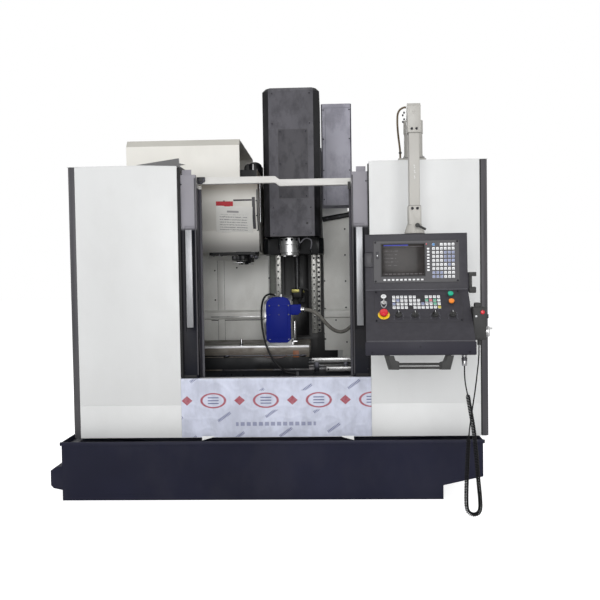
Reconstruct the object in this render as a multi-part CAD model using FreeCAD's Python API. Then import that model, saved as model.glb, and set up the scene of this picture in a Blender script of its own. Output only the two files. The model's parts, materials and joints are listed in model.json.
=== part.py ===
"""A vertical machining centre: cast bed and column, sheet-metal cabin, tool magazine, hung control pendant.

All sizes are millimetres. X runs to the right along the front of the cabin, Y runs away from the operator
and Z runs up from the floor. While it is modelled, the middle of the cabin's front face is X = 0, Y = 0.
The finished pieces are then moved so that the middle of the footprint is the origin.
"""

import FreeCAD, Part
import math
import os

Vec = FreeCAD.Vector

# ---------------------------------------------------------------- driving dimensions
# cabin
cabin_half = 1300.0
cabin_bottom = 364.0
cabin_top = 2064.0
cabin_back = 1900.0
sheet = 3.0
fold = 34.0
seam = 0.5
strip_width = 47.0
strip_wrap = 60.0
strip_corner = 26.0
skirt_top = 569.0
opening_left = -612.0
opening_right = 577.0
apron_top = 734.0

# doors and the frame that they run in
frame_side = cabin_half - sheet
door_front = 45.0
door_thick = 43.0
door_width = 640.0
door_skin = 3.0
door_top = 2010.0
door_edge_left = -504.0
door_edge_right = 471.0
window_width = 380.0
window_bottom = 1090.0
window_height = 700.0
window_thick = 8.0
window_inset = 150.0
pull_bottom = 1055.0
pull_top = 1665.0
pull_width = 42.0
pull_thick = 12.0
pull_standoff = 34.0
pull_inset = 22.0
pull_channel = 8.0
frame_gap = 4.0
header_depth = 48.0
header_height = 41.0
header_top_left = 1998.0
header_top_right = 1977.0
header_step_left = -8.0
header_step_right = 20.0
jamb_depth = 98.0
roller_radius = 20.0
play = 0.3

# coolant pan
pan_left = -cabin_half - 41.0
pan_right = cabin_half - 60.0
pan_front = -103.0
pan_back = 235.0
pan_rim = 22.0
pan_tray_low = 270.0
pan_tray_high = 330.0
pan_deep_left = -530.0
pan_deep_right = 430.0
pan_notch = 1000.0
pan_notch_low = 85.0
pan_notch_high = 138.0
spout_front = -60.0
spout_back = 120.0

# bed, column and feet
spindle_x = 40.0
spindle_y = 850.0
column_x = 62.0
bed_half = 330.0
bed_flange = 70.0
bed_bottom = 70.0
bed_body_top = 470.0
bed_front = 260.0
way_seat = 500.0
column_front = 1430.0
column_back = 1960.0
column_half = 217.0
column_top = 2400.0
column_foot_top = 860.0
foot_radius = 70.0
foot_pad = 22.0
foot_stem = 16.0
foot_nut = 30.0

# linear ways
rail_width = 45.0
rail_height = 38.0
rail_groove = 6.0
way_y_half = 230.0
way_y_start = 280.0
way_y_end = 1425.0
way_z_half = 145.0
way_z_start = 900.0
way_z_end = 2385.0
way_x_half = 190.0
runner_width = 100.0
runner_length = 120.0

# saddle and table
saddle_half = 650.0
saddle_front = 540.0
saddle_back = 1140.0
saddle_bottom = 594.0
saddle_seat = 697.0
table_length = 1000.0
table_depth = 500.0
table_right = 180.0
table_top = 878.0
table_thick = 81.0
table_runner_half = 180.0
slot_count = 5
slot_pitch = 90.0
slot_width = 18.0
slot_foot_width = 30.0
slot_neck = 18.0
slot_foot = 12.0

# head, spindle and its feed screw
head_bottom = 1530.0
head_seat = 1647.0
head_slide_half = 185.0
head_slide_back = 1385.0
head_slide_thick = 85.0
head_slide_top = 2130.0
head_arm_half = 150.0
head_arm_top = 1960.0
wing_left = -160.0
wing_right = 290.0
spindle_housing = 135.0
spindle_housing_height = 400.0
spindle_motor_half = 105.0
nose_radius = 69.5
nose_bottom = 1535.5
spindle_face = 1518.0
spindle_radius = 64.0
shaft_radius = 45.0
taper_mouth = 22.2
taper_depth = 65.0
running = 0.05
cover_x = 72.0
cover_half = 202.0
cover_chamfer = 44.0
cover_front = 650.0
cover_back = 1345.0
cover_top = 2695.0
screw_x = 70.0
screw_y = 1412.0
screw_radius = 20.0
journal_radius = 12.5
bearing_low = 1190.0
bearing_low_top = 1262.0
bearing_high = 2345.0

# tool magazine
drum_left = -640.0
drum_right = -175.0
drum_y = 1115.0
drum_z = 1945.0
drum_radius = 415.0
drum_lid = 2127.0
drum_lid_left = -300.0
disc_left = -600.0
disc_thick = 150.0
disc_hub = 30.0
pot_count = 20
pot_ring = 310.0
pot_radius = 33.0
pot_length = 105.0
arm_x = -300.0
arm_reach = 340.0
arm_top = 1512.0
arm_thick = 32.0
dome_radius = 50.0
dome_x = -213.0

hood_left = -1093.0
hood_right = -291.0
hood_front = 620.0
hood_back = 1575.0
hood_top = 2338.0
hood_band = 45.0

# duct behind the column
duct_right = 531.0
duct_front = 1600.0
duct_back = 1880.0
duct_bottom = 1950.0
duct_top = 2790.0

# rotary table
rotary_left = -115.0
rotary_right = 56.0
rotary_y = 740.0
rotary_z = 1070.0
rotary_radius = 155.0
faceplate_radius = 125.0
faceplate_thick = 23.0
faceplate_neck = 40.0
rotary_cover_depth = 62.0
rotary_cover_low = 905.0
rotary_cover_high = 1222.0
connector_right = 127.0
connector_low = 1098.0
connector_high = 1168.0

# pendant and its arm
post_x = 860.0
post_y = 90.0
post_radius = 57.0
boom_bottom = 2240.0
boom_height = 80.0
swivel_x = 810.0
swivel_y = -350.0
tube_side = 60.0
coupling_top = 1751.0
coupling_bottom = 1597.0
lever_z = 1640.0
pendant_yaw = -3.0
pendant_half = 280.0
pendant_top = 1592.0
pendant_fold = 1281.0
pendant_lip_top = 1020.0
pendant_bottom = 948.0
pendant_face_top = -95.0
pendant_face = -116.0
pendant_lip = -388.0
pendant_rear = 85.0

parts = {}


# ---------------------------------------------------------------- helpers
def block(x0, x1, y0, y1, z0, z1):
    """A box between two corners."""
    return Part.makeBox(x1 - x0, y1 - y0, z1 - z0, Vec(x0, y0, z0))


def rod(x, y, z, radius, length, axis=(0, 0, 1)):
    """A round bar that starts at a point and runs along an axis."""
    return Part.makeCylinder(radius, length, Vec(x, y, z), Vec(*axis))


def extrude(points, run):
    """A flat outline pushed along a vector into a solid."""
    face = Part.Face(Part.makePolygon([Vec(*p) for p in points] + [Vec(*points[0])]))
    return face.extrude(Vec(*run))


def slab_xz(points, y0, y1):
    """An outline in X and Z, from y0 to y1."""
    return extrude([(x, y0, z) for x, z in points], (0, y1 - y0, 0))


def slab_yz(points, x0, x1):
    """An outline in Y and Z, from x0 to x1."""
    return extrude([(x0, y, z) for y, z in points], (x1 - x0, 0, 0))


def slab_xy(points, z0, z1):
    """An outline in X and Y, from z0 to z1."""
    return extrude([(x, y, z0) for x, y in points], (0, 0, z1 - z0))


def join(*shapes):
    """One solid out of several that overlap or share faces."""
    return shapes[0].multiFuse(list(shapes[1:])).removeSplitter()


def group(*shapes):
    """Like pieces that stand apart, kept in one file."""
    return Part.makeCompound(list(shapes))


def runs_along(edge, axis):
    """Whether a straight edge is parallel to an axis."""
    if edge.Curve.TypeId != "Part::GeomLine":
        return False
    return abs(abs(edge.Curve.Direction.dot(Vec(*axis))) - 1.0) < 1e-6


def rounded(shape, radius, axis, keep=lambda p: True):
    """Rounds the edges along an axis whose middle passes a test."""
    edges = [e for e in shape.Edges if runs_along(e, axis) and keep(e.CenterOfMass)]
    return shape.makeFillet(radius, edges)


def bevelled(shape, size, axis, keep=lambda p: True):
    """Chamfers the edges along an axis whose middle passes a test."""
    edges = [e for e in shape.Edges if runs_along(e, axis) and keep(e.CenterOfMass)]
    return shape.makeChamfer(size, edges)


def arc_middle(start, end, tangent):
    """The half-way point of the arc that leaves start along tangent and ends at end."""
    chord = end.sub(start)
    along = chord.dot(tangent)
    across = tangent.sub(chord * (along / chord.dot(chord)))
    middle = (start + end) * 0.5
    if across.Length < 1e-9:
        return middle
    half_turn = math.acos(max(-1.0, min(1.0, along / chord.Length)))
    return middle + across.normalize() * (chord.Length / 2.0 * math.tan(half_turn / 2.0))


def runs(points):
    """The edges of a route: straight runs joined by tangent arcs, with the radius of the tightest one."""
    places = [Vec(*p) for p in points]
    edges, start, tightest = [], places[0], 1e9
    for before, corner, after in zip(places, places[1:], places[2:]):
        into = (corner - before).normalize()
        out = (after - corner).normalize()
        turn = math.acos(max(-1.0, min(1.0, into.dot(out))))
        reach = 0.45 * min((corner - before).Length, (after - corner).Length)
        tightest = min(tightest, reach / math.tan(turn / 2.0))
        first, last = corner - into * reach, corner + out * reach
        edges.append(Part.LineSegment(start, first).toShape())
        edges.append(Part.Arc(first, arc_middle(first, last, into), last).toShape())
        start = last
    edges.append(Part.LineSegment(start, places[-1]).toShape())
    return edges, tightest


def sweep(edges, diameter, name, tightest):
    """A round tube along tangent edges; prints its length, tightest bend and volume check."""
    path = Part.Wire(edges)
    start = edges[0].Vertexes[0].Point
    ring = Part.Wire(Part.makeCircle(diameter / 2.0, start, edges[0].tangentAt(edges[0].FirstParameter)))
    solid = path.makePipeShell([ring], True, False)
    ratio = solid.Volume / (math.pi * diameter ** 2 / 4.0 * path.Length)
    print(f"{name}: {path.Length:.0f} mm long, tightest bend {tightest:.0f} mm, volume ratio {ratio:.4f}")
    return solid


def tube(points, diameter, name):
    """A round tube along a route."""
    edges, tightest = runs(points)
    return sweep(edges, diameter, name, tightest)


def halfway(a, b):
    """The point half-way between two others."""
    return tuple((p + q) / 2.0 for p, q in zip(a, b))


def biarc(start, leave, end, arrive):
    """Two tangent arcs from start, along leave, to end, along arrive."""
    chord, both = end - start, leave + arrive
    spread = 2.0 * (1.0 - leave.dot(arrive))
    along = chord.dot(both)
    reach = (math.sqrt(along ** 2 + spread * chord.dot(chord)) - along) / spread
    knee = (start + leave * reach + end - arrive * reach) * 0.5
    return [Part.Arc(start, arc_middle(start, knee, leave), knee).toShape(),
            Part.Arc(knee, arc_middle(end, knee, arrive * -1.0), end).toShape()]


def curls(edges, radius, turns):
    """The edges of a coil of so many turns wound round a route, drawn in to the route at both ends."""
    steps = 12
    count = turns * steps
    middles = Part.Wire(edges).discretize(Number=count + 1)
    side = Vec(0, 1, 0)
    winding = []
    for number, middle in enumerate(middles):
        ahead = (middles[min(number + 1, count)] - middles[max(number - 1, 0)]).normalize()
        side = (side - ahead * side.dot(ahead)).normalize()
        rise = min(1.0, min(number, count - number) / (1.5 * steps))
        swing = radius * rise * rise * (3.0 - 2.0 * rise)
        angle = 2.0 * math.pi * number / steps
        winding.append(middle + (side * math.cos(angle) + ahead.cross(side) * math.sin(angle)) * swing)
    ends = (edges[0].tangentAt(edges[0].FirstParameter), edges[-1].tangentAt(edges[-1].LastParameter))
    half = steps // 2
    knots = list(range(0, count + 1, half))
    ways = [ends[0]] + [(winding[k + 1] - winding[k - 1]).normalize() for k in knots[1:-1]] + [ends[1]]
    coil = []
    for (first, leave), (last, arrive) in zip(zip(knots, ways), zip(knots[1:], ways[1:])):
        coil += biarc(winding[first], leave, winding[last], arrive)
    return coil


def self_gap(edges, diameter):
    """The least free space between stretches of a tube that aren't neighbours along it."""
    points = Part.Wire(edges).discretize(Distance=4.0)
    skip = int(diameter * 3.0 / 4.0) + 2
    least = min((a - b).Length for n, a in enumerate(points) for b in points[n + skip:])
    return least - diameter


# ---------------------------------------------------------------- bed, column, feet
way_top = way_seat + rail_height
screw_gap = play


def make_base_casting():
    """The ribbed bed: a box body on a foot flange, with two way seats and the column's seat."""
    left, right = column_x - bed_half, column_x + bed_half
    body = block(left, right, bed_front, column_back, bed_bottom, bed_body_top)
    body = bevelled(body, 60, (0, 0, 1), lambda p: p.y < bed_front + 1)
    flange = block(left - bed_flange, right + bed_flange, bed_front + 60, column_back, bed_bottom,
                   bed_bottom + 60)
    seats = []
    for side in (-1, 1):
        x = spindle_x + side * way_y_half
        seats.append(block(x - rail_width, x + rail_width, bed_front + 10, column_front - 2, bed_body_top,
                           way_seat))
    seats.append(block(left, right, column_front, column_back, bed_body_top, way_seat))
    casting = join(body, flange, *seats)
    pocket_depth = 45.0
    bays = 4
    pitch = (column_back - bed_front - 160) / bays
    for bay in range(bays):
        y0 = bed_front + 110 + bay * pitch
        for x0, x1 in ((left - 1, left + pocket_depth), (right - pocket_depth, right + 1)):
            pocket = block(x0, x1, y0, y0 + pitch - 70, bed_bottom + 100, bed_body_top - 60)
            casting = casting.cut(rounded(pocket, 40, (1, 0, 0)))
        core = block(left + pocket_depth + 30, right - pocket_depth - 30, y0 - 20, y0 + pitch - 50,
                     bed_bottom - 1,
                     bed_body_top - 40)
        casting = casting.cut(core)
    return casting


def make_levelling_feet():
    """Six screw feet under the bed's flange."""
    feet = []
    for side in (-1, 1):
        for y in (bed_front + 190, (bed_front + column_back) / 2 + 60, column_back - 90):
            x = column_x + side * (bed_half + bed_flange / 2)
            pad = rod(x, y, 0, foot_radius, foot_pad)
            stem = rod(x, y, foot_pad, foot_stem, bed_bottom - foot_pad)
            corners = [math.radians(60 * corner) for corner in range(6)]
            flats = [(x + foot_nut * math.cos(a), y + foot_nut * math.sin(a)) for a in corners]
            feet.append(join(pad, stem, slab_xy(flats, foot_pad + 12, foot_pad + 28)))
    return group(*feet)


def make_column():
    """The column with its wide foot, screw bearing blocks, feed motor and magazine pad."""
    left, right = column_x - column_half, column_x + column_half
    wide = bed_half
    outline = [
        (left, column_top), (right, column_top), (right, column_foot_top),
        (column_x + wide, column_foot_top - 100), (column_x + wide, way_seat),
        (column_x - wide, way_seat), (column_x - wide, column_foot_top - 100), (left, column_foot_top),
    ]
    body = slab_xz(outline, column_front, column_back)
    recess_half = way_z_half - rail_width / 2 - 26
    recess = block(column_x - recess_half, column_x + recess_half, column_front - 1, column_front + 22,
                   way_z_start - 20, column_top - 15)
    body = body.cut(recess)
    for z in (1000, 1420, 1840):
        pocket = block(left - 1, left + 40, column_front + 130, column_back - 110, z, z + 320)
        body = body.cut(rounded(pocket, 50, (1, 0, 0)))
        pocket = block(right - 40, right + 1, column_front + 130, column_back - 110, z, z + 320)
        body = body.cut(rounded(pocket, 50, (1, 0, 0)))
    low = block(screw_x - 45, screw_x + 45, screw_y - 48, column_front + 24, bearing_low, bearing_low_top)
    low = rounded(low, 18, (0, 0, 1), lambda p: p.y < screw_y)
    high = block(screw_x - 60, screw_x + 60, screw_y - 60, column_front + 24, bearing_high, column_top)
    motor = block(screw_x - 62, screw_x + 62, screw_y - 62, screw_y + 62, column_top, column_top + 200)
    motor = bevelled(motor, 14, (0, 0, 1))
    pad = block(drum_right, left, column_front + 20, drum_y + drum_radius - 5, drum_z - 200, drum_z + 100)
    casting = join(body, low, high, motor, pad)
    core = block(column_x - column_half + 66, column_x + column_half - 66, column_front + 70,
                 column_back - 50,
                 way_seat - 1, column_top - 60)
    return casting.cut(core).cut(rod(screw_x, screw_y, bearing_low + 10, journal_radius + running,
                           column_top - bearing_low - 15))


def make_guide_rails():
    """The two bed rails and the two column rails."""
    rails = []
    for side in (-1, 1):
        x = spindle_x + side * way_y_half
        rails.append(block(x - rail_width / 2, x + rail_width / 2, way_y_start, way_y_end, way_seat,
                           way_top))
        x = column_x + side * way_z_half
        rails.append(block(x - rail_width / 2, x + rail_width / 2, column_front - rail_height, column_front,
                           way_z_start, way_z_end))
    return group(*[waisted(rail) for rail in rails])


def waisted(rail):
    """Cuts the shallow side grooves of a roller rail."""
    room, deep = rail.BoundBox, rail_groove / 2
    for x in (room.XMin, room.XMax):
        if room.YLength > room.ZLength:
            groove = block(x - deep, x + deep, room.YMin, room.YMax, room.ZMin + 14, room.ZMin + 24)
        else:
            groove = block(x - deep, x + deep, room.YMax - 24, room.YMax - 14, room.ZMin, room.ZMax)
        rail = rail.cut(groove)
    return rail


# ---------------------------------------------------------------- coolant pan
def make_chip_pan():
    """The welded coolant pan: an open front trough, sloping trays at both ends and a spout at the left."""
    left, right, top, deep = pan_left, pan_right, cabin_bottom, 2 * sheet
    outer = slab_xz([(left, 0), (pan_notch, 0), (pan_notch, pan_notch_low), (right, pan_notch_high),
                     (right, top),
                     (left, top)], pan_front, pan_back)
    inside = pan_front + sheet, pan_back - sheet
    open_top = slab_xz(
        [(left + sheet, pan_tray_high), (pan_deep_left, pan_tray_low), (pan_deep_left, deep),
         (pan_deep_right, deep),
         (pan_deep_right, pan_tray_low), (right - sheet, pan_tray_high), (right - sheet, top + 1),
         (left + sheet, top + 1)], *inside)
    under = 4.0
    under_left = slab_xz(
        [(left + sheet, -1), (pan_deep_left - sheet, -1), (pan_deep_left - sheet, pan_tray_low - under),
         (left + sheet, pan_tray_high - under)], *inside)
    under_right = slab_xz(
        [(pan_deep_right + sheet, -1), (pan_notch - sheet, -1), (pan_notch - sheet, pan_notch_low + sheet),
         (right - sheet, pan_notch_high + sheet), (right - sheet, pan_tray_high - under),
         (pan_deep_right + sheet, pan_tray_low - under)], *inside)
    spout = slab_xz([(left - 89, 84), (left - 72, 65), (left, 50), (left, 205), (left - 60, 197),
                     (left - 89, 176)],
                    spout_front, spout_back)
    spout = spout.cut(slab_xz([(left - 95, 88), (left - 60, 76), (left + 6, 64), (left + 6, 192),
                               (left - 60, 184),
                               (left - 95, 170)], spout_front + sheet, spout_back - sheet))
    rim = block(left - 10, right + 10, pan_front - 8, pan_front + sheet, top - pan_rim, top)
    pan = join(outer, spout, rim).cut(group(open_top, under_left, under_right))
    return rounded(pan, 6, (0, 0, 1), lambda p: p.y < pan_front - 7)


# ---------------------------------------------------------------- cabin sheet metal
def front_panel(edge, outer, side):
    """A front cabin sheet between its corner strip and the door opening, folded back round its edges."""
    low, high = min(edge, outer), max(edge, outer)
    plate = block(low, high, 0, sheet, cabin_bottom, cabin_top)
    returns = [
        block(low, high, sheet, fold, cabin_top - sheet, cabin_top),
        block(low, high, sheet, fold, cabin_bottom, cabin_bottom + sheet),
        block(edge - sheet, edge, sheet, fold, cabin_bottom, cabin_top) if side < 0
        else block(edge, edge + sheet, sheet, fold, cabin_bottom, cabin_top),
    ]
    groove = block(low, high, -1, 1.2, skirt_top - 2, skirt_top + 2)
    return join(plate, *returns).cut(groove)


def make_corner_strips():
    """The dark corner sheets, bent round both front corners of the cabin."""
    strips = []
    for side in (-1, 1):
        outer = side * cabin_half
        inner = side * (cabin_half - strip_width + seam)
        x0, x1 = min(outer, inner), max(outer, inner)
        solid = block(x0, x1, 0, strip_wrap, cabin_bottom, cabin_top)
        solid = rounded(solid, strip_corner, (0, 0, 1), lambda p: p.y < 1 and abs(p.x) > cabin_half - 1)
        hollow = block(x0 + (sheet if side < 0 else -1), x1 - (sheet if side > 0 else -1), sheet,
                       strip_wrap + 1,
                       cabin_bottom - 1, cabin_top + 1)
        hollow = rounded(hollow, strip_corner - sheet, (0, 0, 1),
                         lambda p: p.y < sheet + 1 and abs(p.x) > cabin_half - sheet - 1)
        strips.append(solid.cut(hollow))
    return group(*strips)


def make_side_panels():
    """The two cabin sides, folded in along three edges, each with a shallow service hatch."""
    panels = []
    for side in (-1, 1):
        outer = side * cabin_half

        def span(a, b):
            return min(outer - side * a, outer - side * b), max(outer - side * a, outer - side * b)

        x0, x1 = span(0, sheet)
        r0, r1 = span(sheet, fold)
        y0 = strip_wrap + seam
        plate = block(x0, x1, y0, cabin_back, cabin_bottom, cabin_top)
        top = block(r0, r1, y0, cabin_back, cabin_top - sheet, cabin_top)
        low = block(r0, r1, y0, cabin_back, cabin_bottom, cabin_bottom + sheet)
        rear = block(r0, r1, cabin_back - sheet, cabin_back, cabin_bottom + sheet, cabin_top - sheet)
        h0, h1 = span(-2, 0)
        hatch = block(h0, h1, 1000, 1560, 760, 1720)
        pieces = [plate, top, low, rear, rounded(hatch, 20, (1, 0, 0))]
        if side > 0:
            pieces.append(rod(*wall_conduit_route[-1], wall_gland_radius, wall_gland, (1, 0, 0)))
        panels.append(join(*pieces))
    return group(*panels)


def make_front_apron():
    """The low front sheet under the doors, folded back along its top and bottom."""
    x0, x1 = opening_left + seam, opening_right - seam
    plate = block(x0, x1, 0, sheet, cabin_bottom, apron_top)
    top = block(x0, x1, sheet, fold, apron_top - sheet, apron_top)
    low = block(x0, x1, sheet, fold, cabin_bottom, cabin_bottom + sheet)
    return rounded(join(plate, top, low), 2, (1, 0, 0), lambda p: p.y < 0.5 and p.z > apron_top - 1)


frame_front = door_front + door_thick + frame_gap
door_low = apron_top - play
rail_low = 640.0


def make_door_frame():
    """The welded door frame: header with its joggle, two jambs, the sill and the doors' floor track."""
    y0, y1 = frame_front, frame_front + header_depth
    high = header_top_left
    low = header_top_right
    header = slab_xz(
        [(-frame_side, high), (header_step_left, high), (header_step_right, low), (frame_side, low),
         (frame_side, low - header_height), (header_step_right, low - header_height),
         (header_step_left, high - header_height), (-frame_side, high - header_height)], y0, y1)
    jamb_left = block(door_edge_left - 4, door_edge_left - 1, y0, y0 + jamb_depth, rail_low,
                      high - header_height)
    jamb_right = block(door_edge_right + 1, door_edge_right + 4, y0, y0 + jamb_depth, rail_low,
                       low - header_height)
    lip_left = block(door_edge_left - 60, door_edge_left - 1, y0, y0 + sheet, rail_low,
                     high - header_height)
    lip_right = block(door_edge_right + 1, door_edge_right + 60, y0, y0 + sheet, rail_low,
                      low - header_height)
    back_left = block(door_edge_left - 1, door_edge_left + 14, y0 + jamb_depth - sheet, y0 + jamb_depth,
                      rail_low, high - header_height)
    back_right = block(door_edge_right - 14, door_edge_right + 1, y0 + jamb_depth - sheet, y0 + jamb_depth,
                       rail_low, low - header_height)
    rail = block(-frame_side, frame_side, y0, y0 + 5, rail_low, apron_top - 2)
    sill = slab_yz([(y0, apron_top - 2), (y0 + jamb_depth, apron_top - 40),
                    (y0 + jamb_depth, apron_top - 44),
                    (y0, apron_top - 6)], door_edge_left - 1, door_edge_right + 1)
    track = block(-frame_side, frame_side, fold + seam, y0, door_low - play - sheet, door_low - play)
    return join(header, jamb_left, jamb_right, lip_left, lip_right, back_left, back_right, rail, sill,
                track)


def door(edge, side, header_top):
    """A sliding door: a folded tray with a window hole, a pull channel and two hanger rollers."""
    far = edge + side * door_width
    x0, x1 = min(edge, far), max(edge, far)
    y0, y1 = door_front, door_front + door_thick
    leaf = block(x0, x1, y0, y1, door_low, door_top)
    leaf = rounded(leaf, 5, (0, 0, 1), lambda p: p.y < y0 + 1)
    w0 = edge + side * window_inset
    w1 = w0 + side * window_width
    hole = block(min(w0, w1), max(w0, w1), y0 - 1, y1 + 1, window_bottom, window_bottom + window_height)
    c0, c1 = edge + side * 10, edge + side * (10 + pull_width + 24)
    channel = block(min(c0, c1), max(c0, c1), y0 - 1, y0 + pull_channel, pull_bottom - 25, pull_top + 25)
    tray = block(x0 + door_skin, x1 - door_skin, y0 + door_skin, y1 + 1, door_low + door_skin,
                 door_top - door_skin)
    frame = block(min(w0, w1) - 14, max(w0, w1) + 14, y0, y1 + 2, window_bottom - 14,
                  window_bottom + window_height + 14)
    guard = block(min(c0, c1) - door_skin, max(c0, c1) + door_skin, y0, y0 + pull_channel + door_skin,
                  pull_bottom - 25 - door_skin, pull_top + 25 + door_skin)
    tray = tray.cut(rounded(frame, 35, (0, 1, 0))).cut(guard)
    leaf = leaf.cut(tray).cut(rounded(hole, 25, (0, 1, 0))).cut(channel)
    hangers = []
    for x in (edge + side * 60, edge + side * (door_width - 90)):
        z = header_top + play + roller_radius
        hangers.append(block(x - 30, x + 30, y1 - 12, y1 - 6, door_top - 60, door_top + 36))
        hangers.append(rod(x, y1 - 12, z, 8, 44, (0, 1, 0)))
        hangers.append(rod(x, y1 + frame_gap + 8, z, roller_radius, 20, (0, 1, 0)))
    return join(leaf, *hangers)


def door_window(edge, side):
    """The clear pane that fills a door's window hole at mid thickness."""
    w0 = edge + side * window_inset
    w1 = w0 + side * window_width
    y0 = door_front + (door_thick - window_thick) / 2
    pane = block(min(w0, w1), max(w0, w1), y0, y0 + window_thick, window_bottom,
                 window_bottom + window_height)
    return rounded(pane, 25, (0, 1, 0))


def door_pull(edge, side):
    """A door's upright pull: a flat steel bar on two round standoffs in the pull channel."""
    middle = edge + side * (10 + 12 + pull_width / 2)
    foot = door_front + pull_channel
    y0 = foot - pull_standoff - pull_thick
    bar = block(middle - pull_width / 2, middle + pull_width / 2, y0, y0 + pull_thick, pull_bottom,
                pull_top)
    bar = rounded(bar, 4, (0, 0, 1))
    posts = [rod(middle, y0 + pull_thick, z, 9, pull_standoff, (0, 1, 0))
             for z in (pull_bottom + 45, pull_top - 45)]
    return join(bar, *posts)


guard_front = 1400.0
guard_gap = 8.0
chute_high = 775.0
chute_low = 452.0


def inner_guard(side):
    """The inside of one half of the cabin: rear wall, ledge and sloping chip floor down to the bed."""
    wall_x = side * (cabin_half - sheet)
    near_x = column_x + side * (column_half + guard_gap)
    bed_x = column_x + side * bed_half
    slope = [(wall_x, chute_high), (bed_x, chute_low), (bed_x, chute_low - 5), (wall_x, chute_high - 5)]
    floor = slab_xz(slope, frame_front + 5, guard_front + sheet)
    hang = block(min(bed_x, bed_x + side * 5), max(bed_x, bed_x + side * 5), frame_front + 5 + bed_front,
                 guard_front, chute_low - 60, chute_low + 1)
    low_x = near_x
    low_z = chute_low + (chute_high - chute_low) * (low_x - bed_x) / (wall_x - bed_x) + 80
    if side < 0:
        outline = [(wall_x, chute_high - 2), (bed_x - 40, chute_low + 12), (bed_x - 40, 760), (near_x, 760),
                   (near_x, 1500), (drum_left - 15, 1500), (drum_left - 15, cabin_top - sheet),
                   (wall_x, cabin_top - sheet)]
    else:
        outline = [(wall_x, chute_high - 2), (bed_x + 40, chute_low + 12), (bed_x + 40, 760), (near_x, 760),
                   (near_x, 1823), (near_x + 800, cabin_top - sheet), (wall_x, cabin_top - sheet)]
    wall = slab_xz(outline, guard_front, guard_front + sheet)
    lip0, lip1 = min(near_x, near_x + side * 900), max(near_x, near_x + side * 900)
    ledge = slab_yz([(guard_front, 1096), (guard_front - 30, 1078), (guard_front - 30, 1030),
                     (guard_front, 1022)], lip0, lip1)
    return join(floor, hang, wall, ledge)


def make_roof_panels():
    """The two roof sheets over the ends of the cabin, with the small gusset on the left one."""
    z0, z1 = cabin_top, cabin_top + sheet
    left = block(-cabin_half, door_edge_left - 95, 0, guard_front + sheet, z0, z1)
    left = left.cut(block(-1090, door_edge_left, 640, guard_front + 10, z0 - 1, z1 + 1))
    gusset = slab_xz([(-869, z1), (-598, z1), (-598, z1 + 44)], 30, 33)
    right = block(door_edge_right + 120, cabin_half, 0, guard_front + sheet, z0, z1)
    return group(join(left, gusset), right)


def make_magazine_roof():
    """The folded hood over the magazine, open below and at its right end."""
    y0, y1, z0, z1 = hood_front, hood_back, cabin_top + sheet, hood_top
    lean = hood_band * 2 / 3
    outer = slab_yz([(y0, z0), (y0, z1 - hood_band), (y0 + lean, z1), (y1, z1), (y1, z0)], hood_left,
                    hood_right)
    inner = slab_yz([(y0 + sheet, z0 - 1), (y0 + sheet, z1 - hood_band - 1), (y0 + lean + 1, z1 - sheet),
                     (y1 - sheet, z1 - sheet), (y1 - sheet, z0 - 1)], hood_left + sheet, hood_right + 1)
    return outer.cut(inner)


# ---------------------------------------------------------------- saddle and table
def make_saddle():
    """The cross saddle: upper plate, narrower keel, four runners on the bed ways and a front chip lip."""
    mid = spindle_y
    keel_top = saddle_bottom + 46
    plate = block(spindle_x - saddle_half, spindle_x + saddle_half, saddle_front, saddle_back, keel_top,
                  saddle_seat)
    plate = bevelled(plate, 24, (0, 0, 1))
    keel = block(spindle_x - way_y_half - 100, spindle_x + way_y_half + 100, saddle_front + 20,
                 saddle_back - 20,
                 saddle_bottom, keel_top)
    lip = slab_yz([(saddle_front, saddle_seat), (saddle_front - 95, keel_top + 14),
                   (saddle_front - 95, keel_top),
                   (saddle_front, saddle_seat - 22)], spindle_x - saddle_half + 30,
                  spindle_x + saddle_half - 30)
    trough = block(spindle_x - saddle_half + 60, spindle_x + saddle_half - 60, mid - 70, mid + 70,
                   saddle_seat - 30, saddle_seat + 1)
    gland = block(88, 112, 466, 494, 658, 712)
    body = join(plate, keel, lip, gland).cut(trough)
    runners = []
    for side in (-1, 1):
        for y in (mid - 200, mid + 200):
            x = spindle_x + side * way_y_half
            runner = block(x - runner_width / 2, x + runner_width / 2, y - runner_length / 2,
                           y + runner_length / 2,
                           way_seat + 6, saddle_bottom)
            gap = rail_width / 2 + play
            runners.append(runner.cut(block(x - gap, x + gap, y - runner_length, y + runner_length,
                                            way_seat,
                                            way_top + play)))
    return join(body, *runners)


def make_table_rails():
    """The two rails that the table runs on, along the saddle."""
    rails = []
    for side in (-1, 1):
        y = spindle_y + side * way_x_half
        rail = block(spindle_x - saddle_half + 10, spindle_x + saddle_half - 10, y - rail_width / 2,
                     y + rail_width / 2, saddle_seat, saddle_seat + rail_height)
        for edge in (y - rail_width / 2, y + rail_width / 2):
            rail = rail.cut(block(spindle_x - saddle_half, spindle_x + saddle_half, edge - rail_groove / 2,
                                  edge + rail_groove / 2, saddle_seat + 14, saddle_seat + 24))
        rails.append(rail)
    return group(*rails)


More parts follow.
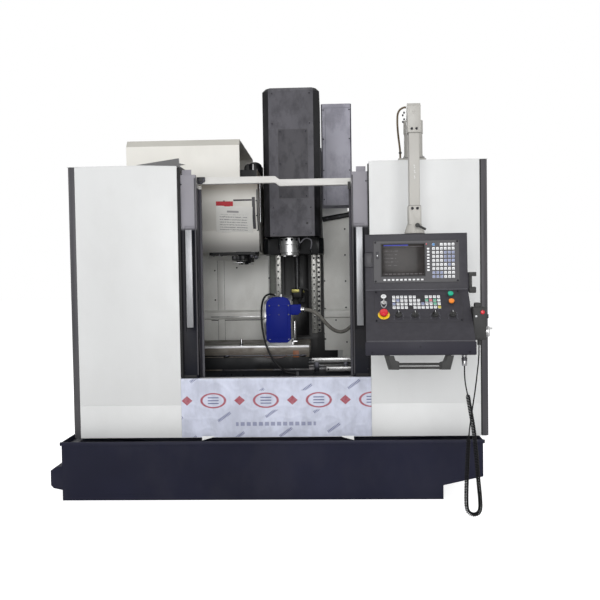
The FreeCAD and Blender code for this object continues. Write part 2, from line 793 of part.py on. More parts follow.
def make_table():
    """The T-slotted table with its four runners."""
    x0, x1 = table_right - table_length, table_right
    y0, y1 = spindle_y - table_depth / 2, spindle_y + table_depth / 2
    bottom = table_top - table_thick
    top = block(x0, x1, y0, y1, bottom, table_top)
    top = bevelled(top, 6, (1, 0, 0), lambda p: p.z > table_top - 1)
    for number in range(slot_count):
        y = spindle_y + (number - (slot_count - 1) / 2) * slot_pitch
        neck = block(x0 - 1, x1 + 1, y - slot_width / 2, y + slot_width / 2, table_top - slot_neck,
                     table_top + 1)
        foot = block(x0 - 1, x1 + 1, y - slot_foot_width / 2, y + slot_foot_width / 2,
                     table_top - slot_neck - slot_foot, table_top - slot_neck)
        top = top.cut(join(neck, foot))
    runners = []
    middle = (x0 + x1) / 2
    for side in (-1, 1):
        for x in (middle - table_runner_half, middle + table_runner_half):
            y = spindle_y + side * way_x_half
            runner = block(x - runner_length / 2, x + runner_length / 2, y - runner_width / 2,
                           y + runner_width / 2,
                           saddle_seat + 6, bottom)
            gap = rail_width / 2 + play
            runners.append(runner.cut(block(x - runner_length, x + runner_length, y - gap, y + gap,
                                            saddle_seat,
                                            saddle_seat + rail_height + play)))
    return join(top, *runners)


# ---------------------------------------------------------------- rotary table on the table's right end
def make_rotary_body():
    """The steel housing of the rotary table, with two lifting plugs on top and its face bore."""
    y0, y1 = rotary_y - rotary_radius, rotary_y + rotary_radius
    drum = rod(rotary_left, rotary_y, rotary_z, rotary_radius, rotary_right - rotary_left, (1, 0, 0))
    base = block(rotary_left, rotary_right, y0, y1, table_top, rotary_z)
    foot = block(rotary_left - 10, rotary_right + 14, y0 + 20, y1 + 30, table_top, table_top + 24)
    plugs = [rod(x, rotary_y - 60, rotary_z + rotary_radius - 20, 9, 34) for x in (-60, -18)]
    elbow = rod(*cable_route[0], 9, 30, (0, 1, 0))
    body = join(drum, base, foot, elbow, *plugs)
    return body.cut(rod(rotary_left - 1, rotary_y, rotary_z, faceplate_neck + running, 61, (1, 0, 0)))


def make_rotary_faceplate():
    """The round faceplate with a centre hole and four radial slots."""
    x0 = rotary_left - play - faceplate_thick
    plate = rod(x0, rotary_y, rotary_z, faceplate_radius, faceplate_thick, (1, 0, 0))
    neck = rod(x0 + faceplate_thick, rotary_y, rotary_z, faceplate_neck, 58, (1, 0, 0))
    hub = join(plate, neck).cut(rod(x0 - 1, rotary_y, rotary_z, 20, faceplate_thick + 40, (1, 0, 0)))
    slot = block(x0 - 1, x0 + 12, rotary_y - 6, rotary_y + 6, rotary_z + 50,
                 rotary_z + faceplate_radius + 1)
    for quarter in range(4):
        turned = slot.copy()
        turned.rotate(Vec(0, rotary_y, rotary_z), Vec(1, 0, 0), quarter * 90)
        hub = hub.cut(turned)
    return hub


def make_rotary_cover():
    """The blue motor cover on the rotary table's front, with the square connector box at its right."""
    back = rotary_y - rotary_radius
    front, low, high = back - rotary_cover_depth, rotary_cover_low, rotary_cover_high
    shell = block(rotary_left, rotary_right, front, back, low, high)
    shell = rounded(shell, 62, (0, 1, 0), lambda p: p.z > high - 1)
    shell = bevelled(shell, 24, (0, 1, 0), lambda p: p.z < low + 1)
    box = slab_xz([(rotary_right, connector_high), (connector_right, connector_high),
                   (connector_right, connector_low + 20), (connector_right - 20, connector_low),
                   (rotary_right, connector_low)], front + 4, front + 74)
    lip = slab_xz([(rotary_left + 20, 940), (rotary_right - 20, 940), (rotary_right - 20, high - 60),
                   (rotary_left + 20, high - 60)], front - 3, front)
    return join(shell, box, lip)


# ---------------------------------------------------------------- head
def make_headstock():
    """The head casting: slide with four runners and screw nut, arm, spindle cartridge and motor."""
    slide = block(column_x - head_slide_half, column_x + head_slide_half,
                  head_slide_back - head_slide_thick,
                  head_slide_back, head_bottom + 15, head_slide_top)
    slide_front = head_slide_back - head_slide_thick
    arm = block(column_x - head_arm_half, column_x + head_arm_half, spindle_y, slide_front, head_seat,
                head_arm_top)
    wing = block(wing_left, wing_right, spindle_y + 85, slide_front, head_bottom, head_seat)
    wing = bevelled(wing, 34, (0, 0, 1), lambda p: p.y < spindle_y + 86)
    housing = rod(spindle_x, spindle_y, head_seat, spindle_housing, spindle_housing_height)
    cartridge = rod(spindle_x, spindle_y, nose_bottom, nose_radius, head_seat - nose_bottom)
    cartridge = join(cartridge, rod(spindle_x, spindle_y, nose_bottom + 62, nose_radius + 7, 20))
    half = spindle_motor_half
    motor = block(spindle_x - half, spindle_x + half, spindle_y - half, spindle_y + half,
                  head_seat + spindle_housing_height, cover_top - 215)
    motor = bevelled(motor, 28, (0, 0, 1))
    pieces = [slide, arm, wing, housing, cartridge, motor]
    for side in (-1, 1):
        for z in (head_bottom + 95, head_slide_top - 80):
            x = column_x + side * way_z_half
            runner = block(x - runner_width / 2, x + runner_width / 2, head_slide_back, column_front - 4,
                           z - runner_length / 2, z + runner_length / 2)
            gap = rail_width / 2 + play
            pieces.append(runner.cut(block(x - gap, x + gap, column_front - rail_height - play,
                                           column_front,
                                           z - runner_length, z + runner_length)))
    nut = block(screw_x - 34, screw_x + 34, head_slide_back, column_front + 6, head_bottom + 110,
                head_bottom + 220)
    pieces.append(nut)
    for angle in (30, 150, 210, 330):
        x = spindle_x + 84 * math.cos(math.radians(angle))
        y = spindle_y + 84 * math.sin(math.radians(angle))
        pieces.append(rod(x, y, nose_bottom + 24, 9, head_seat - nose_bottom - 24))
    casting = join(*pieces).cut(block(column_x - head_arm_half + 35, column_x + head_arm_half - 35,
                                      spindle_y + 160,
                                      slide_front - 40, head_seat + 40, head_arm_top + 1))
    casting = casting.cut(rod(spindle_x, spindle_y, nose_bottom - 1, shaft_radius + running, 500))
    return casting.cut(rod(screw_x, screw_y, head_bottom, screw_radius + running, 400))


def make_spindle():
    """The spindle: tapered nose with two drive keys, on a plain shaft in the cartridge."""
    nose = rod(spindle_x, spindle_y, spindle_face, spindle_radius, nose_bottom - play - spindle_face)
    shaft = rod(spindle_x, spindle_y, spindle_face + 1, shaft_radius, nose_bottom + 490 - spindle_face)
    small = taper_mouth - taper_depth * 7.0 / 48.0
    taper = Part.makeCone(taper_mouth, small, taper_depth, Vec(spindle_x, spindle_y, spindle_face))
    drawbar = rod(spindle_x, spindle_y, spindle_face, 9, 300)
    keys = [block(spindle_x + s * 37 - 9, spindle_x + s * 37 + 9, spindle_y - 8, spindle_y + 8,
                  spindle_face - 8,
                  spindle_face + 2) for s in (-1, 1)]
    return join(nose, shaft, *keys).cut(join(taper, drawbar))


def make_head_cover():
    """The head's sheet cover, chamfered at the front, with its access panel and a small blank plate."""
    left, right = cover_x - cover_half, cover_x + cover_half
    c = cover_chamfer

    def plan(t):
        return [(left + t, cover_back), (left + t, cover_front + c + t * 0.4),
                (left + c + t * 0.4, cover_front + t),
                (right - c - t * 0.4, cover_front + t), (right - t, cover_front + c + t * 0.4),
                (right - t, cover_back)]

    outer = slab_xy(plan(0), head_seat, cover_top)
    outer = outer.makeChamfer(26, [e for e in outer.Edges if e.CenterOfMass.z > cover_top - 1
                                   and e.CenterOfMass.y < cover_back - 1])
    inner = slab_xy([(x, y + (2 if y > cover_back - 1 else 0)) for x, y in plan(sheet)], head_seat - 1,
                    cover_top - 30)
    panel = block(-19, 188, cover_front - 2, cover_front, head_seat + 269, cover_top - 297)
    plate = block(140, 214, cover_front - 2, cover_front, head_seat + 29, head_seat + 121)
    return join(outer.cut(inner), rounded(panel, 8, (0, 1, 0)), rounded(plate, 8, (0, 1, 0)))


def make_z_screw():
    """The head's feed screw between its two bearing blocks."""
    thread = rod(screw_x, screw_y, bearing_low_top + screw_gap, screw_radius,
                 bearing_high - bearing_low_top - 2 * screw_gap)
    journal = rod(screw_x, screw_y, bearing_low + 12, journal_radius, column_top - bearing_low - 24)
    return join(thread, journal)


# ---------------------------------------------------------------- tool magazine and changer
def trough(offset, x0, x1, top):
    """The magazine's U section, drawn in by an offset."""
    radius = drum_radius - offset
    low = Part.makeCylinder(radius, x1 - x0, Vec(x0, drum_y, drum_z), Vec(1, 0, 0))
    return join(low.common(block(x0, x1, drum_y - 999, drum_y + 999, drum_z - 999, drum_z)),
                block(x0, x1, drum_y - radius, drum_y + radius, drum_z, top))


def make_magazine_cover():
    """The magazine's U-shaped sheet trough, closed at both ends and lidded over the changer."""
    outer = trough(0, drum_left, drum_right, drum_lid)
    inner = trough(sheet, drum_left + sheet, drum_right - sheet, drum_lid + 1)
    inner = inner.cut(block(drum_lid_left, drum_right, drum_y - 999, drum_y + 999, drum_lid - sheet,
                            drum_lid + 2))
    cover = outer.cut(inner)
    for y in (drum_y - 185, drum_y - 60):
        cover = cover.cut(rod(dome_x, y, drum_lid - 10, 26, 20))
    return cover.cut(rod(arm_x, spindle_y, drum_z - drum_radius - 5, 66, 200))


def make_magazine_hatch():
    """The curved hatch on the magazine's front, lying on the round of the sheet."""
    x0, x1 = -431.0, -195.0
    ring = rod(x0, drum_y, drum_z, drum_radius + 3, x1 - x0, (1, 0, 0))
    ring = ring.cut(rod(x0 - 1, drum_y, drum_z, drum_radius, x1 - x0 + 2, (1, 0, 0)))
    return ring.common(block(x0, x1, drum_y - 500, drum_y - 200, 1688, 1921))


def make_changer_drive():
    """The changer's gearbox on the magazine shaft, its column down to the arm and the two motor cowls."""
    back_wall = drum_right - sheet
    box = block(-392, back_wall, drum_y - 240, drum_y + 90, drum_z - 130, drum_lid - sheet - play)
    box = bevelled(box, 22, (1, 0, 0), lambda p: p.z < drum_z)
    shaft = rod(disc_left - 8, drum_y, drum_z, disc_hub, drum_lid_left - disc_left, (1, 0, 0))
    column = rod(arm_x, spindle_y, arm_top + 14, 58, drum_z - 60 - arm_top)
    neck = rod(arm_x, spindle_y, arm_top + play, 40, 20)
    flange = block(-549, -190, spindle_y - 62, spindle_y + 62, arm_top + 14, arm_top + 34)
    flange = rounded(flange, 30, (0, 0, 1))
    link = block(arm_x - 40, back_wall - 20, spindle_y, drum_y - 235, drum_z - 100, drum_z + 60)
    pieces = [box, shaft, column, neck, flange, link]
    for y in (drum_y - 185, drum_y - 60):
        pieces.append(rod(dome_x, y, drum_lid - sheet - 10, 25, 20 + sheet))
        pieces.append(rod(dome_x, y, drum_lid + play, dome_radius, 62))
        cap = Part.makeSphere(dome_radius + 12, Vec(dome_x, y, drum_lid + play + 28))
        cap = cap.common(rod(dome_x, y, drum_lid + play + 60, dome_radius, 60))
        pieces.append(cap)
    return join(*pieces)


def make_tool_disc():
    """The magazine disc: a hub and web with a ring of tool pots standing on it."""
    web_face = disc_left + 30
    web = rod(web_face - 24, drum_y, drum_z, pot_ring + 30, 24, (1, 0, 0))
    hub = rod(disc_left, drum_y, drum_z, 72, disc_thick, (1, 0, 0))
    disc = join(web, hub).cut(rod(disc_left - 1, drum_y, drum_z, disc_hub + running, disc_thick + 2,
                                  (1, 0, 0)))
    pots = []
    for number in range(pot_count):
        angle = 2 * math.pi * number / pot_count
        y, z = drum_y + pot_ring * math.cos(angle), drum_z + pot_ring * math.sin(angle)
        pots.append(rod(web_face + play, y, z, pot_radius, pot_length, (1, 0, 0)))
    return group(disc, *pots)


def make_changer_arm():
    """The double-ended change arm, parked fore and aft, with an open grip at each end."""
    low = arm_top - arm_thick
    waist, tip = 34.0, 46.0
    outline = [
        (arm_x - waist, spindle_y - 70), (arm_x - tip, spindle_y - arm_reach + 30),
        (arm_x - tip, spindle_y - arm_reach - 24), (arm_x + tip, spindle_y - arm_reach - 24),
        (arm_x + tip, spindle_y - arm_reach + 30), (arm_x + waist, spindle_y - 70),
        (arm_x + waist, spindle_y + 70), (arm_x + tip, spindle_y + arm_reach - 30),
        (arm_x + tip, spindle_y + arm_reach + 24), (arm_x - tip, spindle_y + arm_reach + 24),
        (arm_x - tip, spindle_y + arm_reach - 30), (arm_x - waist, spindle_y + 70),
    ]
    arm = slab_xy(outline, low, arm_top)
    hub = rod(arm_x, spindle_y, low - 14, 52, arm_thick + 14)
    arm = join(arm, hub)
    for side in (-1, 1):
        y = spindle_y + side * arm_reach
        grip = rod(arm_x, y, low - 1, 31, arm_thick + 2)
        edge = arm_x + side * (tip + 1)
        mouth = block(min(arm_x, edge), max(arm_x, edge), y - 26, y + 26, low - 1, arm_top + 1)
        arm = arm.cut(join(grip, mouth))
    return arm


# ---------------------------------------------------------------- rear of the machine
def make_duct_housing():
    """The tall cable and hose housing at the column's right, open below, folded along its inner edge."""
    x0 = column_x + column_half
    outer = block(x0, duct_right, duct_front, duct_back, duct_bottom, duct_top)
    outer = bevelled(outer, 12, (0, 0, 1), lambda p: p.y < duct_front + 1)
    inner = block(x0 + sheet, duct_right - sheet, duct_front + sheet, duct_back - sheet, duct_bottom - 1,
                  duct_top - sheet)
    return outer.cut(inner)


cabinet_half = 440.0
cabinet_depth = 360.0
cabinet_low = 450.0
cabinet_high = 2150.0
cabinet_hinge = 11.0


def make_electrical_cabinet():
    """The electrical cabinet on the column's back, open to the rear, with its inner mounting plate."""
    x0, x1 = column_x - cabinet_half, column_x + cabinet_half
    y0, y1 = column_back, column_back + cabinet_depth
    outer = block(x0, x1, y0, y1, cabinet_low, cabinet_high)
    inner = block(x0 + sheet, x1 - sheet, y0 + sheet, y1 + 1, cabinet_low + sheet, cabinet_high - sheet)
    shell = outer.cut(inner)
    plate = block(x0 + 50, x1 - 50, y0 + sheet + 22, y0 + sheet + 25, cabinet_low + 60, cabinet_high - 60)
    studs = [rod(x, y0 + sheet - 1, z, 8, 24, (0, 1, 0)) for x in (x0 + 80, x1 - 80)
             for z in (cabinet_low + 90, cabinet_high - 90)]
    devices = []
    for row, (height, count) in enumerate(((260, 3), (150, 6), (90, 10))):
        z = cabinet_high - 420 - row * 380
        width = (2 * cabinet_half - 180) / count
        for number in range(count):
            x = x0 + 90 + number * width
            devices.append(block(x, x + width - 8, y0 + sheet + 24, y0 + sheet + 150, z, z + height))
    pins = [rod(x0 - cabinet_hinge, y1 + 12, z, 6, 60) for z in (cabinet_low + 150, cabinet_high - 210)]
    ears = [block(x0 - cabinet_hinge - 4, x0, y1 - 60, y1 + 12, z - 16, z) for z in (cabinet_low + 150,
                                                                                    cabinet_high - 210)]
    return join(shell, plate, *studs, *devices, *ears, *pins)


def make_cabinet_door():
    """The cabinet's rear door on its two hinge pins, with a folded rim and a flush lock."""
    x0, x1 = column_x - cabinet_half, column_x + cabinet_half
    y0 = column_back + cabinet_depth + play
    leaf = block(x0, x1, y0, y0 + 24, cabinet_low, cabinet_high)
    leaf = rounded(leaf, 5, (0, 0, 1), lambda p: p.y > y0 + 23)
    pocket = block(x0 + sheet, x1 - sheet, y0 - 1, y0 + 21, cabinet_low + sheet, cabinet_high - sheet)
    lock = rod(x1 - 45, y0 + 22, (cabinet_low + cabinet_high) / 2, 16, 8, (0, 1, 0))
    eyes = []
    pin_y = column_back + cabinet_depth + 12
    for z in (cabinet_low + 150, cabinet_high - 210):
        eye = join(rod(x0 - cabinet_hinge, pin_y, z + play, 11, 56),
                   block(x0 - cabinet_hinge, x0 + 2, pin_y - 4, pin_y + 4, z + play, z + play + 56))
        eyes.append(eye.cut(rod(x0 - cabinet_hinge, pin_y, z - 5, 6 + running, 80)))
    return join(leaf.cut(pocket), lock, *eyes)


# ---------------------------------------------------------------- pendant arm
def make_arm_post():
    """The pendant arm's round post on the roof, with its base, cap and pivot pin."""
    z0 = cabin_top + sheet
    base = block(post_x - 100, post_x + 72, post_y - 72, post_y + 72, z0, z0 + 12)
    collar = Part.makeCone(post_radius + 12, post_radius, 32, Vec(post_x, post_y, z0 + 12))
    post = rod(post_x, post_y, z0 + 12, post_radius, boom_bottom - play - z0 - 12)
    pin = rod(post_x, post_y, boom_bottom - 10, 25, boom_height - 20)
    gland = rod(776, 58, z0, 12, 20)
    return join(rounded(base, 12, (0, 0, 1)), collar, post, pin, gland)


def make_arm_boom():
    """The swinging arm: beam with its pivot head, elbow box, square drop tube and flared coupling."""
    z0, z1 = boom_bottom, boom_bottom + boom_height
    along = Vec(swivel_x - post_x, swivel_y - post_y, 0)
    length = along.Length
    beam = block(-length, 0, -35, 35, z0, z1)
    beam.rotate(Vec(0, 0, 0), Vec(0, 0, 1), math.degrees(math.atan2(along.y, along.x)))
    beam.translate(Vec(swivel_x, swivel_y, 0))
    head = rod(post_x, post_y, z0, post_radius + 3, boom_height)
    elbow = block(swivel_x - 37, swivel_x + 37, swivel_y - 37, swivel_y + 37, 2162, 2326)
    elbow = bevelled(elbow, 18, (1, 0, 0), lambda p: p.z > 2325 and p.y < swivel_y)
    half = tube_side / 2
    drop = block(swivel_x - half, swivel_x + half, swivel_y - half, swivel_y + half, coupling_top - 5, 2170)
    drop = rounded(drop, 6, (0, 0, 1))
    neck = block(swivel_x - 36, swivel_x + 36, swivel_y - 36, swivel_y + 36, coupling_bottom + 50,
                 coupling_top)
    neck = rounded(neck, 8, (0, 0, 1))
    flare = Part.makeCone(57, 38, 50, Vec(swivel_x, swivel_y, coupling_bottom + 8))
    rim = rod(swivel_x, swivel_y, coupling_bottom, 57, 8)
    gland = rod(846, 14, z1 - 1, 10, 7)
    arm = join(beam, head, elbow, drop, neck, flare, rim, gland)
    arm = arm.cut(rod(post_x, post_y, z0 - 1, 25 + running, boom_height - 15))
    arm = arm.cut(rod(swivel_x, swivel_y, coupling_bottom - 1, 20 + running, 62))
    return arm.cut(rod(swivel_x + 8, swivel_y - 66, lever_z, 6 + running, 46, (0, 1, 0)))


def make_clamp_lever():
    """The coupling's clamp lever: a short screw pin with a long tapered grip."""
    x, y, z = swivel_x + 8, swivel_y, lever_z
    pin = rod(x, y - 72, z, 6, 34, (0, 1, 0))
    boss = rod(x, y - 84, z, 12, 18, (0, 1, 0))
    grip = rod(x, y - 75, z, 6.5, 52, (0.80, 0, -0.42))
    return join(boss, pin, grip)


# ---------------------------------------------------------------- pendant
def hung(place):
    """Where a point drawn round the drop tube's axis ends up on the machine."""
    s, y, z = place
    c, d = math.cos(math.radians(pendant_yaw)), math.sin(math.radians(pendant_yaw))
    return swivel_x + s * c - y * d, swivel_y + s * d + y * c, z


def hang(shape):
    """Moves a piece drawn round the drop tube's axis to its place, turned by the pendant's yaw."""
    shape.rotate(Vec(0, 0, 0), Vec(0, 0, 1), pendant_yaw)
    shape.translate(Vec(swivel_x, swivel_y, 0))
    return shape


slope_run = Vec(0, pendant_lip - pendant_face, pendant_lip_top - pendant_fold)
slope_length = slope_run.Length
slope_along = Vec(slope_run).normalize()
slope_out = Vec(0, slope_along.z, -slope_along.y)
face_along = Vec(0, pendant_face - pendant_face_top, pendant_fold - pendant_top).normalize()
face_out = Vec(0, face_along.z, -face_along.y)


def on_slope(s, t, rise=0.0):
    """A point of the lower panel: s across, t down from the fold, rise proud of it."""
    return Vec(s, pendant_face, pendant_fold) + slope_along * t + slope_out * rise


def on_face(s, z, rise=0.0):
    """A point of the upper panel: s across, at a height z, rise proud of it."""
    t = (pendant_top - z) / -face_along.z
    return Vec(s, pendant_face_top, pendant_top) + face_along * t + face_out * rise


def cap(place, out, along, wide, tall, high, sunk=0.0):
    """A rectangular key cap that stands out of a panel."""
    across = Vec(1, 0, 0)
    corner = place - across * (wide / 2) - along * (tall / 2) - out * sunk
    points = [corner, corner + across * wide, corner + across * wide + along * tall, corner + along * tall]
    face = Part.Face(Part.makePolygon(points + [points[0]]))
    return face.extrude(out * (high + sunk))


def on_pendant_pin(place, out, radius, length):
    """A round stub that stands on a panel."""
    return Part.makeCylinder(radius, length, place, out)


knob_places = (-105.0, -18.0, 88.0, 180.0)
knob_t = 198.0
estop_place = (-184.0, 190.0)
start_place = (181.0, 44.0)
hold_place = (181.0, 100.0)
lock_place = (-182.0, 105.0)
gland_foot = (228.0, -340.0, 888.0)
control_bore = 8.0
control_sink = 14.0
control_stroke = 6.0
cap_rise = 8.0


def make_pendant_case():
    """The pendant's bent case: upright screen panel, sloped key panel, lip, side hook and top spigot."""
    outline = [
        (pendant_face_top, pendant_top), (pendant_face, pendant_fold), (pendant_lip, pendant_lip_top),
        (pendant_lip, pendant_bottom), (pendant_face + 10, pendant_bottom), (pendant_rear, 1130),
        (pendant_rear, pendant_top),
    ]
    case = slab_yz(outline, -pendant_half, pendant_half)
    case = rounded(case, 7, (1, 0, 0), lambda p: p.z > pendant_top - 1 or p.y < pendant_lip + 1)
    skin = 24.0
    hollow = [
        (pendant_face_top + skin, pendant_top - 12), (pendant_face + skin, pendant_fold - 10),
        (pendant_lip + 60, pendant_lip_top - 4), (pendant_lip + 60, pendant_bottom + 12),
        (pendant_face + 3, pendant_bottom + 12), (pendant_rear - 3, 1136), (pendant_rear + 1, 1136),
        (pendant_rear + 1, pendant_top - 12),
    ]
    case = case.cut(slab_yz(hollow, -pendant_half + 6, pendant_half - 6))
    lid = block(-pendant_half + 6 + play, pendant_half - 6 - play, pendant_rear - 3, pendant_rear,
                1136 + play,
                pendant_top - 12 - play)
    window = cap(on_face(-71, 1447, -6), face_out, face_along, 236, 176, 8)
    case = case.cut(window)
    case = case.cut(cap(on_face(-261, 1450, -10), face_out, face_along, 46, 84, 12))
    boss = rod(0, 0, pendant_top, 60, coupling_bottom - play - pendant_top)
    spigot = rod(0, 0, pendant_top, 20, 58 + coupling_bottom - pendant_top)
    bezel = cap(on_face(1, 1438, 0), face_out, face_along, 466, 232, 3, 1)
    bezel = bezel.cut(cap(on_face(-71, 1447, -2), face_out, face_along, 236, 176, 12))
    plate = cap(on_slope(0, 126, 0), slope_out, slope_along, 464, 230, 2, 1)
    bracket = block(pendant_half - 1, pendant_half + 34, -100, -88, 1268, 1375)
    bracket = bracket.cut(block(pendant_half + 10, pendant_half + 35, -101, -87, 1290, 1357))
    holder = block(pendant_half - 1, pendant_half + 3, -284, -204, 1036, 1108)
    gland = join(rod(*gland_foot, 11, 62), rod(gland_foot[0], gland_foot[1], gland_foot[2] + 26, 15, 16),
                 rod(gland_foot[0], gland_foot[1], gland_foot[2] + 42, 12, 20))
    case = join(case, bezel, plate, bracket, holder, gland)
    depth = control_sink + control_stroke
    bores = [Part.makeCylinder(control_bore + running, depth + 5, on_slope(s, t, -depth), slope_out) for s,
             t in [(k, knob_t) for k in knob_places] + [estop_place, start_place, hold_place, lock_place]]
    for bore in bores:
        case = case.cut(bore)
    hinge = Part.makeCylinder(3 + running, 90, on_face(-283, 1494, -3), face_along)
    return hang(group(case.cut(hinge), lid, join(boss, spigot)))


def make_pendant_keys():
    """The keys of both panels, the white button and the screen's soft keys, as separate caps."""
    keys = []
    for number in range(10):
        keys.append(cap(on_face(-173 + number * 22.8, 1337.5, 3), face_out, face_along, 14, 9, 3))
    for number in range(8):
        keys.append(cap(on_face(67, 1507 - number * 17, 3), face_out, face_along, 13, 10, 3))
    for row in range(9):
        for column in range(6):
            if row == 0 and column == 1:
                continue
            place = on_face(96 + column * 21.3, 1529.5 - row * 22.2, 3)
            if row == 0 and column == 0:
                keys.append(on_pendant_pin(place, face_out, 8, 3))
            else:
                keys.append(cap(place, face_out, face_along, 15, 15, 3))
    blank = {(0, 2), (0, 3), (1, 3), (3, 0)}
    for first in (-127.0, -37.0, 50.0):
        for row in range(4):
            for column in range(4):
                if first == -37.0 and (row, column) in blank:
                    continue
                place = on_slope(first + column * 21.7, 58 + row * 26.3, 2)
                keys.append(cap(place, slope_out, slope_along, 16, 19, 3))
    keys.append(on_pendant_pin(on_slope(-182, 55, 2), slope_out, 15, 7))
    return hang(group(*keys))


def control(place, radius, height, shape="round"):
    """A control cap on its stem in a panel bore."""
    s, t = place
    stem = on_pendant_pin(on_slope(s, t, 1 - control_sink), slope_out, control_bore,
                          control_sink + cap_rise)
    head = on_pendant_pin(on_slope(s, t, cap_rise), slope_out, radius, height)
    if shape == "pointer":
        grip = cap(on_slope(s, t, cap_rise + height - 1), slope_out, slope_along, 9, radius * 1.7, 12)
        return hang(join(stem, head, grip))
    if shape == "mushroom":
        collar = on_pendant_pin(on_slope(s, t, cap_rise), slope_out, radius * 0.62, height)
        dish = Part.makeCone(radius, radius * 0.8, 12, on_slope(s, t, cap_rise + height), slope_out)
        return hang(join(stem, collar, dish))
    if shape == "key":
        bow = cap(on_slope(s, t, cap_rise + height - 1), slope_out, slope_along, 5, 22, 20)
        return hang(join(stem, head, bow))
    return hang(join(stem, head))


def make_pendant_handle():
    """The hand rail below the pendant's lip: two flat legs and two round bars."""
    y = pendant_lip + 22
    outline = [(-173, 0), (-143, 0), (-130, -32), (-111, -40), (-111, -76), (-151, -76)]
    legs = [slab_xz([(-15 + side * s, pendant_bottom + z) for s, z in outline], y - 5, y + 5)
            for side in (-1, 1)]
    bars = [rod(-150, y, pendant_bottom + z, 7, 270, (1, 0, 0)) for z in (-48, -67)]
    return hang(join(*legs, *bars))


def make_port_flap():
    """The small port cover left of the screen, on a pin at its left edge."""
    flap = cap(on_face(-259, 1450, -3), face_out, face_along, 42, 80, 4)
    pin = Part.makeCylinder(3, 86, on_face(-283, 1492, -3), face_along)
    ear = cap(on_face(-276, 1450, -4), face_out, face_along, 14, 70, 4)
    return hang(join(flap, ear))


wheel_box = (283.0, 350.0, -292.0, -196.0, 1016.0, 1190.0)
relief_foot = (318.0, -244.0, 986.0)


def make_handwheel_box():
    """The hand-held pulse box, hung by its hook plate on the pendant's side."""
    x0, x1, y0, y1, z0, z1 = wheel_box
    box = block(x0, x1, y0, y1, z0, z1)
    box = rounded(box, 12, (1, 0, 0))
    crown = block(x0 + 12, x0 + 44, -270, -218, z1 - 1, z1 + 22)
    relief = rod(*relief_foot, 9, 31)
    button = rod(330, y0 - 6, 1160, 9, 8, (0, 1, 0))
    box = join(box, rounded(crown, 8, (0, 1, 0), lambda p: p.z > z1 + 20), relief, button)
    return hang(box.cut(rod(x1 - 20, -244, 1058, 8 + running, 21, (1, 0, 0))))


def make_handwheel_dial():
    """The pulse dial on the box's outer side, with its crank stud."""
    x1 = wheel_box[1]
    stem = rod(x1 - 19, -244, 1058, 8, 24, (1, 0, 0))
    dial = rod(x1 + play, -244, 1058, 27, 22, (1, 0, 0))
    crank = rod(x1 + 22, -244, 1074, 5, 16, (1, 0, 0))
    return hang(join(stem, dial, crank))


# ---------------------------------------------------------------- cords
conduit_diameter = 26.0
conduit_route = [
    (connector_right, 556, 1133), (195, 556, 1133), (256, 574, 1088), (306, 602, 1024), (360, 632, 975),
    (422, 662, 962), (482, 682, 1004), (540, 694, 1062), (608, 699, 1103), (686, 702, 1127),
    (770, 703, 1137), (852, 702, 1136), (930, 700, 1128), (1006, 700, 1118),
]
wall_gland = 20.0
wall_gland_radius = 20.0
wall_conduit_route = [
    (1006, 700, 1118), (1051.6, 700, 1112), (1098, 702, 1108), (1145, 704, 1110), (1190, 705, 1118),
    (frame_side - wall_gland - 41, 705, 1130), (frame_side - wall_gland, 705, 1130),
]
cable_diameter = 14.0
cable_route = [
    (-60, 654, 1232), (-60, 620, 1232), (-84, 588, 1244), (-117, 562, 1236), (-136, 542, 1206),
    (-143, 516, 1160),
    (-144, 500, 1110), (-142, 490, 1056), (-137, 486, 1002), (-128, 484, 950), (-115, 482, 900),
    (-98, 480, 852),
    (-76, 477, 808), (-47, 473, 770), (-8, 473, 729), (40, 480, 697), (88, 480, 697),
]
bundle_diameter = 12.0
bundle_route = [
    (846, 14, 2326), (846, 14, 2374), (804, 27, 2399), (761, 40, 2373), (758, 47, 2310), (762, 52, 2244),
    (770, 56, 2178), (776, 58, 2131), (776, 58, 2087),
]


curly_diameter = 7.0
curly_radius = 9.0
curly_turns = 26
lead_route = [hung(gland_foot), hung((228, -340, 844)), (1024, -699, 792), (1036, -694, 738)]
coil_route = [
    (1053, -690, 640), (1067, -690, 555), (1076, -690, 465), (1084, -691, 370), (1090, -690, 275),
    (1099, -689, 188),
    (1101, -686, 112), (1066, -680, 92), (1031, -674, 112), (1030, -670, 188), (1033, -668, 270),
    (1037, -666, 352),
]
tail_route = [
    (1047, -658, 500), (1060, -648, 590), (1077, -637, 680), (1093, -627, 772), (1105, -619, 860),
    hung((318, -244, 930)), hung(relief_foot),
]


def make_curly_cord():
    """The pulse box's lead: a straight lead, a long coil hanging in a loop and a straight tail."""
    coil_start = halfway(lead_route[-1], coil_route[0])
    coil_end = halfway(coil_route[-1], tail_route[0])
    lead, lead_bend = runs(lead_route + [coil_start])
    middle, loop_bend = runs([coil_start] + coil_route + [coil_end])
    tail, tail_bend = runs([coil_end] + tail_route)
    edges = lead + curls(middle, curly_radius, curly_turns) + tail
    gap = self_gap(edges, curly_diameter)
    print(f"curly_cord: least gap to itself {gap:.1f} mm, loop bend {loop_bend:.0f} mm")
    return sweep(edges, curly_diameter, "curly_cord", min(lead_bend, tail_bend))


